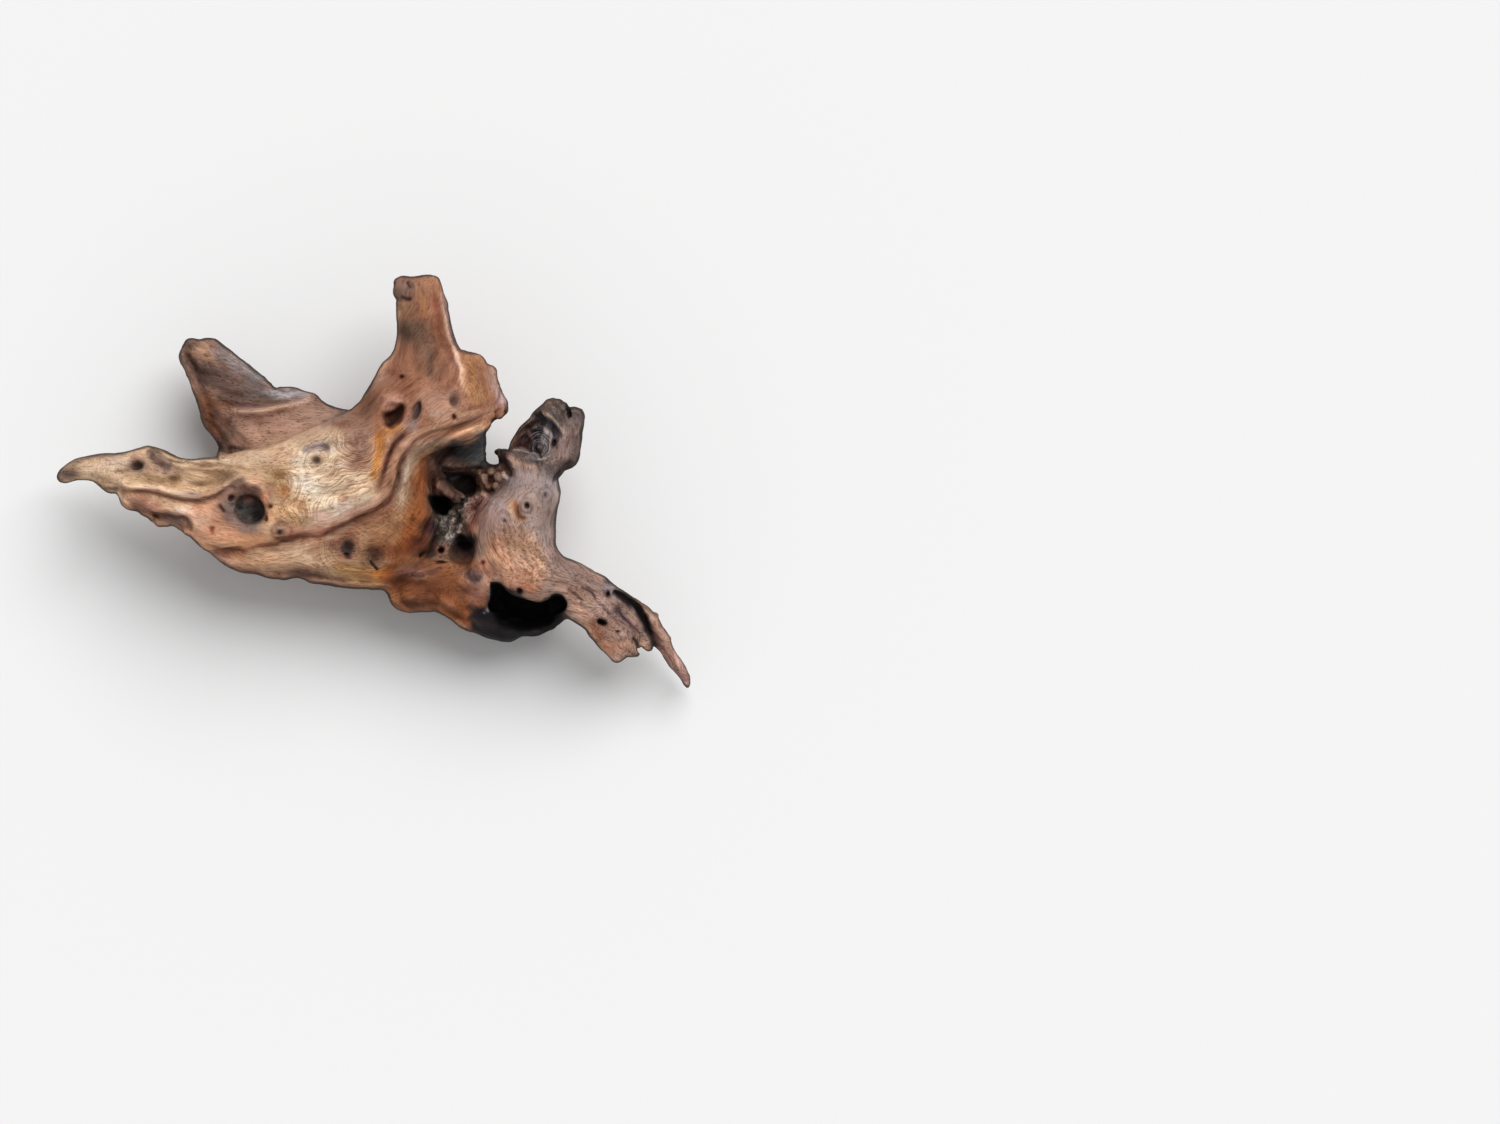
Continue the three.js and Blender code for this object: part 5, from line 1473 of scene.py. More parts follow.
patch([(458, 566), (486, 564), (492, 580), (486, 602), (474, 606), (462, 590)], (172, 124, 104), 0.85, 2.4)
spot(474, 576, 5.8, 3.9, (112, 94, 92), 0.95, turn=-10, power=5)
spot(474, 576, 3.6, 2.0, (84, 68, 68), 0.8, turn=-10)
halo(474, 576, 6.4, 0.7, (176, 136, 120), 0.7, squash=0.68, turn=-10)
line([(468, 573), (475, 573), (481, 576)], (136, 116, 114), 0.6, 0.7)
spot(483, 563, 1.5, 1.6, (110, 54, 44), 0.9)
spot(476, 589, 1.2, 1.2, (112, 66, 50), 0.8)
line([(466, 604), (480, 612), (492, 616)], (66, 54, 52), 2.2, 0.8)
line([(452, 620), (470, 629), (488, 638)], (128, 88, 72), 1.8, 0.7)
# the cave: black as charred wood and as painted shade of its mouth, down to the edge
patch([(490, 585), (500, 583), (512, 588), (524, 598), (538, 603), (550, 597), (558, 594), (566, 600), (568, 612),
       (566, 626), (548, 640), (524, 648), (506, 652), (496, 640), (488, 626), (480, 616), (487, 606)], BLACK, 1.0, 0.9)
patch([(474, 612), (486, 606), (500, 608), (530, 620), (560, 606), (572, 618), (560, 640), (524, 652), (508, 656),
       (490, 650), (480, 638), (470, 624)], (14, 14, 19), 0.97, 1.2)
patch([(474, 618), (486, 620), (498, 630), (496, 642), (484, 638), (474, 628)], (50, 42, 44), 0.7, 1.8)
line([(500, 640), (512, 640), (526, 635), (542, 629)], (34, 36, 42), 1.6, 0.6)
line([(486, 608), (478, 613), (472, 618), (466, 616)], (30, 26, 30), 2.0, 0.9)
line([(500, 622), (512, 620), (524, 618)], (44, 50, 58), 0.8, 0.6)
# painted highlights on the pale rim left of the cave's mouth
line([(491, 587), (488.5, 596), (489, 605), (484, 612)], (128, 118, 120), 0.7, 0.75)
spot(488, 610, 0.9, 1.3, (188, 184, 190), 0.85)
spot(484, 613, 0.9, 0.8, (170, 164, 170), 0.7)
spot(489, 594, 0.7, 1.2, (160, 156, 160), 0.7)
line([(548, 592), (556, 591), (563, 595)], (112, 98, 94), 1.0, 0.8)
spot(519, 591, 4.4, 2.6, (96, 80, 74), 0.75)
spot(519, 592, 2.0, 1.8, (22, 14, 12), 0.95)
line([(500, 582), (512, 587), (522, 590)], (198, 150, 118), 1.2, 0.6)

# tail
patch([(556, 556), (590, 562), (630, 590), (660, 618), (694, 680), (690, 694), (640, 640), (640, 664), (606, 664),
       (566, 622), (566, 604), (552, 590)], (176, 144, 130), 1.0, 2.2)
line([(560, 566), (590, 580), (612, 598), (632, 618)], (150, 128, 122), 4.0, 0.75)
line([(568, 600), (582, 614), (594, 628), (602, 642), (614, 654)], (196, 148, 122), 4.0, 0.85)
line([(590, 620), (596, 632), (602, 642)], (164, 106, 80), 2.4, 0.75)
line([(572, 592), (588, 604), (604, 616)], (186, 152, 134), 1.6, 0.6)
spot(624, 646, 6, 4, (192, 148, 126), 0.7)
line([(562, 576), (580, 583), (596, 594)], (118, 98, 94), 1.0, 0.8)
line([(580, 586), (590, 592), (598, 600)], (60, 46, 44), 0.8, 0.9)
line([(566, 588), (576, 595), (584, 602)], (110, 78, 66), 0.8, 0.8)
line([(596, 600), (608, 612), (620, 626)], (128, 102, 94), 0.9, 0.7)
line([(614, 608), (626, 620), (636, 632)], (116, 94, 90), 1.2, 0.6)
line([(600, 577), (612, 583), (622, 590), (632, 597), (641, 604)], (84, 80, 84), 1.7, 0.9, ends=0.2)
# painted shade in the slot
line([(612, 592), (619, 594), (627, 600), (636, 608), (642, 617), (647, 627), (652, 635)], (30, 28, 32), 2.1, 1.0, ends=0.03)
line([(620, 595), (628, 601)], (66, 66, 74), 0.7, 0.6)
spot(609, 594, 1.2, 2.4, (44, 36, 36), 0.9, turn=20)
spot(601, 622, 4.0, 2.2, (88, 64, 54), 0.8, turn=-25)
spot(602, 622, 2.4, 1.3, (34, 22, 18), 0.95, turn=-20)
spot(618, 632, 1.6, 1.0, (80, 58, 52), 0.85)
spot(618, 611, 1.0, 2.0, (90, 74, 70), 0.8)
line([(644, 612), (650, 622), (658, 634), (664, 646), (672, 658), (682, 674), (688, 684)], (200, 162, 146), 2.6, 0.9,
     ends=0.02)
line([(664, 652), (672, 664), (680, 674)], (120, 88, 80), 0.9, 0.7)
line([(646, 613), (648, 619)], (40, 28, 26), 0.9, 0.8)
# painted highlights on the arm's knobs, and painted shade in the creases between them
spot(655, 617, 2.6, 2.0, (216, 178, 158), 0.8)
spot(667, 640, 2.0, 3.4, (212, 172, 154), 0.8, turn=24)
spot(680, 663, 2.0, 2.6, (210, 170, 154), 0.8, turn=24)
line([(652, 628), (656, 633), (660, 634)], (116, 84, 76), 0.8, 0.8)
line([(658, 645), (663, 650)], (124, 90, 80), 0.8, 0.7)
# painted shade: the dark notch and the dark gap between the arm and the lobe
line([(633, 634), (637, 642), (641, 654)], (50, 38, 37), 1.2, 0.9)
line([(641, 613), (646, 622), (650, 631), (654, 641), (656, 650)], (34, 29, 31), 2.2, 0.92)
line([(648, 617), (653, 625), (657, 636), (662, 645), (668, 656), (676, 668)], (150, 108, 94), 2.0, 0.7)
line([(655, 612), (660, 622), (666, 633), (672, 646), (680, 660)], (190, 148, 130), 1.4, 0.6)
line([(626, 650), (634, 654), (640, 656)], (110, 80, 66), 1.0, 0.7)

# bleaching and stains, and painted light and shade: gains that make the laid colours lighter or darker
stain_and_painted_light_patch([(100, 486), (150, 488), (222, 490), (220, 506), (170, 512), (118, 500)], (1.10, 1.07, 1.06))
stain_and_painted_light_patch([(326, 540), (360, 530), (400, 512), (428, 520), (424, 560), (392, 580), (350, 576), (324, 560)], (0.90, 0.84, 0.79))
stain_and_painted_light_patch([(388, 574), (440, 570), (474, 600), (470, 622), (430, 610), (394, 610)], (0.88, 0.84, 0.80))
stain_and_painted_light_patch([(396, 290), (440, 285), (446, 340), (420, 350), (398, 340)], (0.94, 0.92, 0.92))
# soft round spots of gain, in picture elements: bleaching and stains, and painted light and shade
for px, py, rx, ry, turn, gains in (
    (124, 498, 12, 6, 0, (1.22, 1.28, 1.30)), (185, 511, 16, 6, -8, (1.12, 1.18, 1.26)), (190, 496, 18, 4, -6, (0.82, 0.84, 0.88)),
    (208, 474, 22, 5, 0, (1.10, 1.10, 1.12)), (232, 540, 22, 8, -4, (1.06, 1.06, 1.04)), (228, 558, 26, 8, -16, (1.22, 1.22, 1.2)),
    (280, 556, 36, 9, -4, (1.16, 1.16, 1.18)), (320, 540, 30, 6, 12, (1.12, 1.12, 1.12)), (380, 576, 12, 8, 0, (1.12, 1.0, 0.88)),
    (298, 462, 16, 12, 0, (1.07, 1.07, 1.05)), (304, 484, 14, 10, 0, (1.04, 1.03, 1.0)), (340, 503, 26, 9, 16, (1.12, 1.12, 1.10)),
    (296, 510, 20, 8, 0, (1.12, 1.14, 1.14)), (322, 524, 24, 7, 16, (1.14, 1.12, 1.14)), (366, 503, 14, 8, 30, (1.16, 1.18, 1.20)),
    (330, 446, 24, 8, 8, (0.96, 0.98, 1.04)), (360, 440, 10, 16, 0, (0.86, 0.86, 0.90)), (266, 536, 24, 7, 0, (1.08, 1.04, 1.0)),
    (250, 457, 26, 7, 0, (0.95, 0.96, 0.98)),
    (240, 368, 26, 8, -34, (1.08, 1.14, 1.22)), (278, 392, 22, 7, -6, (1.14, 1.24, 1.34)), (216, 418, 12, 16, -20, (1.24, 1.22, 1.18)),
    (325, 416, 30, 10, 0, (0.86, 0.87, 0.89)), (280, 424, 24, 9, 0, (0.92, 0.91, 0.92)), (236, 441, 12, 5, 0, (1.16, 1.14, 1.14)),
    (368, 410, 12, 12, 30, (0.84, 0.80, 0.78)),
    (402, 314, 6, 14, 0, (1.16, 1.20, 1.18)), (414, 330, 12, 10, 0, (0.90, 0.86, 0.82)), (437, 335, 8, 24, 0, (0.84, 0.82, 0.78)),
    (458, 366, 7, 22, 16, (1.24, 1.28, 1.30)), (476, 374, 12, 20, 8, (0.86, 0.82, 0.84)), (502, 404, 8, 10, 0, (1.12, 1.16, 1.28)),
    (391, 400, 12, 7, 20, (1.18, 1.18, 1.20)), (381, 431, 8, 8, 0, (0.90, 0.86, 0.84)), (377, 452, 6, 20, 0, (1.18, 1.18, 1.16)),
    (520, 560, 26, 12, -20, (1.15, 1.19, 1.24)), (512, 582, 16, 9, -20, (1.12, 1.10, 1.10)), (515, 536, 14, 7, 0, (0.88, 0.88, 0.90)),
    (562, 564, 12, 12, 0, (0.86, 0.87, 0.90)), (496, 508, 12, 12, 0, (1.05, 1.10, 1.16)),
    (476, 597, 10, 9, 0, (1.30, 1.30, 1.34)), (487, 582, 9, 8, 0, (1.18, 1.20, 1.24)), (464, 581, 7, 7, 0, (1.3, 1.3, 1.3)),
    (408, 572, 16, 4, 0, (1.26, 1.26, 1.36)), (430, 590, 16, 9, 0, (0.88, 0.82, 0.80)),
    (582, 610, 12, 10, -30, (1.10, 1.16, 1.24)), (602, 606, 14, 7, -40, (1.12, 1.16, 1.24)), (600, 636, 7, 8, -40, (0.9, 0.88, 0.88)),
    (620, 614, 10, 5, -40, (0.86, 0.86, 0.94)), (636, 626, 10, 5, -45, (1.12, 1.16, 1.24)), (685, 678, 8, 8, 0, (0.86, 0.8, 0.86)),
    (568, 465, 9, 6, 20, (0.74, 0.74, 0.78)), (578, 415, 7, 7, 0, (0.80, 0.80, 0.84)), (566, 444, 7, 14, 0, (1.12, 1.12, 1.16)),
    (472, 530, 6, 10, 0, (1.26, 1.28, 1.30)), (480, 498, 10, 5, 20, (1.3, 1.34, 1.36)), (508, 470, 5, 8, 0, (1.4, 1.4, 1.4)),
    (118, 462, 14, 5, 0, (0.90, 0.91, 0.96)), (136, 457, 6, 4, 0, (0.95, 0.88, 0.92)), (170, 471, 12, 5, 0, (0.86, 0.84, 0.90)),
    (192, 482, 12, 4, 0, (1.06, 1.08, 1.14)), (124, 498, 9, 5, 0, (1.08, 1.14, 1.18)), (142, 504, 12, 5, -10, (1.16, 1.18, 1.24)),
    (170, 521, 14, 5, -14, (1.20, 1.28, 1.30)), (190, 496, 14, 4, 0, (0.87, 0.85, 0.87)), (150, 490, 12, 4, 0, (1.10, 1.10, 1.14)),
    (201, 521, 10, 8, 0, (1.06, 1.14, 1.20)), (230, 540, 14, 6, 0, (1.06, 1.05, 1.05)), (252, 545, 16, 7, 0, (1.28, 1.28, 1.22)),
    (226, 556, 12, 6, -20, (1.10, 1.12, 1.20)), (262, 560, 20, 7, 0, (1.16, 1.15, 1.15)), (302, 545, 22, 7, 4, (1.18, 1.24, 1.28)),
    (292, 530, 12, 6, 0, (1.18, 1.10, 1.10)), (321, 528, 16, 7, 16, (1.20, 1.20, 1.24)), (300, 511, 12, 7, 0, (1.08, 1.08, 1.12)),
    (320, 515, 12, 5, 0, (1.08, 1.00, 1.04)), (342, 504, 16, 6, 18, (1.08, 1.02, 1.06)), (371, 501, 10, 6, 30, (1.16, 1.18, 1.22)),
    (300, 460, 14, 8, 0, (1.08, 1.14, 1.22)), (302, 482, 14, 10, 0, (1.05, 1.09, 1.17)), (346, 465, 10, 6, 0, (1.05, 1.07, 1.13)),
    (284, 491, 6, 7, 0, (1.14, 1.12, 1.16)), (270, 490, 6, 7, 0, (0.94, 0.87, 0.88)),
    (232, 487, 8, 5, 20, (1.38, 1.42, 1.46)), (246, 482, 11, 4, 0, (1.32, 1.36, 1.36)), (227, 515, 7, 7, 0, (0.86, 0.80, 0.78)),
    (246, 528, 11, 5, -4, (0.88, 0.85, 0.86)), (263, 499, 5, 7, 0, (1.45, 1.35, 1.25)), (249, 499, 6, 4, 0, (1.8, 1.5, 1.4)),
    (271, 515, 6, 8, 0, (1.26, 1.20, 1.18)),
    (388, 450, 5, 12, -16, (1.18, 1.16, 1.16)), (399, 436, 7, 6, 0, (0.84, 0.82, 0.86)), (396, 470, 4, 14, -10, (1.22, 1.22, 1.22)),
    (404, 478, 6, 22, -8, (1.24, 1.28, 1.30)), (404, 448, 8, 9, -30, (1.22, 1.24, 1.26)),
    (421, 488, 8, 22, 0, (0.86, 0.86, 0.88)), (386, 552, 14, 9, 0, (0.82, 0.70, 0.64)), (414, 546, 9, 9, 0, (0.80, 0.74, 0.72)),
    (400, 515, 10, 7, 0, (1.10, 1.14, 1.14)), (468, 433, 16, 5, 16, (1.34, 1.28, 1.22)),
    (216, 352, 8, 6, -30, (0.88, 0.92, 1.0)), (236, 366, 12, 5, -34, (1.08, 1.13, 1.17)), (208, 401, 8, 13, -14, (1.20, 1.18, 1.16)),
    (221, 426, 8, 11, 0, (1.34, 1.36, 1.36)), (275, 395, 14, 5, 0, (1.14, 1.28, 1.38)), (301, 392, 11, 4, 0, (0.95, 1.03, 1.10)),
    (268, 421, 24, 6, 0, (0.94, 0.91, 0.91)), (302, 416, 16, 5, 0, (0.93, 0.93, 0.93)), (345, 425, 9, 9, 0, (0.80, 0.75, 0.74)),
    (426, 288, 9, 8, 0, (0.90, 0.91, 0.94)), (440, 370, 7, 10, 0, (1.07, 1.13, 1.17)), (481, 380, 8, 16, 6, (0.90, 0.88, 0.90)),
    (440, 394, 10, 8, 0, (0.92, 0.92, 0.95)), (405, 394, 8, 10, 0, (0.91, 0.90, 0.90)), (373, 401, 9, 9, 30, (0.84, 0.82, 0.78)),
    (391, 400, 9, 6, 20, (0.88, 0.86, 0.87)), (411, 425, 8, 7, 0, (0.90, 1.03, 1.24)), (380, 430, 6, 8, 0, (0.90, 0.89, 0.90)),
    (470, 441, 12, 4, 16, (1.7, 1.45, 1.25)), (450, 462, 8, 4, 0, (1.7, 1.65, 1.7)), (436, 488, 4, 9, 0, (2.1, 2.2, 2.2)),
    (452, 498, 5, 5, 0, (0.68, 0.62, 0.62)), (486, 475, 7, 6, 0, (0.84, 0.83, 0.90)), (493, 470, 6, 4, 0, (0.78, 0.78, 0.88)),
    (506, 473, 4, 7, 0, (1.5, 1.6, 1.6)), (490, 488, 7, 3, 0, (0.70, 0.64, 0.64)), (465, 503, 6, 5, 30, (1.24, 1.36, 1.45)),
    (480, 498, 8, 4, 20, (1.34, 1.4, 1.42)), (446, 526, 11, 11, 0, (1.28, 1.3, 1.33)), (450, 541, 7, 6, 0, (1.36, 1.5, 1.6)),
    (430, 526, 5, 9, 16, (0.70, 0.66, 0.80)), (473, 528, 5, 8, 0, (1.22, 1.18, 1.12)),
    (550, 482, 12, 18, 0, (1.06, 1.13, 1.19)), (520, 500, 14, 10, 0, (1.07, 1.06, 1.05)), (536, 520, 9, 9, 0, (1.09, 1.09, 1.09)),
    (497, 542, 10, 9, 0, (1.09, 1.04, 1.06)), (512, 562, 20, 12, -20, (1.12, 1.11, 1.12)), (541, 575, 12, 9, -30, (1.08, 1.06, 1.06)),
    (515, 581, 16, 7, -20, (1.10, 1.07, 1.08)), (530, 590, 12, 5, -10, (1.13, 0.98, 0.88)), (485, 560, 7, 11, -20, (1.28, 1.28, 1.28)),
    (505, 455, 5, 5, 0, (1.34, 1.3, 1.36)), (508, 471, 5, 6, 0, (1.5, 1.5, 1.5)), (552, 410, 6, 5, 0, (1.12, 1.16, 1.20)),
    (411, 572, 10, 3, 0, (1.18, 1.24, 1.34)), (418, 581, 10, 4, 0, (0.86, 0.90, 1.0)), (434, 586, 12, 7, 0, (0.90, 0.90, 0.92)),
    (465, 580, 6, 7, 0, (1.12, 1.16, 1.16)), (485, 586, 7, 9, 0, (1.12, 1.18, 1.20)), (470, 622, 9, 5, -20, (1.22, 1.17, 1.22)),
    (581, 609, 11, 8, -30, (1.10, 1.10, 1.10)), (600, 605, 13, 6, -40, (1.10, 1.11, 1.10)), (610, 650, 11, 8, -40, (1.16, 1.09, 1.05)),
    (626, 630, 9, 8, -40, (1.15, 1.20, 1.26)), (610, 589, 8, 5, -30, (0.97, 1.06, 1.20)),
    (340, 506, 16, 6, 18, (1.13, 1.19, 1.23)), (304, 482, 16, 12, 0, (1.06, 1.08, 1.10)), (316, 496, 12, 8, 0, (1.04, 1.07, 1.11)),
    (360, 480, 12, 10, 0, (1.08, 1.08, 1.09)), (371, 502, 11, 6, 30, (1.12, 1.14, 1.15)), (346, 515, 11, 5, 24, (1.09, 1.08, 1.14)),
    (321, 528, 15, 5, 14, (1.11, 1.10, 1.10)), (320, 560, 18, 6, 0, (1.09, 1.11, 1.14)), (404, 470, 4, 15, -8, (1.18, 1.23, 1.28)),
    (406, 446, 7, 8, -30, (1.09, 1.11, 1.13)), (449, 434, 14, 4, 14, (1.16, 1.08, 1.06)), (430, 440, 9, 5, 20, (0.93, 0.85, 0.84)),
    (471, 432, 12, 4, 16, (1.14, 1.13, 1.13)), (500, 560, 12, 10, -20, (1.12, 1.13, 1.12)), (490, 515, 9, 9, 0, (1.10, 1.07, 1.05)),
    (530, 470, 14, 8, 0, (1.10, 1.11, 1.13)), (541, 576, 12, 8, -30, (1.09, 1.11, 1.12)), (550, 555, 9, 8, 0, (1.05, 1.06, 1.09)),
    (515, 481, 10, 8, 0, (1.05, 1.09, 1.16)), (525, 435, 5, 6, 0, (1.7, 2.1, 2.3)), (540, 420, 7, 4, -20, (1.4, 1.4, 1.4)),
    (530, 457, 9, 3, 0, (0.85, 0.90, 0.95)), (480, 498, 8, 4, 20, (1.15, 1.14, 1.14)), (450, 541, 7, 6, 0, (1.16, 1.24, 1.3)),
    (462, 483, 12, 7, 0, (1.8, 1.8, 1.7)), (676, 660, 6, 9, 30, (1.11, 1.13, 1.18)), (645, 640, 6, 8, 20, (1.10, 1.15, 1.2)),
    (340, 505, 13, 6, -18, (1.12, 1.15, 1.17)), (370, 502, 9, 6, -30, (1.12, 1.13, 1.13)), (300, 510, 11, 7, 0, (1.04, 1.07, 1.08)),
    (250, 545, 15, 5, 10, (1.08, 1.08, 1.09)), (225, 555, 9, 4, 20, (0.91, 0.90, 0.92)), (330, 545, 6, 5, 0, (0.91, 0.89, 0.95)),
    (350, 565, 13, 6, 6, (1.06, 1.09, 1.13)), (382, 470, 4, 11, -8, (0.92, 0.87, 0.84)), (412, 500, 6, 9, 0, (1.00, 1.08, 1.13)),
    (412, 520, 6, 6, 0, (0.95, 0.96, 0.92)), (365, 535, 10, 7, 0, (1.03, 1.11, 1.15)), (385, 530, 8, 7, 0, (1.06, 1.09, 1.10)),
    (400, 550, 8, 7, 0, (0.87, 0.88, 0.87)), (416, 545, 8, 9, 0, (0.93, 0.86, 0.82)), (255, 380, 13, 7, 32, (0.99, 1.11, 1.17)),
    (200, 380, 4, 13, -14, (0.89, 0.86, 0.89)), (250, 395, 12, 5, 10, (1.01, 1.11, 1.16)), (275, 395, 11, 5, 4, (1.04, 1.08, 1.08)),
    (420, 365, 8, 9, 0, (0.88, 0.90, 0.89)), (455, 365, 7, 9, 0, (1.02, 1.06, 1.10)), (435, 412, 11, 5, -10, (1.03, 1.10, 1.16)),
    (470, 440, 8, 5, 0, (1.20, 1.07, 1.03)), (480, 455, 6, 6, 0, (0.84, 0.87, 0.97)), (450, 462, 6, 4, 0, (1.13, 1.19, 1.20)),
    (440, 470, 6, 6, 0, (1.25, 1.30, 1.35)), (436, 490, 4, 6, 0, (1.2, 1.2, 1.25)), (484, 478, 6, 5, 0, (0.90, 0.89, 0.93)),
    (490, 488, 5, 5, 0, (0.78, 0.72, 0.72)), (506, 472, 5, 5, 0, (0.89, 0.91, 0.93)), (458, 531, 5, 4, 0, (0.89, 0.83, 0.85)),
    (441, 550, 5, 5, 0, (1.40, 1.20, 1.15)), (430, 525, 5, 8, 0, (0.87, 0.84, 0.90)), (428, 545, 5, 6, 0, (1.12, 1.02, 0.95)),
    (519, 512, 4, 6, 0, (0.90, 0.86, 0.87)), (540, 540, 12, 12, 0, (1.05, 1.10, 1.15)), (520, 560, 12, 9, 0, (1.06, 1.08, 1.10)),
    (545, 433, 4, 5, 0, (1.12, 1.20, 1.25)), (543, 445, 5, 4, 0, (0.80, 0.80, 0.88)), (568, 465, 4, 7, 20, (0.78, 0.77, 0.79)),
    (556, 435, 4, 6, 0, (1.01, 1.10, 1.20)), (560, 405, 9, 5, 0, (0.90, 0.92, 0.96)), (520, 445, 5, 5, 0, (0.87, 0.82, 0.85)),
    (540, 420, 6, 4, 0, (1.15, 1.20, 1.22)), (505, 455, 6, 5, 0, (1.17, 1.16, 1.22)), (475, 575, 7, 6, 0, (1.03, 0.92, 0.90)),
    (475, 595, 7, 7, 0, (1.05, 1.07, 1.12)), (450, 595, 8, 7, 0, (0.93, 0.90, 0.88)), (420, 595, 9, 6, 0, (0.92, 0.91, 0.95)),
    (395, 575, 6, 6, 0, (1.03, 1.10, 1.20)), (580, 610, 9, 8, 30, (1.08, 1.10, 1.10)), (635, 625, 6, 7, 0, (0.95, 0.86, 0.86)),
    (650, 618, 6, 4, 0, (1.07, 1.06, 1.11)), (100, 468, 9, 4, 0, (1.06, 1.05, 1.08)), (262, 500, 4, 7, 0, (1.10, 1.07, 1.05)), (250, 500, 6, 4, 0, (1.15, 1.05, 1.03)),
    (245, 482, 12, 5, 0, (1.06, 1.08, 1.09)), (284, 491, 8, 8, 0, (1.05, 1.07, 1.10)), (360, 440, 10, 9, 0, (1.05, 1.08, 1.12)),
    (150, 470, 9, 5, 0, (0.95, 0.90, 0.92)), (180, 510, 10, 4, 6, (1.00, 1.05, 1.10)), (365, 415, 6, 9, 0, (0.96, 0.95, 0.92)),
    (385, 380, 9, 9, 0, (1.00, 1.06, 1.11)), (425, 400, 8, 6, 0, (1.03, 1.07, 1.13)), (402, 315, 4, 12, 0, (1.02, 1.06, 1.08)),
    (222, 425, 6, 11, 0, (1.05, 1.08, 1.12)), (286, 538, 28, 4, -2, (1.08, 1.07, 1.06)), (352, 521, 26, 4, -22, (1.07, 1.09, 1.09)),
):
    stain_and_painted_light_spot(px, py, rx, ry, gains, turn)
colour *= 0.985

# where lines and rings show
marked(lines_map, [(255, 450), (345, 430), (378, 440), (378, 500), (300, 534), (262, 520)], 0.55)
marked(lines_map, [(180, 350), (220, 345), (320, 400), (300, 415), (230, 420), (200, 400)], 0.6)
marked(lines_map, [(226, 424), (300, 412), (346, 416), (346, 434), (262, 446), (230, 447)], 0.3)
marked(lines_map, [(470, 480), (560, 480), (560, 530), (470, 530)], 0.3)
marked(lines_map, [(484, 530), (546, 530), (560, 590), (500, 590)], 0.95)
marked(lines_map, [(560, 560), (620, 590), (690, 680), (640, 660), (570, 620)], 0.9)
marked(lines_map, [(404, 430), (470, 410), (510, 460), (470, 560), (430, 560), (420, 480)], 0.7)
marked(rings_map, [(270, 455), (345, 430), (378, 440), (376, 500), (300, 536), (275, 520), (285, 490)], 1.0)
marked(rings_map, [(303, 447), (326, 447), (328, 468), (303, 468)], 0.4)
marked(rings_map, [(300, 474), (314, 474), (334, 492), (334, 504), (318, 500), (302, 486)], 0.35)
marked(rings_map, [(210, 545), (300, 545), (370, 530), (392, 580), (300, 575), (220, 556)], 0.7)
marked(rings_map, [(330, 540), (380, 508), (400, 500), (416, 500), (416, 540), (390, 572), (340, 572)], 0.6)
marked(rings_map, [(398, 500), (400, 470), (425, 450), (425, 500)], 0.5)
marked(rings_map, [(490, 480), (556, 480), (556, 580), (500, 590), (484, 540)], 0.45)
marked(rings_map, [(394, 570), (450, 570), (480, 600), (470, 625), (400, 612)], 0.35)
marked(rings_map, [(516, 450), (532, 424), (548, 426), (554, 440), (546, 462), (530, 462)], 1.0, 2.0)
pale_rings = np.zeros(plan_sizes, np.float32)
marked(pale_rings, [(529, 440), (532, 426), (545, 427), (553, 438), (548, 462), (536, 462)], 0.7, 1.4)
marked(rings_map, [(460, 355), (490, 360), (490, 400), (465, 400)], 0.6)
marked(rings_map, [(80, 462), (130, 458), (140, 480), (100, 480)], 0.4)
# Growth rings show as lines round knots, pits and swells: picture places with a half-width in millimetres
ring_middles = [(356, 438, 7), (316, 461, 2), (250, 507, 9), (284, 486, 3), (281, 532, 3), (346, 548, 3), (376, 557, 2.5),
                (420, 600, 10), (539, 448, 1), (578, 416, 2), (527, 506, 2), (503, 520, 2), (546, 495, 2), (474, 576, 3),
                (454, 399, 3), (136, 466, 3), (601, 622, 2), (412, 330, 4), (403, 291, 3)]
RING_BLEND = 5.0
sum_map = np.zeros(plan_sizes, np.float32)
for px, py, half in ring_middles:
    x, y = place(px, py)
    away = np.hypot(plan_x[:, None] - x, plan_y[None, :] - y) - half
    sum_map += np.exp(-np.clip(away, 0, 300) / RING_BLEND)
ring_map = -RING_BLEND * np.log(np.maximum(sum_map, 1e-12)) + 1.5 * lumps(9, 51, plan_sizes, MAP_STEP)
ring_map = (ring_map + 1.0 * lumps(4.4, 52, plan_sizes, MAP_STEP)).astype(np.float32)
note("colours laid")


def linear(shade):
    shade = shade / 255
    return np.where(shade <= 0.04045, shade / 12.92, ((shade + 0.055) / 1.055) ** 2.4)


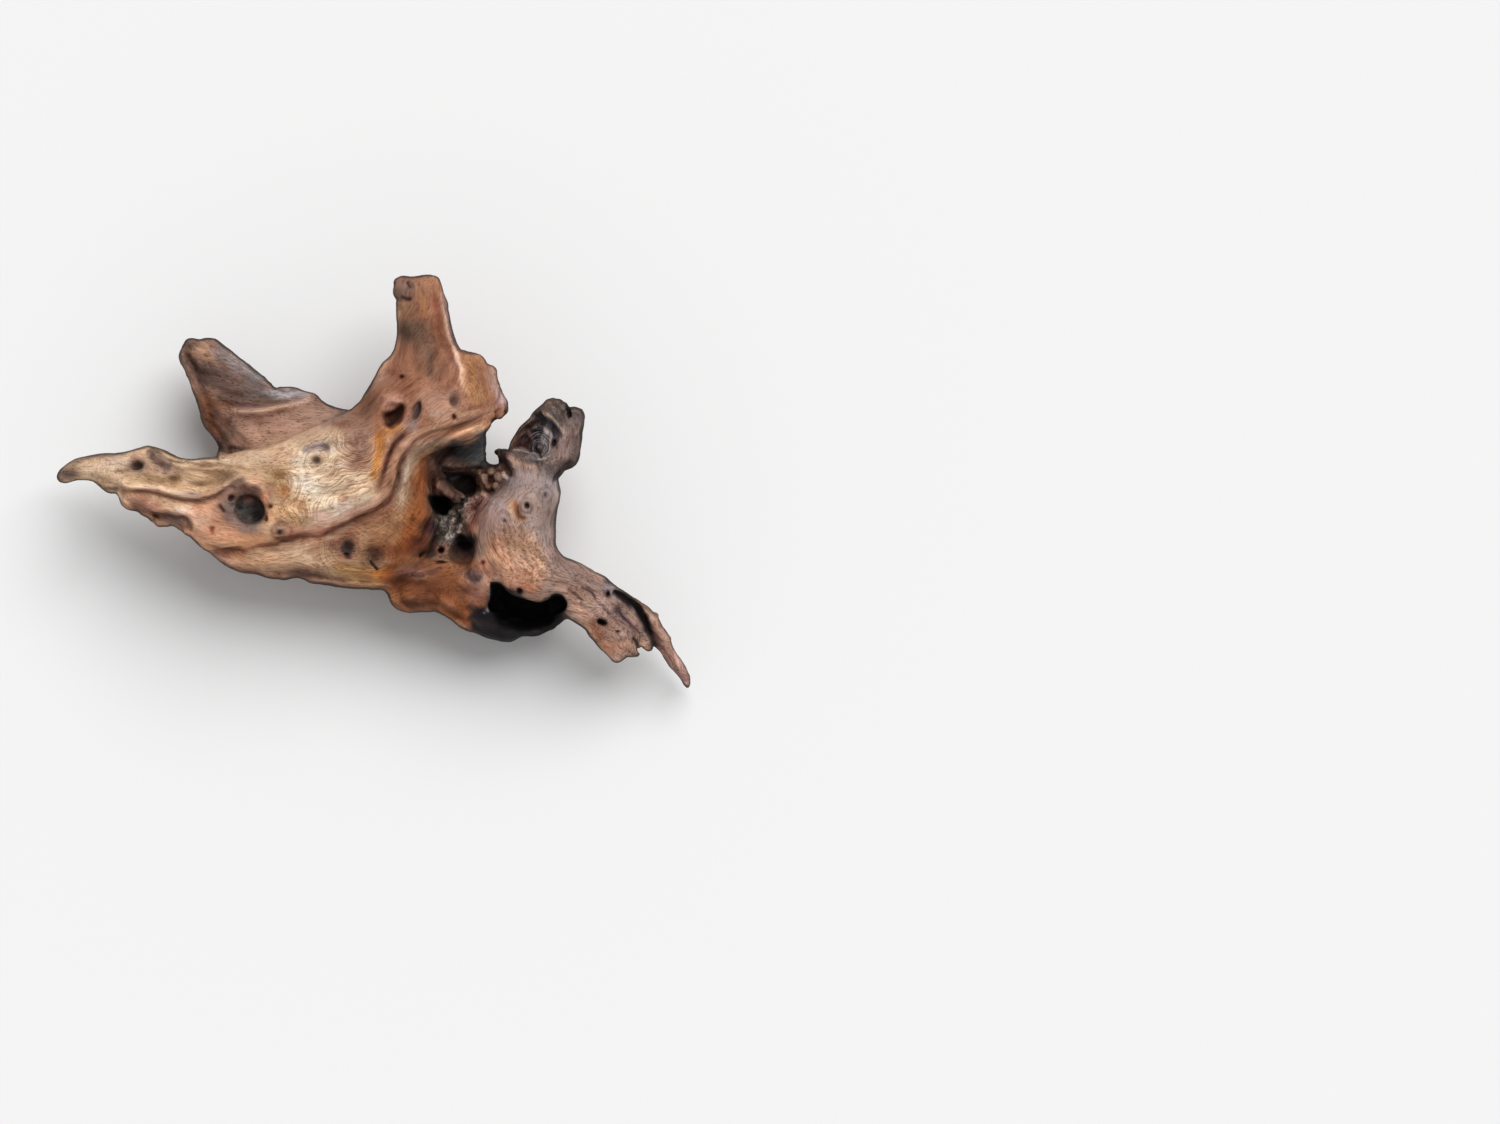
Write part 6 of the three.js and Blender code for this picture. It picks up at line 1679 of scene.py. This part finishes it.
def looks_at(points, normal):
    """Colour, grain place and show of the grain, at points of the skin."""
    x, y, z = points.T
    wander = 0.7 * np.stack([noise_at(points / 4.5, 0), noise_at(points / 4.5 + 30, 1)])
    wx, wy = x + wander[0], y + wander[1]
    wx, wy = seen(wx, wy, z)
    sx, sy = seen(x, y, z)
    shade = read_map(colour, wx, wy)
    # flanks near the outline are painted darker, partly as less bleached wood and partly as painted shade; painted
    # shade darkens the very edge most, and undersides are blended towards a patchy brown
    up = normal[:, 2]
    outer = smooth_step(-9, -3, read_map(edge, sx, sy))
    flank = (smooth_step(0.52, 0.02, up) * outer)[:, None]
    under = smooth_step(-0.05, -0.6, up)[:, None]
    patchy = (0.5 + 0.5 * noise_at(points / 14, 2))[:, None]
    # painted shade along the outer edge
    rim = smooth_step(-1.8, -0.3, read_map(edge, sx, sy))[:, None]
    shade = shade * (1 - 0.42 * flank) * (1 - 0.4 * rim)
    belly = np.array(BROWN) * (1 - patchy) + np.array((120, 98, 84)) * patchy
    shade = shade + under * 0.75 * (belly - shade)
    # hollows are darkened, as dirt and as painted shade, and crests are rubbed pale
    rot = read_map(crumble_map, sx, sy)
    dirt_and_shade = np.clip(np.clip(hollow_small / 0.8, 0, 1) * (0.32 + 0.55 * rot) + np.clip(hollow_large / 2.4, 0, 1) * 0.16, 0, 0.9)
    rub = np.clip(-hollow_small / 0.9, 0, 1) * (1 + 2.4 * rot)
    shade = shade * (1 - dirt_and_shade[:, None]) + dirt_and_shade[:, None] * shade * np.array((0.5, 0.42, 0.38))
    shade = shade + (rub * 0.16 * np.clip(up, 0, 1))[:, None] * (np.array((240, 214, 186)) - shade)
    # soot and painted shade in the deep holes: darker the further below the top
    lid = read_map(top_soft, x, y, VOXEL)
    deep = smooth_step(0.8, 5.0, lid - z) * read_map(soot_and_shade_map, sx, sy)
    shade = shade + deep[:, None] * (np.array((16, 13, 13)) - shade)
    lines = read_map(lines_map, sx, sy)
    rings = read_map(rings_map, sx, sy) * smooth_step(0.5, 0.85, up)
    shade = shade / np.maximum(1, shade.max(axis=1, keepdims=True) / 252)
    return linear(np.maximum(shade, 2)), np.stack([lines, rings, rot], axis=1)


shade, show = looks_at(points, normal)
ring_at = read_map(ring_map, *seen(*points.T))
note("colours read")

# ------------------------------------------------------------------ the pieces
# The forks, as in the solid wood: the name, a place on the cut and its heading, and its width.
fork_shift = np.array((0.784, -1.010))
forks = [
    dict(name="left_limb", place=(-98, -22), heading=180, width=94),
    dict(name="back_limb", place=(-52, 27), heading=112, width=92),
    dict(name="upper_limb", place=(37, 62), heading=90, width=110),
    dict(name="burl", place=(47, -9), heading=-34, width=300, forks=[
        dict(name="tail_limb", place=(116, -90), heading=-4, width=130),
        dict(name="hollow_stub", place=(104, 7), heading=90, width=62),
        dict(name="lower_lobe", place=(55, -57.5), heading=-105, width=130),
    ]),
]


def fork_frame(fork):
    at = np.array(fork["place"]) + fork_shift
    turn = math.radians(fork["heading"])
    return at, np.array((math.cos(turn), math.sin(turn)))


def all_forks(tree):
    for fork in tree:
        yield fork
        yield from all_forks(fork.get("forks", []))


def name_faces(middles):
    """Each face's piece: past which fork its middle lies."""
    named = np.full(len(middles), "crown", dtype="<U16")

    def walk(tree, free):
        for fork in tree:
            at, way = fork_frame(fork)
            rel = middles[:, :2] - at
            past = rel @ way > 0
            beside = np.abs(rel @ np.array((-way[1], way[0]))) < fork["width"] / 2
            mine = free & past & beside
            named[mine] = fork["name"]
            walk(fork.get("forks", []), mine.copy())
            free = free & ~mine

    walk(forks, np.ones(len(middles), bool))
    return named


whole_mesh = bpy.data.meshes.new("whole")
whole_mesh.from_pydata((points * MM).tolist(), [], quads.tolist())
rings = np.stack([ring_at * MM, read_map(pale_rings, *seen(*points.T)), 0 * ring_at], axis=1)
for name, values in (("shade", shade), ("way", grain * MM), ("show", show), ("rings", rings), ("skin", normal)):
    layer = whole_mesh.attributes.new(name, "FLOAT_VECTOR", "POINT")
    layer.data.foreach_set("vector", np.ascontiguousarray(values, dtype=np.float32).ravel())
bm = bmesh.new()
bm.from_mesh(whole_mesh)
for fork in all_forks(forks):
    at, way = fork_frame(fork)
    cross = np.array((-way[1], way[0]))
    bm.verts.ensure_lookup_table()
    spots = np.array([v.co[:] for v in bm.verts])[:, :2] / MM - at
    ahead = spots @ way
    near = (np.abs(ahead) < 2.5 * VOXEL) & (np.abs(spots @ cross) < fork["width"] / 2 + 3)
    faces = {f for i in np.nonzero(near)[0] for f in bm.verts[i].link_faces}
    edges = {e for f in faces for e in f.edges}
    verts = {v for f in faces for v in f.verts}
    bmesh.ops.bisect_plane(bm, geom=[*verts, *edges, *faces], dist=1e-6, plane_co=(at[0] * MM, at[1] * MM, 0),
                           plane_no=(way[0], way[1], 0))
bm.to_mesh(whole_mesh)
bm.free()
note("cut at the forks")

count = len(whole_mesh.vertices)


def read_vectors(name):
    out = np.empty(count * 3, np.float32)
    if name == "co":
        whole_mesh.vertices.foreach_get("co", out)
    else:
        whole_mesh.attributes[name].data.foreach_get("vector", out)
    return out.reshape(-1, 3)


spots = read_vectors("co")
shade, way, show, rings, skin_way = (read_vectors(n) for n in ("shade", "way", "show", "rings", "skin"))
starts = np.empty(len(whole_mesh.polygons), np.int32)
totals = np.empty(len(whole_mesh.polygons), np.int32)
corners = np.empty(len(whole_mesh.loops), np.int32)
whole_mesh.polygons.foreach_get("loop_start", starts)
whole_mesh.polygons.foreach_get("loop_total", totals)
whole_mesh.loops.foreach_get("vertex_index", corners)
face_of = np.repeat(np.arange(len(starts)), totals)
middles = np.stack([np.bincount(face_of, spots[corners, a], len(starts)) / totals for a in range(3)], axis=1) / MM
named = name_faces(middles)
bpy.data.meshes.remove(whole_mesh)


def caps_for(spots, edges):
    """Flat ends that close a piece where it was parted, one for each cut."""
    made = []
    for fork in all_forks(forks):
        at, way = fork_frame(fork)
        on = np.abs((spots[edges][:, :, :2] / MM - at) @ way).max(axis=1) < 0.02
        if not on.any():
            continue
        bm = bmesh.new()
        link = {}
        for a, b in edges[on]:
            for v in (a, b):
                if v not in link:
                    link[v] = bm.verts.new(spots[v])
            if bm.edges.get((link[a], link[b])) is None:
                bm.edges.new((link[a], link[b]))
        back = {v: i for i, v in link.items()}
        bmesh.ops.triangle_fill(bm, edges=bm.edges[:], use_beauty=False, use_dissolve=False)
        for f in bm.faces:
            made.append([back[v] for v in f.verts])
        bm.free()
    return made


pieces = {}
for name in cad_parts:
    chosen = named == name
    picked = np.nonzero(chosen)[0]
    loops = corners[chosen[face_of]]
    used, loops = np.unique(loops, return_inverse=True)
    loops = loops.reshape(-1)
    sizes = totals[picked]
    begins = np.concatenate([[0], np.cumsum(sizes)[:-1]])
    # edges with a face on one side only lie on the cuts
    follow = np.arange(len(loops)) + 1
    follow[begins + sizes - 1] = begins
    edges = np.stack([loops, loops[follow]], axis=1)
    keys = np.sort(edges, axis=1)
    keys = keys[:, 0].astype(np.int64) * len(used) + keys[:, 1]
    _, first, times = np.unique(keys, return_index=True, return_counts=True)
    open_edges = edges[first[times == 1]]
    piece_spots = spots[used]
    caps = caps_for(piece_spots, open_edges)
    faces = np.split(loops, np.cumsum(sizes)[:-1])
    mesh = bpy.data.meshes.new(name + "_wood")
    mesh.from_pydata(piece_spots.tolist(), [], [f.tolist() for f in faces] + caps)
    mesh.polygons.foreach_set("use_smooth", [True] * len(mesh.polygons))
    for title, values in (("shade", shade), ("way", way), ("show", show), ("rings", rings)):
        layer = mesh.attributes.new(title, "FLOAT_VECTOR", "POINT")
        layer.data.foreach_set("vector", np.ascontiguousarray(values[used]).ravel())
    turned = skin_way[used]
    turned = turned / np.maximum(np.linalg.norm(turned, axis=1, keepdims=True), 1e-6)
    mesh.update()
    mesh.normals_split_custom_set_from_vertices(turned.tolist())
    piece = bpy.data.objects.new(name + "_wood", mesh)
    bpy.context.scene.collection.objects.link(piece)
    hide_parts(name)
    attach(piece, "root")
    pieces[name] = piece
    tris = sum(len(p.vertices) - 2 for p in mesh.polygons)
    note(f"{name}: {tris} triangles, {len(open_edges)} open edges, {len(caps)} cap faces")


# ------------------------------------------------------------------- materials
def wood_group():
    """Weathered wood, from the laid colours and the run of the grain."""
    group = bpy.data.node_groups.new("weathered wood", "ShaderNodeTree")
    group.interface.new_socket("Shader", in_out="OUTPUT", socket_type="NodeSocketShader")
    for title, value in (("Lines", 1.0), ("Roughness", 0.72), ("Bump", 1.0)):
        socket = group.interface.new_socket(title, in_out="INPUT", socket_type="NodeSocketFloat")
        socket.default_value = value
    nodes, links = group.nodes, group.links
    given = nodes.new("NodeGroupInput")
    out = nodes.new("NodeGroupOutput")

    def attribute(title):
        node = nodes.new("ShaderNodeAttribute")
        node.attribute_name = title
        return node

    def maths(kind, a, b=None, clamp=False):
        node = nodes.new("ShaderNodeMath")
        node.operation = kind
        node.use_clamp = clamp
        for socket, value in zip(node.inputs, (a, b)):
            if value is None:
                continue
            if isinstance(value, (int, float)):
                socket.default_value = value
            else:
                links.new(value, socket)
        return node.outputs[0]

    def scaled(vector, factors, shift=(0, 0, 0)):
        node = nodes.new("ShaderNodeMapping")
        node.inputs["Scale"].default_value = factors
        node.inputs["Location"].default_value = shift
        links.new(vector, node.inputs["Vector"])
        return node.outputs[0]

    def noise(vector, detail=3.0, rough=0.55, distortion=0.0):
        node = nodes.new("ShaderNodeTexNoise")
        node.inputs["Scale"].default_value = 1.0
        node.inputs["Detail"].default_value = detail
        node.inputs["Roughness"].default_value = rough
        node.inputs["Distortion"].default_value = distortion
        links.new(vector, node.inputs["Vector"])
        return node.outputs["Fac"]

    def ramp(value, a, b, lo=0.0, hi=1.0):
        node = nodes.new("ShaderNodeMapRange")
        node.interpolation_type = "SMOOTHSTEP"
        node.inputs["From Min"].default_value = a
        node.inputs["From Max"].default_value = b
        node.inputs["To Min"].default_value = lo
        node.inputs["To Max"].default_value = hi
        links.new(value, node.inputs["Value"])
        return node.outputs["Result"]

    def mixed(kind, factor, a, b):
        node = nodes.new("ShaderNodeMix")
        node.data_type = "RGBA"
        node.blend_type = kind
        for socket, value in ((node.inputs[0], factor), (node.inputs[6], a), (node.inputs[7], b)):
            if isinstance(value, (int, float)):
                socket.default_value = value
            elif isinstance(value, tuple):
                socket.default_value = (*value, 1)
            else:
                links.new(value, socket)
        return node.outputs[2]

    base = attribute("shade").outputs["Vector"]
    way_at = attribute("way").outputs["Vector"]
    shows = nodes.new("ShaderNodeSeparateXYZ")
    links.new(attribute("show").outputs["Vector"], shows.inputs[0])
    lines_share = maths("MULTIPLY", shows.outputs[0], given.outputs["Lines"])
    rings_share = shows.outputs[1]
    rot_share = shows.outputs[2]
    where = nodes.new("ShaderNodeNewGeometry").outputs["Position"]

    # the grain's place bends a little, so that no line is straight
    bend = nodes.new("ShaderNodeTexNoise")
    bend.inputs["Scale"].default_value = 90.0
    bend.inputs["Detail"].default_value = 2.0
    links.new(where, bend.inputs["Vector"])
    centred = nodes.new("ShaderNodeVectorMath")
    centred.operation = "MULTIPLY_ADD"
    links.new(bend.outputs["Color"], centred.inputs[0])
    centred.inputs[1].default_value = (0.0030, 0.0030, 0.0030)
    links.new(way_at, centred.inputs[2])
    bent = centred.outputs[0]

    fine = noise(scaled(bent, (70, 860, 860)), 4.0, 0.66)
    broad = noise(scaled(bent, (26, 190, 190), (3, 5, 7)), 3.0, 0.55)
    flecks = noise(scaled(bent, (260, 1500, 1500), (9, 2, 4)), 2.0, 0.5)
    # growth rings: thin lines at even steps of the ring field, which break and join along their run
    ring_parts = nodes.new("ShaderNodeSeparateXYZ")
    links.new(attribute("rings").outputs["Vector"], ring_parts.inputs[0])
    spot_parts = nodes.new("ShaderNodeSeparateXYZ")
    links.new(where, spot_parts.inputs[0])
    ring_place = nodes.new("ShaderNodeCombineXYZ")
    links.new(maths("MULTIPLY", ring_parts.outputs[0], 1250.0), ring_place.inputs[0])
    links.new(maths("MULTIPLY", spot_parts.outputs[0], 110.0), ring_place.inputs[1])
    links.new(maths("MULTIPLY", spot_parts.outputs[1], 110.0), ring_place.inputs[2])
    ringed = noise(ring_place.outputs[0], 2.0, 0.5, 0.3)
    pale_share = ring_parts.outputs[1]
    mottle = noise(scaled(where, (70, 70, 70), (2, 2, 2)), 4.0, 0.6)
    speckle = noise(scaled(where, (900, 900, 900)), 3.0, 0.6)

    dark_line = ramp(fine, 0.53, 0.36)
    light_line = ramp(fine, 0.53, 0.68)
    band = ramp(broad, 0.62, 0.38)
    fleck = ramp(flecks, 0.40, 0.30)
    ring_line = ramp(ringed, 0.54, 0.40)
    pale_ring = ramp(ringed, 0.52, 0.62)

    colour_now = base
    colour_now = mixed("MULTIPLY", maths("MULTIPLY", band, maths("MULTIPLY", lines_share, 0.55)), colour_now, (0.66, 0.56, 0.48))
    colour_now = mixed("MULTIPLY", maths("MULTIPLY", dark_line, maths("MULTIPLY", lines_share, 0.95)), colour_now, (0.50, 0.38, 0.31))
    colour_now = mixed("MULTIPLY", maths("MULTIPLY", light_line, maths("MULTIPLY", lines_share, 0.8)), colour_now, (1.34, 1.30, 1.26))
    colour_now = mixed("MULTIPLY", maths("MULTIPLY", ring_line, maths("MULTIPLY", rings_share, 0.8)), colour_now, (0.60, 0.44, 0.34))
    colour_now = mixed("MULTIPLY", maths("MULTIPLY", pale_ring, rings_share), colour_now, (1.12, 1.12, 1.12))
    colour_now = mixed("MIX", maths("MULTIPLY", pale_ring, pale_share), colour_now, (0.36, 0.35, 0.38))
    colour_now = mixed("MULTIPLY", maths("MULTIPLY", fleck, 0.5), colour_now, (0.45, 0.33, 0.26))
    colour_now = mixed("MULTIPLY", ramp(mottle, 0.35, 0.65, 0.35, 0.0), colour_now, (0.72, 0.66, 0.62))
    colour_now = mixed("MULTIPLY", maths("MULTIPLY", ramp(speckle, 0.55, 0.35), maths("MULTIPLY", rot_share, 0.9)), colour_now, (0.3, 0.26, 0.24))

    height = maths("MULTIPLY", fine, maths("MULTIPLY_ADD", lines_share, 0.7))
    height = maths("ADD", maths("MULTIPLY", fine, lines_share), maths("MULTIPLY", maths("MULTIPLY", ringed, rings_share), 0.7))
    height = maths("ADD", height, maths("MULTIPLY", fleck, -0.35))
    height = maths("ADD", height, maths("MULTIPLY", speckle, 0.12))
    height = maths("ADD", height, maths("MULTIPLY", maths("MULTIPLY", speckle, rot_share), 0.8))
    bump = nodes.new("ShaderNodeBump")
    bump.inputs["Distance"].default_value = 0.0011
    links.new(given.outputs["Bump"], bump.inputs["Strength"])
    links.new(height, bump.inputs["Height"])

    shader = nodes.new("ShaderNodeBsdfPrincipled")
    links.new(colour_now, shader.inputs["Base Color"])
    rough = maths("ADD", given.outputs["Roughness"], maths("MULTIPLY", maths("SUBTRACT", fine, 0.5), 0.35), clamp=True)
    links.new(rough, shader.inputs["Roughness"])
    shader.inputs["Specular IOR Level"].default_value = 0.12
    links.new(bump.outputs[0], shader.inputs["Normal"])
    links.new(shader.outputs[0], out.inputs[0])
    return group


wood = wood_group()
finish_of = {
    "crown": (1.0, 0.74, 0.9),
    "left_limb": (1.0, 0.74, 0.9),
    "back_limb": (1.1, 0.70, 1.0),
    "upper_limb": (0.9, 0.66, 0.8),
    "burl": (1.0, 0.72, 0.9),
    "hollow_stub": (1.2, 0.70, 1.2),
    "lower_lobe": (0.9, 0.66, 0.8),
    "tail_limb": (1.1, 0.72, 1.0),
}
for name, piece in pieces.items():
    material = bpy.data.materials.new(name.replace("_", " ") + " wood")
    material.use_nodes = True
    tree = material.node_tree
    tree.nodes.clear()
    use = tree.nodes.new("ShaderNodeGroup")
    use.node_tree = wood
    for title, value in zip(("Lines", "Roughness", "Bump"), finish_of[name]):
        use.inputs[title].default_value = value
    end = tree.nodes.new("ShaderNodeOutputMaterial")
    tree.links.new(use.outputs[0], end.inputs["Surface"])
    piece.data.materials.append(material)

# ------------------------------------------------------------- floor and light
floor_mesh = bpy.data.meshes.new("floor")
SIDE = 6.0
floor_mesh.from_pydata([(-SIDE, -SIDE, 0), (SIDE, -SIDE, 0), (SIDE, SIDE, 0), (-SIDE, SIDE, 0)], [], [(0, 1, 2, 3)])
floor = bpy.data.objects.new("floor", floor_mesh)
bpy.context.scene.collection.objects.link(floor)
paper = bpy.data.materials.new("pale floor")
paper.use_nodes = True
paper.node_tree.nodes["Principled BSDF"].inputs["Base Color"].default_value = (0.80, 0.80, 0.80, 1)
paper.node_tree.nodes["Principled BSDF"].inputs["Roughness"].default_value = 0.9
paper.node_tree.nodes["Principled BSDF"].inputs["Specular IOR Level"].default_value = 0.1
floor_mesh.materials.append(paper)

world = bpy.data.worlds.new("studio")
bpy.context.scene.world = world
world.use_nodes = True
world.node_tree.nodes["Background"].inputs["Color"].default_value = (1, 1, 1, 1)
world.node_tree.nodes["Background"].inputs["Strength"].default_value = 0.46


def lamp(name, kind, energy, direction, size, distance=2.0):
    data = bpy.data.lights.new(name, kind)
    data.energy = energy
    if kind == "SUN":
        data.angle = math.radians(size)
    else:
        data.shape = "DISK"
        data.size = size
    obj = bpy.data.objects.new(name, data)
    bpy.context.scene.collection.objects.link(obj)
    way = Vector(direction).normalized()
    obj.location = way * distance
    obj.rotation_mode = "QUATERNION"
    obj.rotation_quaternion = way.to_track_quat("Z", "Y")
    return obj


lamp("key", "SUN", 2.72, (0.36, 0.70, 1.0), 46)

LENS = 200.0
FRAME_WIDTH = 0.9  # metres of the ground across the picture
SHARP_PLANE = 0.068  # height at which the picture's scale holds
camera_data = bpy.data.cameras.new("camera")
camera_data.lens = LENS
camera_data.sensor_width = 36.0
camera_data.clip_end = 50
camera = bpy.data.objects.new("camera", camera_data)
bpy.context.scene.collection.objects.link(camera)
centre_x, centre_y = place(750, 562)
camera.location = (centre_x * MM, centre_y * MM, SHARP_PLANE + FRAME_WIDTH / 36.0 * LENS)
bpy.context.scene.camera = camera
bpy.context.scene.view_settings.view_transform = "Standard"

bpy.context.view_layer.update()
note("done")
